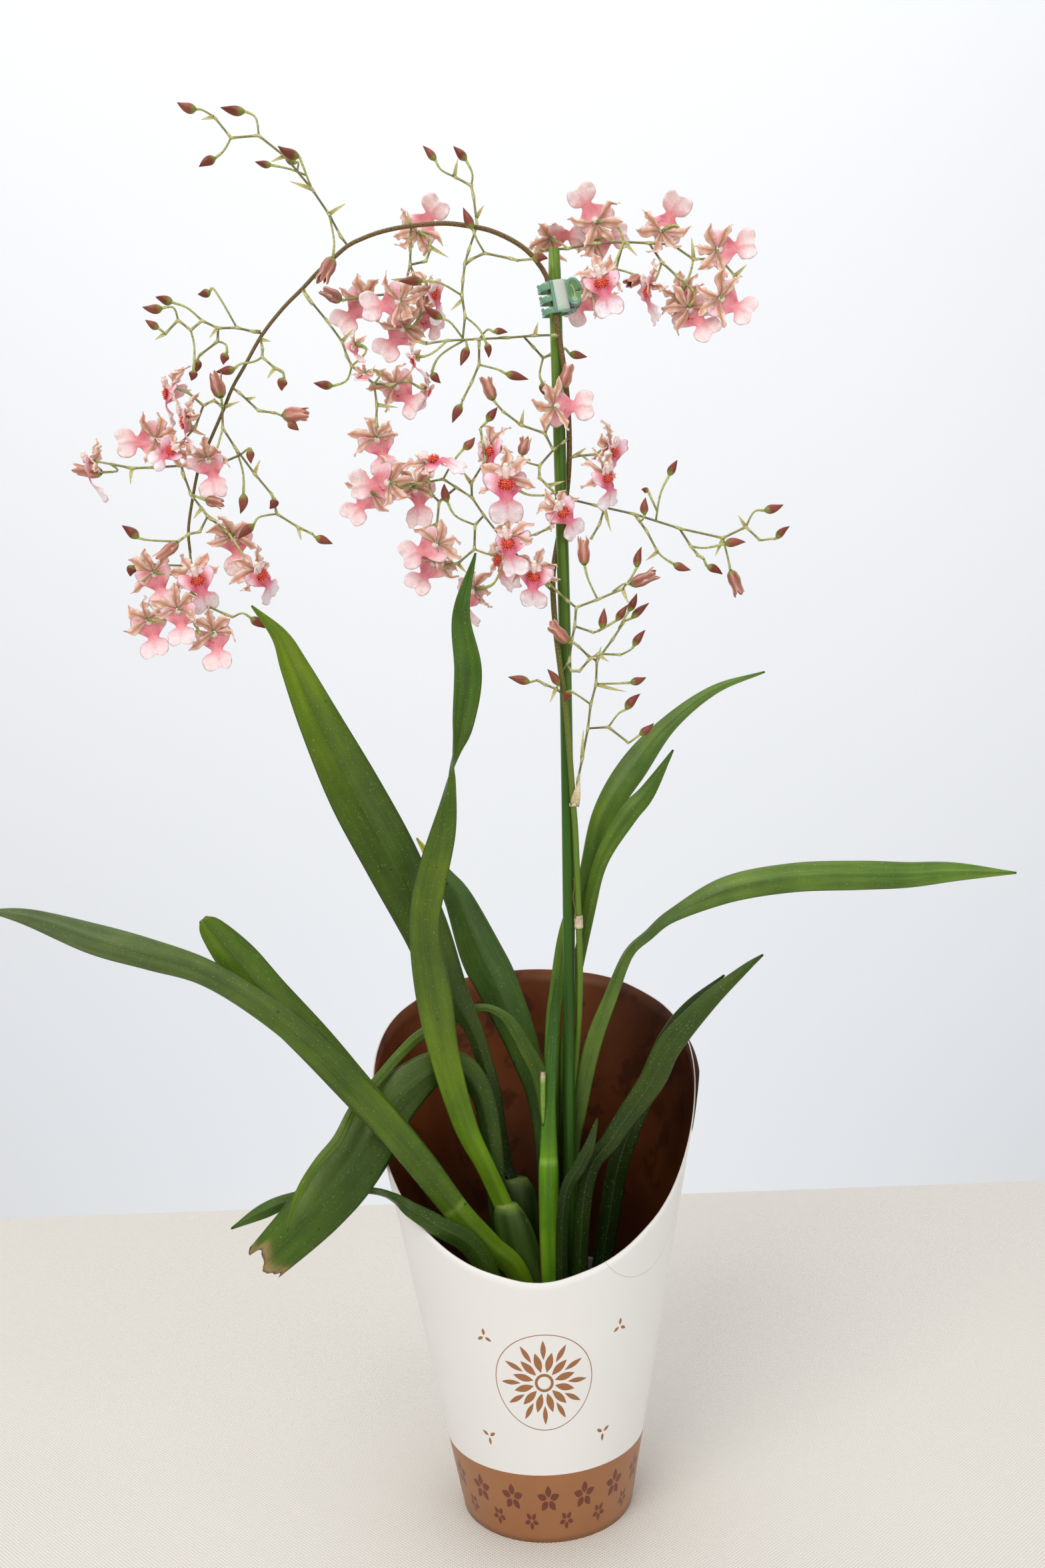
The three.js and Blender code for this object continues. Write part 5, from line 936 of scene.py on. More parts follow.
def sleeve_inside_material():
    m = Nodes("sleeve_inside", Roughness=0.42, Specular_IOR_Level=0.3, Specular_Tint=(1.0, 0.85, 0.7))
    brown = m.mix(m.ramp(m.noise(16, 4), (0.35, 0.0), (0.7, 1.0)), rgb(86, 38, 14), rgb(122, 64, 28))
    shadow = m.ramp(m.noise(60, 5), (0.54, 0.0), (0.6, 0.6))
    x, _, z = m.split(m.position())
    # Painted shade: the inside is darkened towards its right side and low down, where shade falls inside the
    # sleeve.
    painted_shade = m.math("MAXIMUM", m.ramp(x, (0.015, 0.0), (0.075, 0.75)), m.ramp(z, (0.14, 0.7), (0.2, 0.0)))
    colour = m.mix(painted_shade, m.mix(shadow, brown, rgb(56, 20, 10)), rgb(30, 14, 8))
    m.surface(colour, m.noise(14, 2), *CARD_RELIEF)


def stake_material():
    """Green lacquer over a split cane, with yellower streaks near the top."""
    m = Nodes("stake", Roughness=0.34, Specular_IOR_Level=0.35, Specular_Tint=(1.0, 1.0, 0.7))
    streak = m.noise(170, 4, (1, 1, 0.03))
    upper = m.ramp(m.split(m.position())[2], (0.40, 0.0), (0.62, 1.0))
    green = m.mix(m.ramp(streak, (0.35, 0.0), (0.65, 1.0)), rgb(34, 70, 16), rgb(58, 100, 26))
    pale = m.mix(m.ramp(streak, (0.42, 0.0), (0.62, 1.0)), rgb(62, 100, 28), rgb(132, 156, 56))
    m.surface(m.mix(upper, green, pale), streak, 0.0003, 0.5)


simple_materials()
bud_material()
stem_material()
leaf_material()
bulb_material()
sleeve_outside_material()
sleeve_inside_material()
stake_material()

# ---- flowers --------------------------------------------------------------------------------

TWIG = rgb(112, 108, 62)
TWIG_GREEN = rgb(146, 150, 84)
PEDICEL = rgb(190, 194, 116)
NODE = rgb(212, 208, 142)
OVARY = rgb(116, 142, 56)
BRACT_SHADES = rgb(208, 206, 140), rgb(172, 160, 96)
BRACT_TIP = rgb(150, 112, 72)
BUD = rgb(106, 44, 34)
BUD_LIGHT = rgb(160, 96, 78)
BUD_GREEN = rgb(150, 150, 86)
BUD_OPEN = rgb(186, 116, 102)
BUD_FOOT = rgb(128, 136, 62)
TEPAL = rgb(211, 152, 125)
TEPAL_EDGE = rgb(246, 210, 194)
TEPAL_RIB = rgb(150, 106, 74)
TEPAL_BACK = rgb(214, 157, 126)
LIP_DEEP = rgb(208, 84, 122)
LIP_PINK = rgb(237, 142, 154)
LIP_PALE = rgb(253, 212, 224)
LIP_WHITE = rgb(255, 236, 240)
LIP_BACK = rgb(236, 180, 166)
COLUMN = rgb(251, 222, 214)
ANTHER = rgb(252, 240, 214)
CREST = rgb(230, 74, 54)
CREST_LIGHT = rgb(252, 168, 130)

TEPALS = [  # degrees round from the lip, length, width
    (70, 14.4, 4.4), (121, 13.0, 6.2), (180, 12.8, 5.2), (239, 13.0, 6.2), (290, 14.4, 4.4),
]
TEPAL_THICKNESS, LIP_THICKNESS, COLUMN_WING_THICKNESS = 0.42, 0.5, 0.35
HALF_OPEN_THICKNESS, BRACT_THICKNESS = 0.45, 0.28
TEPAL_SHARES = [0, 0.12, 0.3, 0.52, 0.7, 0.84, 0.94, 1]
TEPAL_SWELL = [0.3, 0.44, 0.74, 1, 0.94, 0.6, 0.22, 0.03]
# Rows of the lip: half its width, how far down its edge and its midline lie, and its height.
LIP_ROWS = [
    [1.2, 0.8, 0.6, 0.2], [3.4, -0.6, 0.9, 0.6], [6.0, -2.0, 1.4, 1.1], [8.1, -2.2, 2.2, 1.6],
    [9.3, -0.6, 3.2, 2.0], [9.2, 1.8, 4.3, 2.3], [7.9, 4.2, 5.4, 2.5], [5.9, 6.2, 6.5, 2.5],
    [4.2, 7.6, 7.6, 2.4], [3.0, 8.8, 8.6, 2.2], [2.9, 9.8, 9.6, 1.9], [4.3, 10.4, 10.6, 1.6],
    [6.4, 11.6, 11.8, 1.1], [7.4, 13.8, 13.2, 0.5], [7.2, 16.4, 14.6, 0.0], [5.9, 18.6, 16.0, -0.3],
    [3.9, 19.4, 17.0, -0.4], [1.6, 18.6, 17.5, -0.4], [0, 17.8, 17.8, -0.4],
]
ANTHER_MIDDLE = [0, -4.2, 4.7]
ANTHER_RADIUS = 1.2
CREST_RINGS = (0.6, 3), (1.6, 8), (2.6, 12), (3.4, 14)  # radius and number of fingers
FINGER_RADII = [0.42, 0.36, 0.16]
COLUMN_PATH = [0, 1.4, 0.2], [0, 0.8, 2.2], [0, -0.8, 3.6], [0, -2.6, 4.3], [0, -4.4, 4.4]
HALF_OPEN_WIDTH = 5.4  # a bud at least this wide is opening
TWIG_RADIUS, TWIG_JOINT = 0.58, 0.3  # radius between the joints, and how much more it is at one
JOINT_BRACT_WIDTH, BRACT_WIDTH = 1.5, 1.9
TWIG_STEP = 1.2
BLOOM_SEAT = [0, -1.8, -0.6]  # where its pedicel ends, from its middle


def bloom_axes(turn, rise, lip_angle):
    """The side, the lip's direction and the facing direction, as the columns of a matrix."""
    azimuth, elevation, lip_turn = (math.radians(v) for v in (turn, rise, lip_angle))
    facing = np.array([math.sin(azimuth) * math.cos(elevation), -math.cos(azimuth) * math.cos(elevation),
                       math.sin(elevation)])
    along = np.array([math.cos(lip_turn), 0, math.sin(lip_turn)])
    along = unit(along - facing * along.dot(facing))
    return np.column_stack([np.cross(along, facing), along, facing])


def tepal(skin, seat, degrees, long, wide, draw):
    """A narrow blade that draws back, twists, and has a rippled edge and a hooked tip."""
    t, u = shares(23, 9)
    length = long * draw.uniform(0.92, 1.08)
    half = wide / 2 * draw.uniform(0.88, 1.1) * np.interp(t, TEPAL_SHARES, TEPAL_SWELL)
    ripples = [draw.uniform(0.7, 1.5) * np.sin(TURN * (t * draw.uniform(2.0, 3.6) + draw.random()))
               for _ in range(2)]
    ripple = np.where(u > 0, ripples[0], ripples[1]) * np.abs(u) ** 2 * smooth(0.12, 0.4, t)
    channel = draw.uniform(0.2, 1.3) * np.abs(u) ** 1.5 * np.sin(math.pi * t)
    recurve, hook = draw.uniform(1.0, 6.5), draw.uniform(-3.0, 3.2)
    bend = -recurve * t ** 1.6 + hook * smooth(0.55, 1.0, t) ** 2
    twist = draw.uniform(-1.4, 1.4) * t ** 1.3
    claw = draw.uniform(-3.4, 3.4)
    sway = draw.uniform(-1.4, 1.4) * t ** 2 + draw.uniform(-0.5, 0.5) * np.sin(TURN * t)
    sway = sway + claw * smooth(0.62, 1.0, t) ** 1.6
    lift = ripple + channel + 0.2
    across = half * u * np.cos(twist) - lift * np.sin(twist) + sway
    rise = bend + half * u * np.sin(twist) + lift * np.cos(twist)
    shortening = 0.05 * (recurve / 6) * t ** 2
    run = 0.5 + length * (t - shortening - 0.1 * abs(claw) / 3 * smooth(0.6, 1, t)) + 0 * u
    angle = math.radians(degrees + draw.uniform(-14, 14))
    out = np.array([math.sin(angle), math.cos(angle)])
    local = np.stack([out[0] * run - out[1] * across, out[1] * run + out[0] * across, rise], axis=2)
    edge = smooth(0.1, 0.9, np.abs(u) + 0.12 * np.sin(9 * t + 5 * draw.random()))
    ribs = 0.85 * bump(u, 0, 0.2) * (1 - 0.6 * t) + 0.55 * bump(t, 0, 0.3) + 0.2 * bump(np.abs(u), 0.45, 0.1)
    tints = blend(blend(TEPAL, TEPAL_EDGE, edge + 0.25 * t), TEPAL_RIB, ribs)
    behind = blend(blend(TEPAL_BACK, TEPAL_EDGE, edge + 0.2 * t), TEPAL_RIB * 0.85, ribs)
    skin.sheet(seat(local), TEPAL_THICKNESS, tints, "petal", behind=behind)


def lip(skin, seat, draw):
    """Two side lobes that spread like wings, a waist, and a broad two-lobed end."""
    curve = spline(LIP_ROWS, 0.4)
    marks = np.linspace(0, len(curve) - 1, 50)
    half, reach, middle, height = (np.interp(marks, np.arange(len(curve)), column_)[:, None]
                                   for column_ in curve.T)
    u = np.linspace(-1, 1, 19)[None, :]
    share = np.abs(u)
    across = half * u * (1 + draw.uniform(-0.12, 0.12) * np.sign(u))
    down = middle + (reach - middle) * share ** 1.3
    end = smooth(10.5, 13.0, down)
    wing = 1 - smooth(6.0, 9.0, down)
    phase = [6 * draw.random() for _ in range(4)]
    ruffle = 0.6 * np.sin(1.5 * down + phase[0]) * share ** 4 * end
    ruffle += 0.5 * np.sin(1.1 * across + phase[1]) * smooth(14.0, 19.0, down)
    ruffle += 0.6 * np.sin(1.3 * down + phase[2]) * share ** 4 * wing
    aside = np.abs(across)
    droop = draw.uniform(0.015, 0.06) * across ** 2 * end + draw.uniform(-0.04, 0.03) * across ** 2 * wing
    droop = droop + np.where(u > 0, draw.uniform(-0.15, 0.55), draw.uniform(-0.15, 0.55)) * aside * wing
    crease = 0.8 * bump(across, 0, 0.8) * smooth(9.5, 12.0, down)
    rise = height - droop - crease + ruffle - draw.uniform(-0.01, 0.04) * np.maximum(down - 9, 0) ** 2
    deep = bump(down, 7.4, 2.2) * bump(aside, 2.9, 1.7) + 0.45 * bump(down, 7.0, 2.6) * bump(aside, 0, 2.4)
    deep = deep + 0.4 * bump(aside, 3.6, 1.8) * bump(down, 4.6, 2.4)
    streak = 0.5 + 0.5 * np.sin(2.6 * aside + 0.7 * down + phase[3])
    tints = blend(LIP_PINK, LIP_PALE, wing * smooth(3.5, 8.0, aside) + smooth(9.5, 12.5, down) * 0.85)
    tints = blend(tints, LIP_WHITE, smooth(11.5, 16.5, down + 0.25 * aside))
    tints = blend(tints, LIP_DEEP, deep * (0.75 + 0.25 * streak))
    tints = blend(tints, LIP_PINK, 0.55 * bump(across, 0, 0.7) * bump(down, 13.0, 2.5))
    grid = seat(np.stack([across, down, rise], axis=2))
    skin.sheet(grid, LIP_THICKNESS, blend(tints, LIP_BACK, 0.3 + 0 * across), "petal", behind=tints)


def blob(skin, centre, radii, tint, material, detail=6):
    """A small rounded lump."""
    sides = detail + 2
    points, faces = [], []
    for row in np.linspace(0, math.pi, detail + 1)[1:-1]:
        for j in range(sides):
            angle = TURN * j / sides
            aside, ahead = math.sin(row) * math.cos(angle), math.sin(row) * math.sin(angle)
            points.append(centre + np.array([aside, ahead, math.cos(row)]) * radii)
    top, foot = len(points), len(points) + 1
    points += [centre + np.array([0, 0, radii[2]]), centre - np.array([0, 0, radii[2]])]
    last = (detail - 2) * sides
    for i in range(detail - 2):
        for j in range(sides):
            k = (j + 1) % sides
            faces.append([i * sides + j, (i + 1) * sides + j, (i + 1) * sides + k, i * sides + k])
    for j in range(sides):
        k = (j + 1) % sides
        faces += [[j, k, top], [last + k, last + j, foot]]
    skin.add(points, faces, tint, material)


def crest(skin, seat, size, draw):
    """The warty callus at the foot of the lip: short fingers on a low mound."""
    rho, spin = shares(7, 19, 0, TURN)
    mound = [3.2 * rho * np.cos(spin), 3.3 + 2.3 * rho * np.sin(spin), 2.4 + 1.5 * (1 - rho ** 2) + 0 * spin]
    skin.sheet(seat(np.stack(mound, axis=2)), 0.2, CREST, "crest")
    for ring, count in CREST_RINGS:
        for k in range(count):
            angle = TURN * (k + 0.6 * draw.random()) / count
            out = np.array([math.cos(angle), 0.75 * math.sin(angle), 0])
            foot = np.array([0, 3.3, 3.9 - 0.45 * ring]) + out * ring * 0.9
            tip = foot + out * (0.35 * ring) + [0, 0, draw.uniform(0.9, 1.6)]
            path = np.array([seat(foot), seat((foot + tip) / 2), seat(tip)])
            tints = np.array([CREST, CREST, blend(CREST, CREST_LIGHT, draw.uniform(0.3, 1))])
            skin.tube(path, np.array(FINGER_RADII) * size, tints, "crest", 5)


def column(skin, seat, size):
    """The short column over the crest, with a wing on each side and its anther cap."""
    path = cut_corners([seat(np.array(p)) for p in COLUMN_PATH])
    radii = np.interp(np.linspace(0, 1, len(path)), [0, 0.5, 0.9, 1], [1.7, 1.5, 1.8, 0.9]) * size
    skin.tube(path, radii, COLUMN, "petal", 10)
    t, u = shares(9, 6, 0)
    for sign in (1, -1):
        flare = np.sin(math.pi * (0.1 + 0.8 * t)) + 0.2 * np.sin(11 * t + sign)
        wing = [sign * (0.8 + 3.6 * u * flare), -0.2 - 4.0 * t + 0.9 * u, 3.4 + 1.2 * u ** 2 + 0.6 * t]
        tints = blend(COLUMN, LIP_PALE, 0.7 * u ** 2 + 0 * t)
        skin.sheet(seat(np.stack(wing, axis=2)), COLUMN_WING_THICKNESS, tints, "petal")
    blob(skin, seat(np.array(ANTHER_MIDDLE)), np.full(3, ANTHER_RADIUS) * size, ANTHER, "petal")


def bloom(skin, base, matrix, size, draw):
    def seat(local):
        return base + (local * size) @ matrix.T

    for degrees, long, wide in TEPALS:
        tepal(skin, seat, degrees, long, wide, draw)
    lip(skin, seat, draw)
    crest(skin, seat, size, draw)
    column(skin, seat, size)


def bud(skin, path, width, draw):
    """A pedicel that swells into a bud: pointed and three-ribbed, or opening."""
    foot, tip = path[-2:]
    stalk = cut_corners(path[:-1])
    share = np.linspace(0, 1, len(stalk))
    skin.tube(stalk, 0.52 + 0.2 * smooth(0.6, 1, share), blend(TWIG_GREEN, PEDICEL, share), "stalk", 7)
    length, axis = np.linalg.norm(tip - foot), unit(tip - foot)
    side = unit(np.cross(axis, [0.2, 1, 0.1]))
    if width >= HALF_OPEN_WIDTH:
        half_open(skin, foot, length, axis, side, width, draw)
        return
    t = np.linspace(0, 1, 15)
    radii = width / 2 * 1.15 * np.sin(math.pi * t ** 0.72) ** 0.85 * (1 - 0.35 * t)
    radii[0], radii[-1] = 0.7, 0.05
    bend = side * draw.uniform(-0.7, 0.7)
    spine = foot + axis * (length * t)[:, None] + bend * (np.sin(math.pi * t))[:, None]
    ripe = blend(BUD_GREEN, blend(BUD, BUD_LIGHT, draw.uniform(0, 0.45)), smooth(2.0, 3.0, width))
    tints = blend(blend(BUD_FOOT, ripe, smooth(0.08, 0.32, t)), BUD * 0.7, 0.8 * smooth(0.75, 1, t))
    skin.tube(spine, np.maximum(radii, 0.05), tints, "bud", 15, lambda angle: 1 + 0.07 * np.cos(3 * angle))


def half_open(skin, foot, length, axis, side, width, draw):
    """Five tepals round an opening bud, which part at its tip."""
    up = np.cross(axis, side)
    first, ripe = draw.random(), draw.uniform(0.4, 0.95)
    t, u = shares(14, 7)
    for k in range(5):
        angle = TURN * (k + first) / 5 + 1.1 * np.clip(1 - t ** 3, 0, 1) ** 0.7 * u
        opening = draw.uniform(-0.3, 2.4)
        radius = width / 2 * np.interp(t, [0, 0.15, 0.4, 0.7, 1], [0.35, 0.8, 1, 0.74, 0.45])
        radius = radius + opening * smooth(0.62, 1.0, t)
        radius = radius + 0.3 * np.sin(7 * t + 6 * draw.random()) * u ** 2 * t
        reach = length * t * draw.uniform(0.92, 1.12)
        grid = foot + axis * (reach + 0 * u)[..., None] \
            + (np.cos(angle) * radius)[..., None] * side + (np.sin(angle) * radius)[..., None] * up
        tints = blend(BUD, BUD_OPEN, ripe + draw.uniform(-0.1, 0.1))
        tints = blend(tints, TEPAL_EDGE, 0.7 * np.abs(u) ** 3 + 0.15 * t)
        tints = blend(tints, BUD, 0.55 * bump(u, 0, 0.28) * (1 - 0.5 * t))
        skin.sheet(grid, HALF_OPEN_THICKNESS, blend(BUD_FOOT, tints, smooth(0.0, 0.25, t) + 0 * u), "bud")


def bract(skin, foot, tip, width, shades=BRACT_SHADES):
    """A papery pointed scale that clasps the branch at its foot."""
    length, axis = np.linalg.norm(tip - foot), unit(tip - foot)
    side = unit(np.cross(axis, [0.1, 1, 0.15]))
    lift = np.cross(axis, side)
    t, u = shares(9, 5)
    half = width / 2 * (1 - t) ** 0.7 * (1 + 0.25 * np.sin(math.pi * t)) + 0.03
    rise = 0.55 * width * (u ** 2 - 0.4) * (1 - t) + 0.1 * length * np.sin(math.pi * t)
    grid = foot + axis * (length * t)[..., None] + (half * u)[..., None] * side + rise[..., None] * lift
    tints = blend(*shades, 0.6 * (1 - t) + 0 * u)
    tints = blend(tints, BRACT_TIP, 0.6 * smooth(0.8, 1.0, t) + 0 * u)
    skin.sheet(grid, BRACT_THICKNESS, tints, "papery")


def spray(name, plan):
    """One side branch with its twigs, buds, open blooms and bracts."""
    draw = random.Random(name)
    skin = Skin("stalk", "papery", "bud", "petal", "crest")
    lines = []
    for points in plan["twigs"]:
        line = with_depths(points, lines or [STEM])
        lines.append(line)
        corners = world(line)
        stretches = [spline(ends, TWIG_STEP)[:-1] for ends in zip(corners, corners[1:])]
        path = np.vstack([*stretches, corners[-1:]])
        joint = bump(np.linalg.norm(path[:, None] - corners[None, 1:], axis=2).min(axis=1), 0, 1.8)
        tints = blend(blend(TWIG, TWIG_GREEN, np.linspace(-0.2, 0.9, len(path))), NODE, 0.8 * joint)
        radii = TWIG_RADIUS + TWIG_JOINT * joint
        radii, tints = (np.repeat(values, 2, axis=0)[1:-1] for values in (radii, tints))
        skin.tube(cut_corners(path, 1), radii, tints, "stalk")
        for corner, ahead in zip(corners[1:-1], corners[2:]):
            reach = unit(ahead - corner) * draw.uniform(2.6, 4.0)
            lean = np.array([draw.uniform(-0.6, 0.6), draw.uniform(-0.8, 0.2), draw.uniform(-0.6, 0.6)])
            bract(skin, corner - 0.25 * reach, corner + reach + lean, JOINT_BRACT_WIDTH)
    for width, *points in plan.get("buds", []):
        bud(skin, world(with_depths(points, lines)), width, draw)
    for turn, rise, lip_angle, size, *points in plan.get("blooms", []):
        line = world(with_depths(points, lines))
        matrix = bloom_axes(turn, rise, lip_angle)
        line[-1] += matrix @ np.array(BLOOM_SEAT) * size
        path = cut_corners(line)
        share = np.linspace(0, 1, len(path))
        tints = blend(PEDICEL, OVARY, smooth(0.75, 1, share))
        skin.tube(path, 0.56 + 0.35 * smooth(0.5, 1, share), tints, "stalk")
        bloom(skin, line[-1], matrix, size, draw)
    for foot, tip in plan.get("bracts", []):
        depth = depth_at(foot, lines)
        ends = [place(*[*foot, depth][:3]), place(*[*tip, depth - 2][:3])]
        bract(skin, *ends, BRACT_WIDTH)
    skin.piece(name + "_fine", [name])


STEM_RADIUS = 1.9  # at its foot
DRY = rgb(196, 176, 152)
DRY_PALE = rgb(226, 212, 178)
COLLAR_FOOT = 308.2  # height of the torn collar on the stem
COLLAR_HEIGHT = 6.4
COLLAR_RADIUS = 2.2
BRACT_FOOT = 371.5  # height of the dry bract above it


def flower_stem():
    """The stem, with a torn collar left by one sheath and a dry bract at its lowest branch."""
    skin = Skin("stem", "papery")
    path = spline(world(STEM), 3)
    heights = path[:, 2]
    arch = int(np.argmax(heights))
    share = np.concatenate([np.linspace(0, 1, arch), np.ones(len(path) - arch)])
    last = np.concatenate([np.zeros(arch), np.linspace(0, 1, len(path) - arch)])
    low = blend(rgb(94, 124, 38), rgb(108, 124, 48), smooth(340, 420, heights))
    tints = blend(low, rgb(128, 106, 64), smooth(430, 600, heights) * (1 - 0.3 * last))
    skin.tube(path, STEM_RADIUS - 0.7 * share - 0.5 * last ** 0.7, tints, "stem", 14)

    def stem_at(height):
        return np.array([np.interp(height, heights[:arch], path[:arch, k]) for k in range(3)])

    collar = np.array([stem_at(z) for z in np.linspace(COLLAR_FOOT, COLLAR_FOOT + COLLAR_HEIGHT, 7)])
    tints = blend(DRY, DRY_PALE, np.linspace(1, 0, 7))
    skin.tube(collar, COLLAR_RADIUS * (1 + 0.03 * np.sin(np.arange(7) * 2.1)), tints, "papery", 18,
              lambda angle: 1 + 0.04 * np.cos(3 * angle) + 0.02 * np.cos(7 * angle))
    curl = np.linspace(0, 1, 26)[:, None]
    start, end = stem_at(COLLAR_FOOT + 5.5), stem_at(COLLAR_FOOT + 26)
    thread = start + curl * (end - start) + np.array([-2.0, -1.2, 0]) + np.hstack([
        0.7 * np.sin(9 * curl) * (1 - 0.5 * curl), -0.5 * np.cos(9 * curl), 0.4 * np.sin(14 * curl)])
    skin.tube(thread, 0.34 - 0.14 * curl[:, 0], rgb(136, 96, 56), "papery", 6)
    foot = stem_at(BRACT_FOOT)
    skin.tube([foot, foot + [0, 0, 0.9], foot + [0, 0, 1.6]], [2.05, 2.2, 1.9], DRY_PALE, "papery", 18)
    bract(skin, foot + [0.5, -1.7, 0.2], foot + [3.6, -1.8, 14], 4.6, (DRY_PALE, rgb(204, 190, 140)))
    skin.piece("flower_stem_fine", ["flower_stem"])


# ---- leaves ---------------------------------------------------------------------------------

LEAF_COLOURS = {  # foot, middle, tip
    "leaf_left_long": ((84, 114, 14), (74, 98, 28), (94, 110, 66)),
    "leaf_left_round": ((60, 84, 18), (70, 94, 18), (78, 104, 20)),
    "leaf_left_broad": ((26, 42, 10), (54, 78, 16), (92, 118, 20)),
    "leaf_twisted": ((98, 132, 22), (78, 100, 30), (64, 98, 26)),
    "leaf_back_broad": ((38, 58, 18), (58, 86, 30), (76, 104, 44)),
    "leaf_thin_arching": ((66, 90, 20), (68, 92, 26), (78, 104, 30)),
    "leaf_torn": ((38, 54, 26), (50, 72, 22), (68, 96, 24)),
    "leaf_over_front": ((66, 92, 24), (50, 74, 20), (70, 100, 30)),
    "leaf_right_tall": ((40, 62, 16), (84, 116, 32), (108, 136, 60)),
    "leaf_right_inner": ((74, 100, 20), (72, 98, 22), (84, 114, 34)),
    "leaf_right_long": ((70, 92, 18), (90, 114, 46), (98, 130, 46)),
    "leaf_right_low": ((36, 54, 12), (44, 62, 22), (58, 80, 28)),
    "leaf_right_back": ((30, 48, 12), (34, 50, 16), (36, 56, 18)),
    "leaf_small": ((36, 54, 18), (38, 56, 20), (44, 64, 26)),
}
LEAF_JOINTS = {"leaf_left_long": 100}  # where the blade parts from its sheath, along the leaf
LEAF_COLUMNS = 17
LEAF_THICKNESS = 0.85
# As shares of the width: the fold along the midrib, how much more it is at the foot, and the waves.
LEAF_FOLD, LEAF_FOOT_FOLD, LEAF_WAVE = 0.17, 0.12, 0.03
LEAF_GROOVE = 0.3


def leaf(name, stations):
    """A strap leaf: folded along its midrib, keeled below, with slightly waved edges."""
    draw = random.Random(name)
    rows = spline([[*station, 0][:5] for station in stations], 2.6)
    centres = np.array([place(x, z, y) for x, z, _, y, _ in rows])
    widths, turns = np.maximum(rows[:, 2, None], 0.5), np.radians(rows[:, 4, None])
    along = units(np.gradient(centres, axis=0))
    flat = units(np.cross(along, units(centres - np.array([0, -EYE_DISTANCE, EYE_HEIGHT]))))
    across = flat * np.cos(turns) + np.cross(flat, along) * np.sin(turns)
    up = np.cross(across, along)
    run = distances(centres)[:, None]
    total = run[-1, 0]
    u = np.linspace(-1, 1, LEAF_COLUMNS)[None, :]
    even = 0 * u
    fold = widths * (LEAF_FOLD + LEAF_FOOT_FOLD * (1 - smooth(20, 110, run)))
    wave = LEAF_WAVE * widths * np.sin(run / 26 + draw.random() * 6) * smooth(30, 90, run)
    lift = fold * np.abs(u) ** 1.25 + wave * (np.sign(u) * np.abs(u) ** 2)
    lift -= LEAF_GROOVE * bump(u, 0, 0.09)
    grid = centres[:, None] + across[:, None] * (widths / 2 * u)[..., None] + up[:, None] * lift[..., None]
    foot, middle, tip = (rgb(*c) for c in LEAF_COLOURS[name])
    share = run / total + even
    shade = blend(blend(foot, middle, smooth(0.05, 0.42, share)), tip, smooth(0.5, 1, share))
    if name in LEAF_JOINTS:
        seam = LEAF_JOINTS[name]
        shade = blend(shade, foot * 1.25, 0.6 * smooth(seam + 2, seam - 3, run) + even)
        shade = blend(shade, rgb(130, 158, 74), 0.5 * bump(run, seam, 0.9) + even)
        shade = blend(shade, rgb(138, 100, 60), smooth(0.72, 0.95, np.abs(u)) * smooth(55, 15, run))
    if name == "leaf_back_broad":
        shade = blend(shade, rgb(206, 206, 84), smooth(total - 26, total - 8, run) + even)
    if name == "leaf_torn":
        steps = np.linspace(0, 1, len(run))
        for j in range(LEAF_COLUMNS):
            part = 1 - draw.uniform(0, 9) / total
            grid[:, j] = np.stack([np.interp(steps * part, steps, grid[:, j, k]) for k in range(3)], axis=1)
        shade = blend(shade, rgb(156, 132, 84), smooth(total - 9, total - 2, run) + even)
    skin = Skin("leaf")
    skin.sheet(grid, LEAF_THICKNESS, shade, "leaf", np.stack([u + 0 * run, run + even], axis=2))
    skin.piece(name + "_fine", [name])


# ---- pseudobulbs and shoot ------------------------------------------------------------------

BULB_PROFILE = [[0, 0.62], [0.2, 0.92], [0.48, 1], [0.74, 0.96], [0.91, 0.8], [1, 0.5]]
BULBS = {  # x and y of the foot, x of the top, heights and the widest section, and a factor on its colour, which is painted shade for the back bulb: it stands in shadow and is a darker green too
    "pseudobulb_front": [0, -11, -16.2, 92, 166, 21.5, 13, 1.0],
    "pseudobulb_back": [-17.5, 4, -12, 92, 174, 28, 13, 0.5],
}
SHOOT = [
    [6, 76, 9, -15], [5.5, 130, 9.5, -15], [5.6, 157, 9.5, -14], [6.5, 184, 9.3, -13], [7.8, 215, 7, -12],
    [10, 240, 6, -11], [12, 262, 4.5, -10], [14, 283, 1, -9],
]
SHOOT_STRIP = [[4.2, 203, -13.8], [4.6, 218, -14.9], [5.1, 232, -15.0]]
SHOOT_JOINT = 184  # height at which its outer sheath ends
SHOOT_STEP = 0.35  # how far the outer sheath stands out
SHOOT_FLATNESS = 0.22  # half its depth as a share of its width
SHEATH_THICKNESS = 0.4


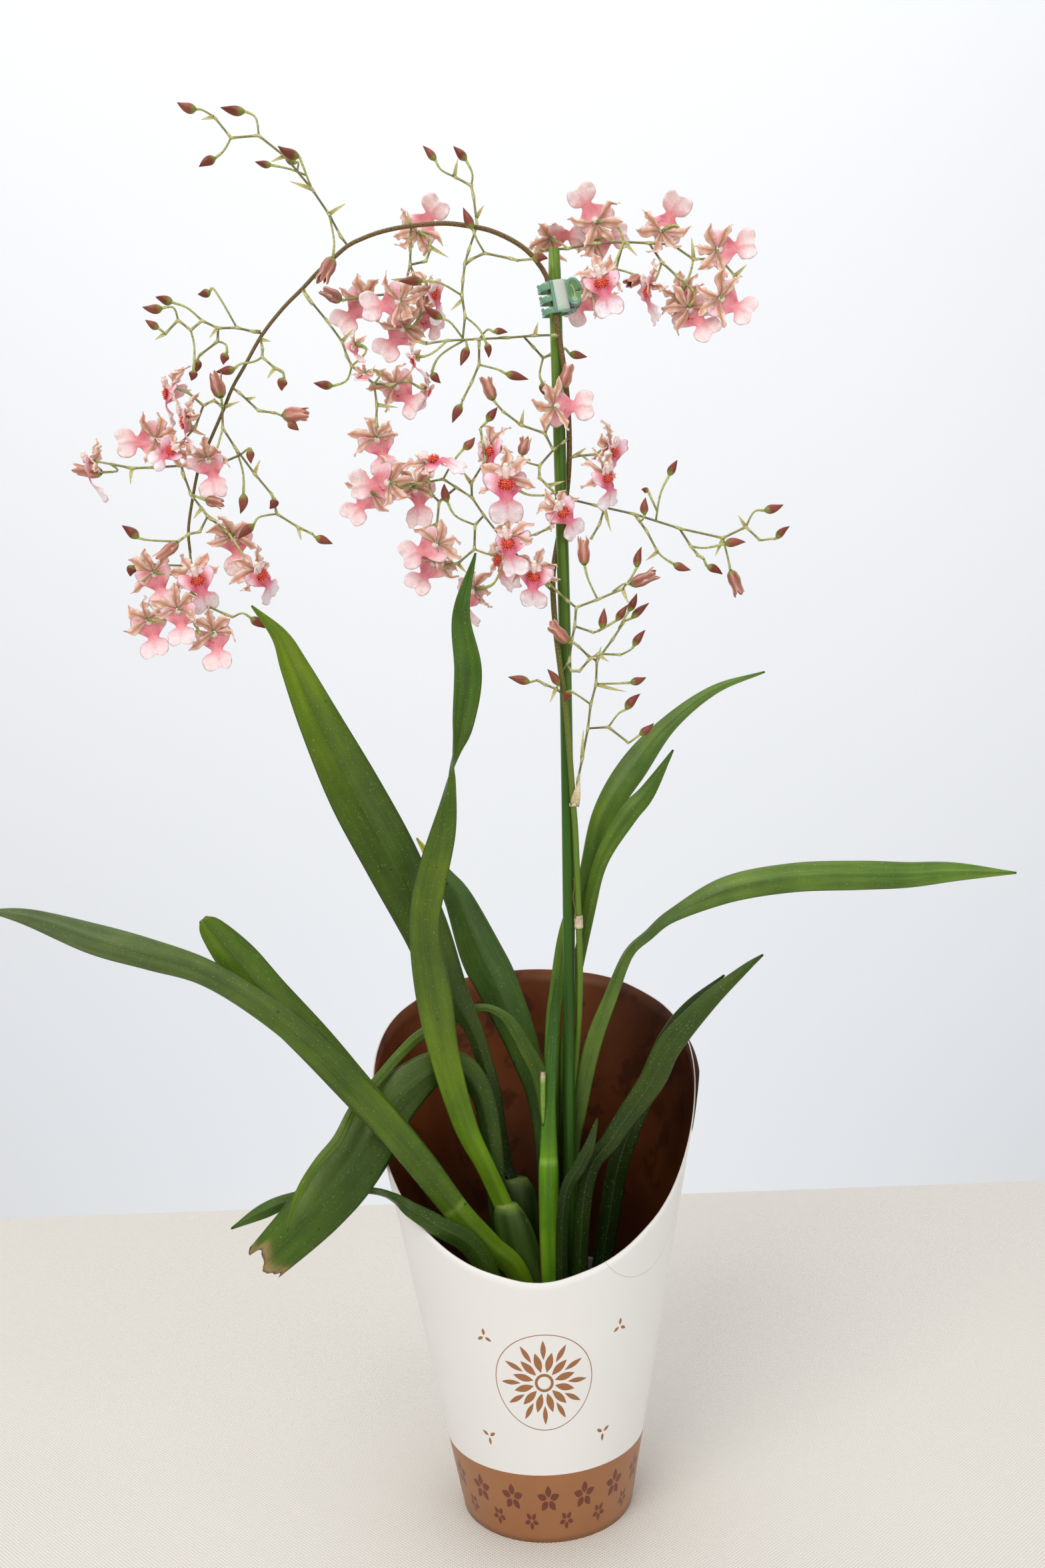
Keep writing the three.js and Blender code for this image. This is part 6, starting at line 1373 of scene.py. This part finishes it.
def pseudobulb(name, plan):
    """A flattened, ribbed bulb with a pale collar where its leaf starts, and painted shade in the grooves
    between its ribs.
    """
    x, y, top_x, foot, top, width, depth, light = plan
    sides, rows = 60, 44
    curve = spline(np.array(BULB_PROFILE) * 40, 1.5) / 40
    share = np.linspace(0, 1, rows)[:, None]
    angles = around(sides)
    ribs = 0.06 * np.cos(5 * angles) + 0.025 * np.cos(11 * angles + 1)
    shrink = np.sin(math.pi * np.minimum(share * 0.9 + 0.1, 1))
    radius = np.interp(share, curve[:, 0], curve[:, 1]) * (1 + ribs * shrink)
    aside = x + (top_x - x) * share + width / 2 * radius * np.cos(angles)
    heights = foot + (top - foot) * share + 0 * radius
    points = np.stack([aside, y + depth / 2 * radius * np.sin(angles), heights], axis=2)
    # Painted shade: the grooves between the ribs are darkened, more so higher up.
    groove_shade = np.clip(-(np.cos(5 * angles)), 0, 1) * (0.3 + 0.5 * share)
    shade = blend(rgb(60, 84, 30), rgb(38, 58, 22), groove_shade)
    shade = blend(shade, rgb(110, 132, 54), 0.9 * smooth(0.93, 1.0, share) + 0 * groove_shade)
    skin = Skin("bulb")
    skin.add(points, closed(sides, rows), shade * light, "bulb")
    skin.piece(name + "_fine", [name])


def shoot():
    """Flat sheaths folded round each other, with dry brown edges and a torn tip."""
    skin = Skin("leaf", "papery")
    rows, sides = spline(SHOOT, 3), 20
    points, tints, marks = [], [], []
    for x, z, width, y in rows:
        step = SHOOT_STEP * (1 - smooth(SHOOT_JOINT - 1, SHOOT_JOINT + 1, z))
        colour = blend(rgb(96, 144, 26), rgb(72, 118, 28), smooth(SHOOT_JOINT - 1, SHOOT_JOINT + 12, z))
        colour = blend(colour, rgb(52, 92, 30), smooth(SHOOT_JOINT + 12, SHOOT_JOINT + 60, z))
        colour = blend(colour, rgb(140, 176, 70), 0.7 * bump(z, SHOOT_JOINT, 1.5))
        for a in around(sides):
            ring = [(width / 2 + step) * math.cos(a), (width * SHOOT_FLATNESS + step) * math.sin(a), 0]
            points.append(place(x, z, y) + np.array(ring))
            dry = smooth(0.8, 1.0, -math.cos(a)) * smooth(178, 150, z)
            tints.append(blend(colour, rgb(116, 78, 48), 0.85 * dry))
            marks.append([0.4 * math.cos(a), z])
    skin.add(points, closed(sides, len(rows)), tints, "leaf", marks)
    strip = world(SHOOT_STRIP)
    t, u = shares(12, 5)
    spine = np.array([np.interp(t[:, 0], [0, 0.6, 1], strip[:, k]) for k in range(3)]).T
    grid = spine[:, None] + u[..., None] * np.array([1.5, -0.4, 0]) * smooth(-0.3, 0.5, t[..., None])
    grid[..., 1] += 0.8 * (u ** 2 - 0.5)
    dry = smooth(0.84, 0.92, t + 0.03 * np.sin(9 * u))
    tints = blend(rgb(120, 160, 54), rgb(206, 186, 150), dry)
    skin.sheet(grid, SHEATH_THICKNESS, tints, "papery")
    skin.piece("shoot_fine", ["shoot"])


# ---- sleeve, pot, soil and stake ------------------------------------------------------------

RIM_ANGLES = [0, 30, 60, 80, 100, 120, 150, 180]  # from the front
RIM_HEIGHTS = [148, 157, 177, 203, 232, 250, 263, 266]
# The overlap's turned corner: degrees from the front, how far it spreads to each side of its peak,
# how deep it starts below the rim, and how far it rises and stands out at its peak.
TAB_START, TAB_PEAK, TAB_END = 82, 94, 110
TAB_SPREAD = (11, 15)
TAB_THICKNESS = 0.5
TAB_DEPTH, TAB_RISE, TAB_OUT = 6, 4.4, 1.3
POT_PROFILE = [  # radius and height, outside and then inside
    [0.2, 0], [40, 0], [41, 1], [59.8, 101], [61.0, 102.4], [61.2, 107.4], [60.6, 108], [59.2, 107.6],
    [58.8, 101], [40.2, 1.8], [0.2, 1.4],
]
SOIL_PROFILE = [[0.2, 1.8], [39, 1.8], [57.6, 91], [40, 92.6], [0.2, 94]]
CHIP_COUNT = 260
CHIP_REACH = 54
CHIP_TINT = (88, 58, 36)
STAKE_RADIUS = 3.1


def rim_height(from_front):
    """Height of the sleeve's slanting top edge, in degrees from the front, with no corners."""
    spread = [from_front + d for d in (-8, -4, 0, 4, 8)]
    return sum(np.interp(abs((d + 180) % 360 - 180), RIM_ANGLES, RIM_HEIGHTS) for d in spread) / len(spread)


def sleeve():
    skin = Skin("sleeve_outside", "sleeve_inside", "sleeve_edge")
    sides, rows = 144, 36
    points = []
    for inset, order in ((0, 1), (SLEEVE_WALL, -1)):
        for share in np.linspace(0, 1, rows)[::order]:
            for j in range(sides):
                angle = TURN * j / sides
                z = share * rim_height(math.degrees(math.atan2(math.cos(angle), -math.sin(angle))))
                dent = 0.5 * math.sin(3 * angle + 1) * smooth(60, 240, z)
                radius = SLEEVE_FOOT_RADIUS + SLEEVE_FLARE * z - inset + dent
                points.append([radius * math.cos(angle), radius * math.sin(angle), z])
    skin.add(points, [], np.ones(3), "sleeve_outside")
    first = 0
    for stop, material in ((rows - 1, "sleeve_outside"), (rows, "sleeve_edge"),
                           (2 * rows - 1, "sleeve_inside"), (2 * rows, "sleeve_edge")):
        skin.join(quads(sides, 2 * rows, first, stop), material)
        first = stop
    turns, share = np.linspace(TAB_START, TAB_END, 29)[:, None], np.linspace(0, 1, 5)[None, :]
    peak = np.clip(1 - np.abs(turns - TAB_PEAK) / np.where(turns < TAB_PEAK, *TAB_SPREAD), 0, 1)
    rim = np.array([[rim_height(turn)] for turn in turns[:, 0]])
    tall = rim - TAB_DEPTH + (TAB_DEPTH + TAB_RISE * peak) * share
    reach = SLEEVE_FOOT_RADIUS + SLEEVE_FLARE * tall + 0.5 + TAB_OUT * peak * share
    angles = np.radians(turns - 90)
    tab = np.stack([reach * np.cos(angles), reach * np.sin(angles), tall], axis=2)
    skin.sheet(tab, TAB_THICKNESS, np.ones(3), "sleeve_inside")
    skin.piece("sleeve_card", ["sleeve"])


def turned(skin, profile, material, tint):
    sides = 72
    points = [[r * math.cos(a), r * math.sin(a), z] for r, z in profile for a in around(sides)]
    skin.add(points, quads(sides, len(profile)), tint, material)


def grow_pot():
    skin = Skin("clear_pot")
    turned(skin, POT_PROFILE, "clear_pot", np.ones(3))
    skin.piece("grow_pot_clear", ["grow_pot"])


def substrate():
    """Bark chips over a body of the same mix."""
    skin = Skin("bark")
    draw = random.Random("bark")
    turned(skin, SOIL_PROFILE, "bark", rgb(70, 46, 30))
    for _ in range(CHIP_COUNT):
        angle, reach = draw.uniform(0, TURN), CHIP_REACH * math.sqrt(draw.random())
        height = 94.6 - 3 * reach / 57 + draw.uniform(-1, 1)
        centre = np.array([reach * math.cos(angle), reach * math.sin(angle), height])
        size = np.array([draw.uniform(2, 5), draw.uniform(1.6, 3.6), draw.uniform(0.8, 1.8)])
        blob(skin, np.zeros(3), size, rgb(*[c * draw.uniform(0.7, 1.25) for c in CHIP_TINT]), "bark", 4)
        spin = Matrix.Rotation(draw.uniform(0, 3.1), 3, "Z")
        turn = np.array(spin @ Matrix.Rotation(draw.uniform(-0.5, 0.5), 3, "X"))
        chip = skin.points[-1]
        chip *= 1 + 0.18 * np.array([[draw.uniform(-1, 1)] for _ in chip])
        skin.points[-1] = chip @ turn.T + centre
    skin.piece("substrate_bark", ["substrate"])


def stake():
    skin = Skin("stake")
    path = spline(world(STAKE), 12)
    radii = np.full(len(path), STAKE_RADIUS)
    radii[-1] = STAKE_RADIUS - 0.5
    skin.tube(path, radii, np.ones(3), "stake", 20, lambda angle: 1 + 0.02 * np.cos(5 * angle))
    skin.piece("stake_lacquered", ["stake"])


# ---- clip -----------------------------------------------------------------------------------

CLIP_PIN = (32, 0)
CLIP_LEAN = 9
CLIP_MIDDLE = 624.7
CLIP_LOW, CLIP_HIGH = 616.8, 632.6
CLIP_TEETH = [(616.9, 620.1), (622.6, 625.9), (628.3, 632.4)]
PAD_MIDDLE = (34.4, 4.4, 625.9)  # of the rear jaw's thumb pad; the front one's is on the other side
PAD_REACH = (4.0, 6.9)
KNUCKLE_RADIUS = 2.25
# Each jaw's body, which side of the pin it is on, the middles of its teeth and of its plate as seen
# from above, and the heights of its knuckles.
JAWS = {
    "clip_front_jaw": ("clip_jaw", -1, [[17.4, -0.9], [17.5, -4.6], [19.7, -7.6], [23.4, -8.1]],
                       [[24.2, -8.1], [28.8, -6.5], [30.6, -4.7]], [(616.9, 618.4), (629.3, 632.5)]),
    "clip_rear_jaw": ("plant", 1, [[17.4, 1.2], [19.2, 3.3], [22.4, 4.3], [23.4, 4.3]],
                      [[24.2, 4.3], [29.6, 3.9], [31.0, 3.9]], [(622.1, 629.1)]),
}
SPRING_LEGS = [[33.6, -1.7, 619.5], [33.3, -1.3, 619.2]], [[33.3, 1.8, 621.3], [37.3, 3.2, 620.6]]
SPRING_WIRE = 0.27
COIL_RADIUS = 1.6
COIL_TURNS = 4.25
COIL_HEIGHTS = (619.0, 621.3)
JADE = rgb(112, 158, 130)
HOLLOW = rgb(115, 150, 85)


def bar(skin, plan, low, high, thick, material):
    """An upright band with rounded edges along a path seen from above; its edges slope from end to end."""
    plan = cut_corners(plan)
    sides, count = 20, len(plan)
    lows, highs = (np.linspace(*ends, count) for ends in (low, high))
    angles = around(sides)
    reach = (np.abs(np.cos(angles)) ** 5 + np.abs(np.sin(angles)) ** 5) ** -0.2
    points = []
    for (x, y), (dx, dy), foot, top in zip(plan, units(np.gradient(plan, axis=0)), lows, highs):
        aside = thick / 2 * reach * np.cos(angles)
        heights = (foot + top) / 2 + (top - foot) / 2 * reach * np.sin(angles)
        points.append(np.stack([x - aside * dy, y + aside * dx, heights], axis=1))
    skin.add(points, closed(sides, count), JADE, material)


def leaning(points):
    """The clip's points, drawn upright, as they lie once it leans about the middle of its pin."""
    lean = math.radians(CLIP_LEAN)
    aside, up = points[:, 0] - CLIP_PIN[0], points[:, 2] - CLIP_MIDDLE
    return np.stack([CLIP_PIN[0] + aside * math.cos(lean) - up * math.sin(lean), points[:, 1],
                     CLIP_MIDDLE + aside * math.sin(lean) + up * math.cos(lean)], axis=1)


def jaw(node, body, side, teeth, plate, knuckles):
    """Three teeth with knobs, a frosted plate, an oval thumb pad with a raised rim, and knuckles."""
    skin = Skin("clip_green", "clip_frost")
    for low, high in CLIP_TEETH:
        bar(skin, teeth, (low + 0.3, low), (low + 2.3, high), 1.2, "clip_green")
        blob(skin, np.array([*teeth[1], low + 2.9]), np.array([0.85, 0.85, 1.0]), JADE, "clip_green", 8)
    edge = np.array([teeth[-1], plate[0]]) + [[-0.5, 0], [0.3, 0]]
    for path, low, high, thick, material in (
            (edge, CLIP_LOW, CLIP_HIGH, 1.4, "clip_green"),
            (plate, CLIP_LOW + 0.9, CLIP_HIGH - 0.1, 1.2, "clip_frost"),
            (plate, CLIP_LOW, CLIP_LOW + 1.1, 1.5, "clip_green")):
        bar(skin, path, (low, low), (high, high), thick, material)
    rho, spin = shares(17, 37, 0, TURN)
    axes = np.array([[0.97, side * 0.24, 0], [0, 0, 1], [-0.24, side * 0.97, 0]])
    middle = np.array([PAD_MIDDLE[0], side * PAD_MIDDLE[1], PAD_MIDDLE[2]])

    def on_pad(aside, upward, rise):
        steps = np.broadcast_arrays(PAD_REACH[0] * aside, PAD_REACH[1] * upward, rise)
        return sum((step[..., None] * axis for step, axis in zip(steps, axes)), middle)

    rise = 1.0 * bump(rho, 0.9, 0.09) - 0.7 * (1 - rho ** 2)
    tints = blend(HOLLOW, JADE, smooth(0.72, 0.82, rho) + 0 * spin)
    skin.sheet(on_pad(rho * np.cos(spin), rho * np.sin(spin), rise), 1.2, tints, "clip_green")
    # A thin loop in the hollow, tinted pale: a painted highlight along it.
    highlight_loop = on_pad(-0.32 + 0.34 * np.cos(spin[0]), -0.12 + 0.62 * np.sin(spin[0]), np.array(-0.1))
    skin.tube(highlight_loop, 0.3, blend(JADE, rgb(226, 240, 230), 0.5), "clip_green")
    for low, high in knuckles:
        skin.tube([[*CLIP_PIN, low], [*CLIP_PIN, high]], KNUCKLE_RADIUS, JADE, "clip_green", 24)
    skin.points = [leaning(points) for points in skin.points]
    skin.piece(node + "_fine", [node], body)


def spring():
    """A coil round the pin between two legs. The pin keeps its CAD shape, in steel."""
    for slot in frame["nodes"]["clip_pin"].material_slots:
        slot.material = MATERIALS["steel"]
    skin = Skin("steel")
    turn = np.linspace(0, TURN * COIL_TURNS, 86)
    heights = np.linspace(*COIL_HEIGHTS, 86)
    coil = np.stack([CLIP_PIN[0] + COIL_RADIUS * np.cos(turn), COIL_RADIUS * np.sin(turn), heights], axis=1)
    path = np.vstack([SPRING_LEGS[0], coil, SPRING_LEGS[1]])
    skin.tube(leaning(path), SPRING_WIRE, np.ones(3), "steel")
    skin.piece("clip_spring_coil", ["clip_spring"])


# ---- stage ----------------------------------------------------------------------------------

CAMERA_PITCH = 6.02  # degrees down
CAMERA_ROLL = -2.08
CAMERA_LENS = 35
CAMERA_SENSOR = 36
CLOTH_THREAD = 0.0022
LIGHTS = {  # place, target, size, power, colour
    "key": ((-0.9, -1.7, 1.9), (0, 0, 0.35), 1.4, 30, (1.0, 0.99, 0.97)),
    "fill": ((1.2, -1.7, 0.8), (0, 0, 0.5), 1.6, 9.5, (0.97, 0.985, 1.0)),
    "wall_wash": ((0, 0.2, 2.0), (0, 1.1, 0.2), 1.8, 12.4, (0.98, 0.99, 1.0)),
    "wall_low": ((0, 0.62, -0.7), (0, 1.1, 0.05), 1.2, 3.2, (0.98, 0.99, 1.0)),
}
STUDIO_COLOUR = (0.97, 0.98, 1.0, 1)
STUDIO_STRENGTH = 0.45
FLOOR = [(-3, -2, 0), (3, -2, 0), (3, 0.42, 0), (-3, 0.42, 0)]
WALL = [(-4, 1.1, -1.5), (4, 1.1, -1.5), (4, 1.1, 3), (-4, 1.1, 3)]


def backdrop(name, corners, material):
    mesh = bpy.data.meshes.new(name)
    mesh.from_pydata(corners, [], [list(range(len(corners)))])
    mesh.materials.append(MATERIALS[material])
    made(name, mesh)


def stage():
    cloth = Nodes("stage_floor", Roughness=0.85)
    threads = [cloth.math("SINE", cloth.times(where, TURN / CLOTH_THREAD))
               for where in list(cloth.split(cloth.position()))[:2]]
    weave = cloth.times(*threads)
    shade = cloth.ramp(weave, (0.1, 0.0), (0.9, 1.0))
    cloth.surface(cloth.mix(shade, rgb(228, 223, 214), rgb(194, 188, 178)), weave, 0.0004, 0.3)
    wall = Nodes("stage_wall", Roughness=0.9)
    wall.surface(wall.mix(wall.noise(1.5, 1), rgb(240, 242, 246), rgb(244, 246, 249)))
    clear = wall.node("BsdfTransparent", {}).outputs[0]
    behind = wall.node("NewGeometry", {}).outputs["Backfacing"]  # where the wall hides nothing
    sides = wall.node("MixShader", {0: behind, 1: wall.shader.outputs[0], 2: clear})
    wall.put(wall.tree.nodes["Material Output"].inputs["Surface"], sides.outputs[0])
    backdrop("floor", FLOOR, "stage_floor")
    backdrop("wall", WALL, "stage_wall")


def lights():
    for name, (origin, target, size, power, colour) in LIGHTS.items():
        data = bpy.data.lights.new(name, "AREA")
        data.shape, data.size, data.energy, data.color = "SQUARE", size, power, colour
        thing = made(name, data)
        thing.location = origin
        thing.rotation_euler = (Vector(target) - Vector(origin)).to_track_quat("-Z", "Y").to_euler()
    studio = bpy.context.scene.world = bpy.data.worlds.new("studio")
    studio.use_nodes = True
    background = studio.node_tree.nodes["Background"]
    background.inputs["Color"].default_value = STUDIO_COLOUR
    background.inputs["Strength"].default_value = STUDIO_STRENGTH
    bpy.context.scene.view_settings.view_transform = "Standard"


def camera():
    data = bpy.data.cameras.new("camera")
    data.lens = CAMERA_LENS
    data.sensor_width = CAMERA_SENSOR
    thing = bpy.context.scene.camera = made("camera", data)
    pitch = Matrix.Rotation(math.radians(90 - CAMERA_PITCH), 4, "X")
    roll = Matrix.Rotation(math.radians(CAMERA_ROLL), 4, "Z")
    thing.matrix_world = Matrix.Translation((0, -EYE_DISTANCE * MM, EYE_HEIGHT * MM)) @ (pitch @ roll)


camera()
lights()
stage()
sleeve()
grow_pot()
substrate()
stake()
for jaw_name, jaw_plan in JAWS.items():
    jaw(jaw_name, *jaw_plan)
spring()
flower_stem()
for bulb_name, bulb_plan in BULBS.items():
    pseudobulb(bulb_name, bulb_plan)
shoot()
for leaf_name, leaf_stations in LEAVES.items():
    leaf(leaf_name, leaf_stations)
for spray_name, spray_plan in SPRAYS.items():
    spray(spray_name, spray_plan)
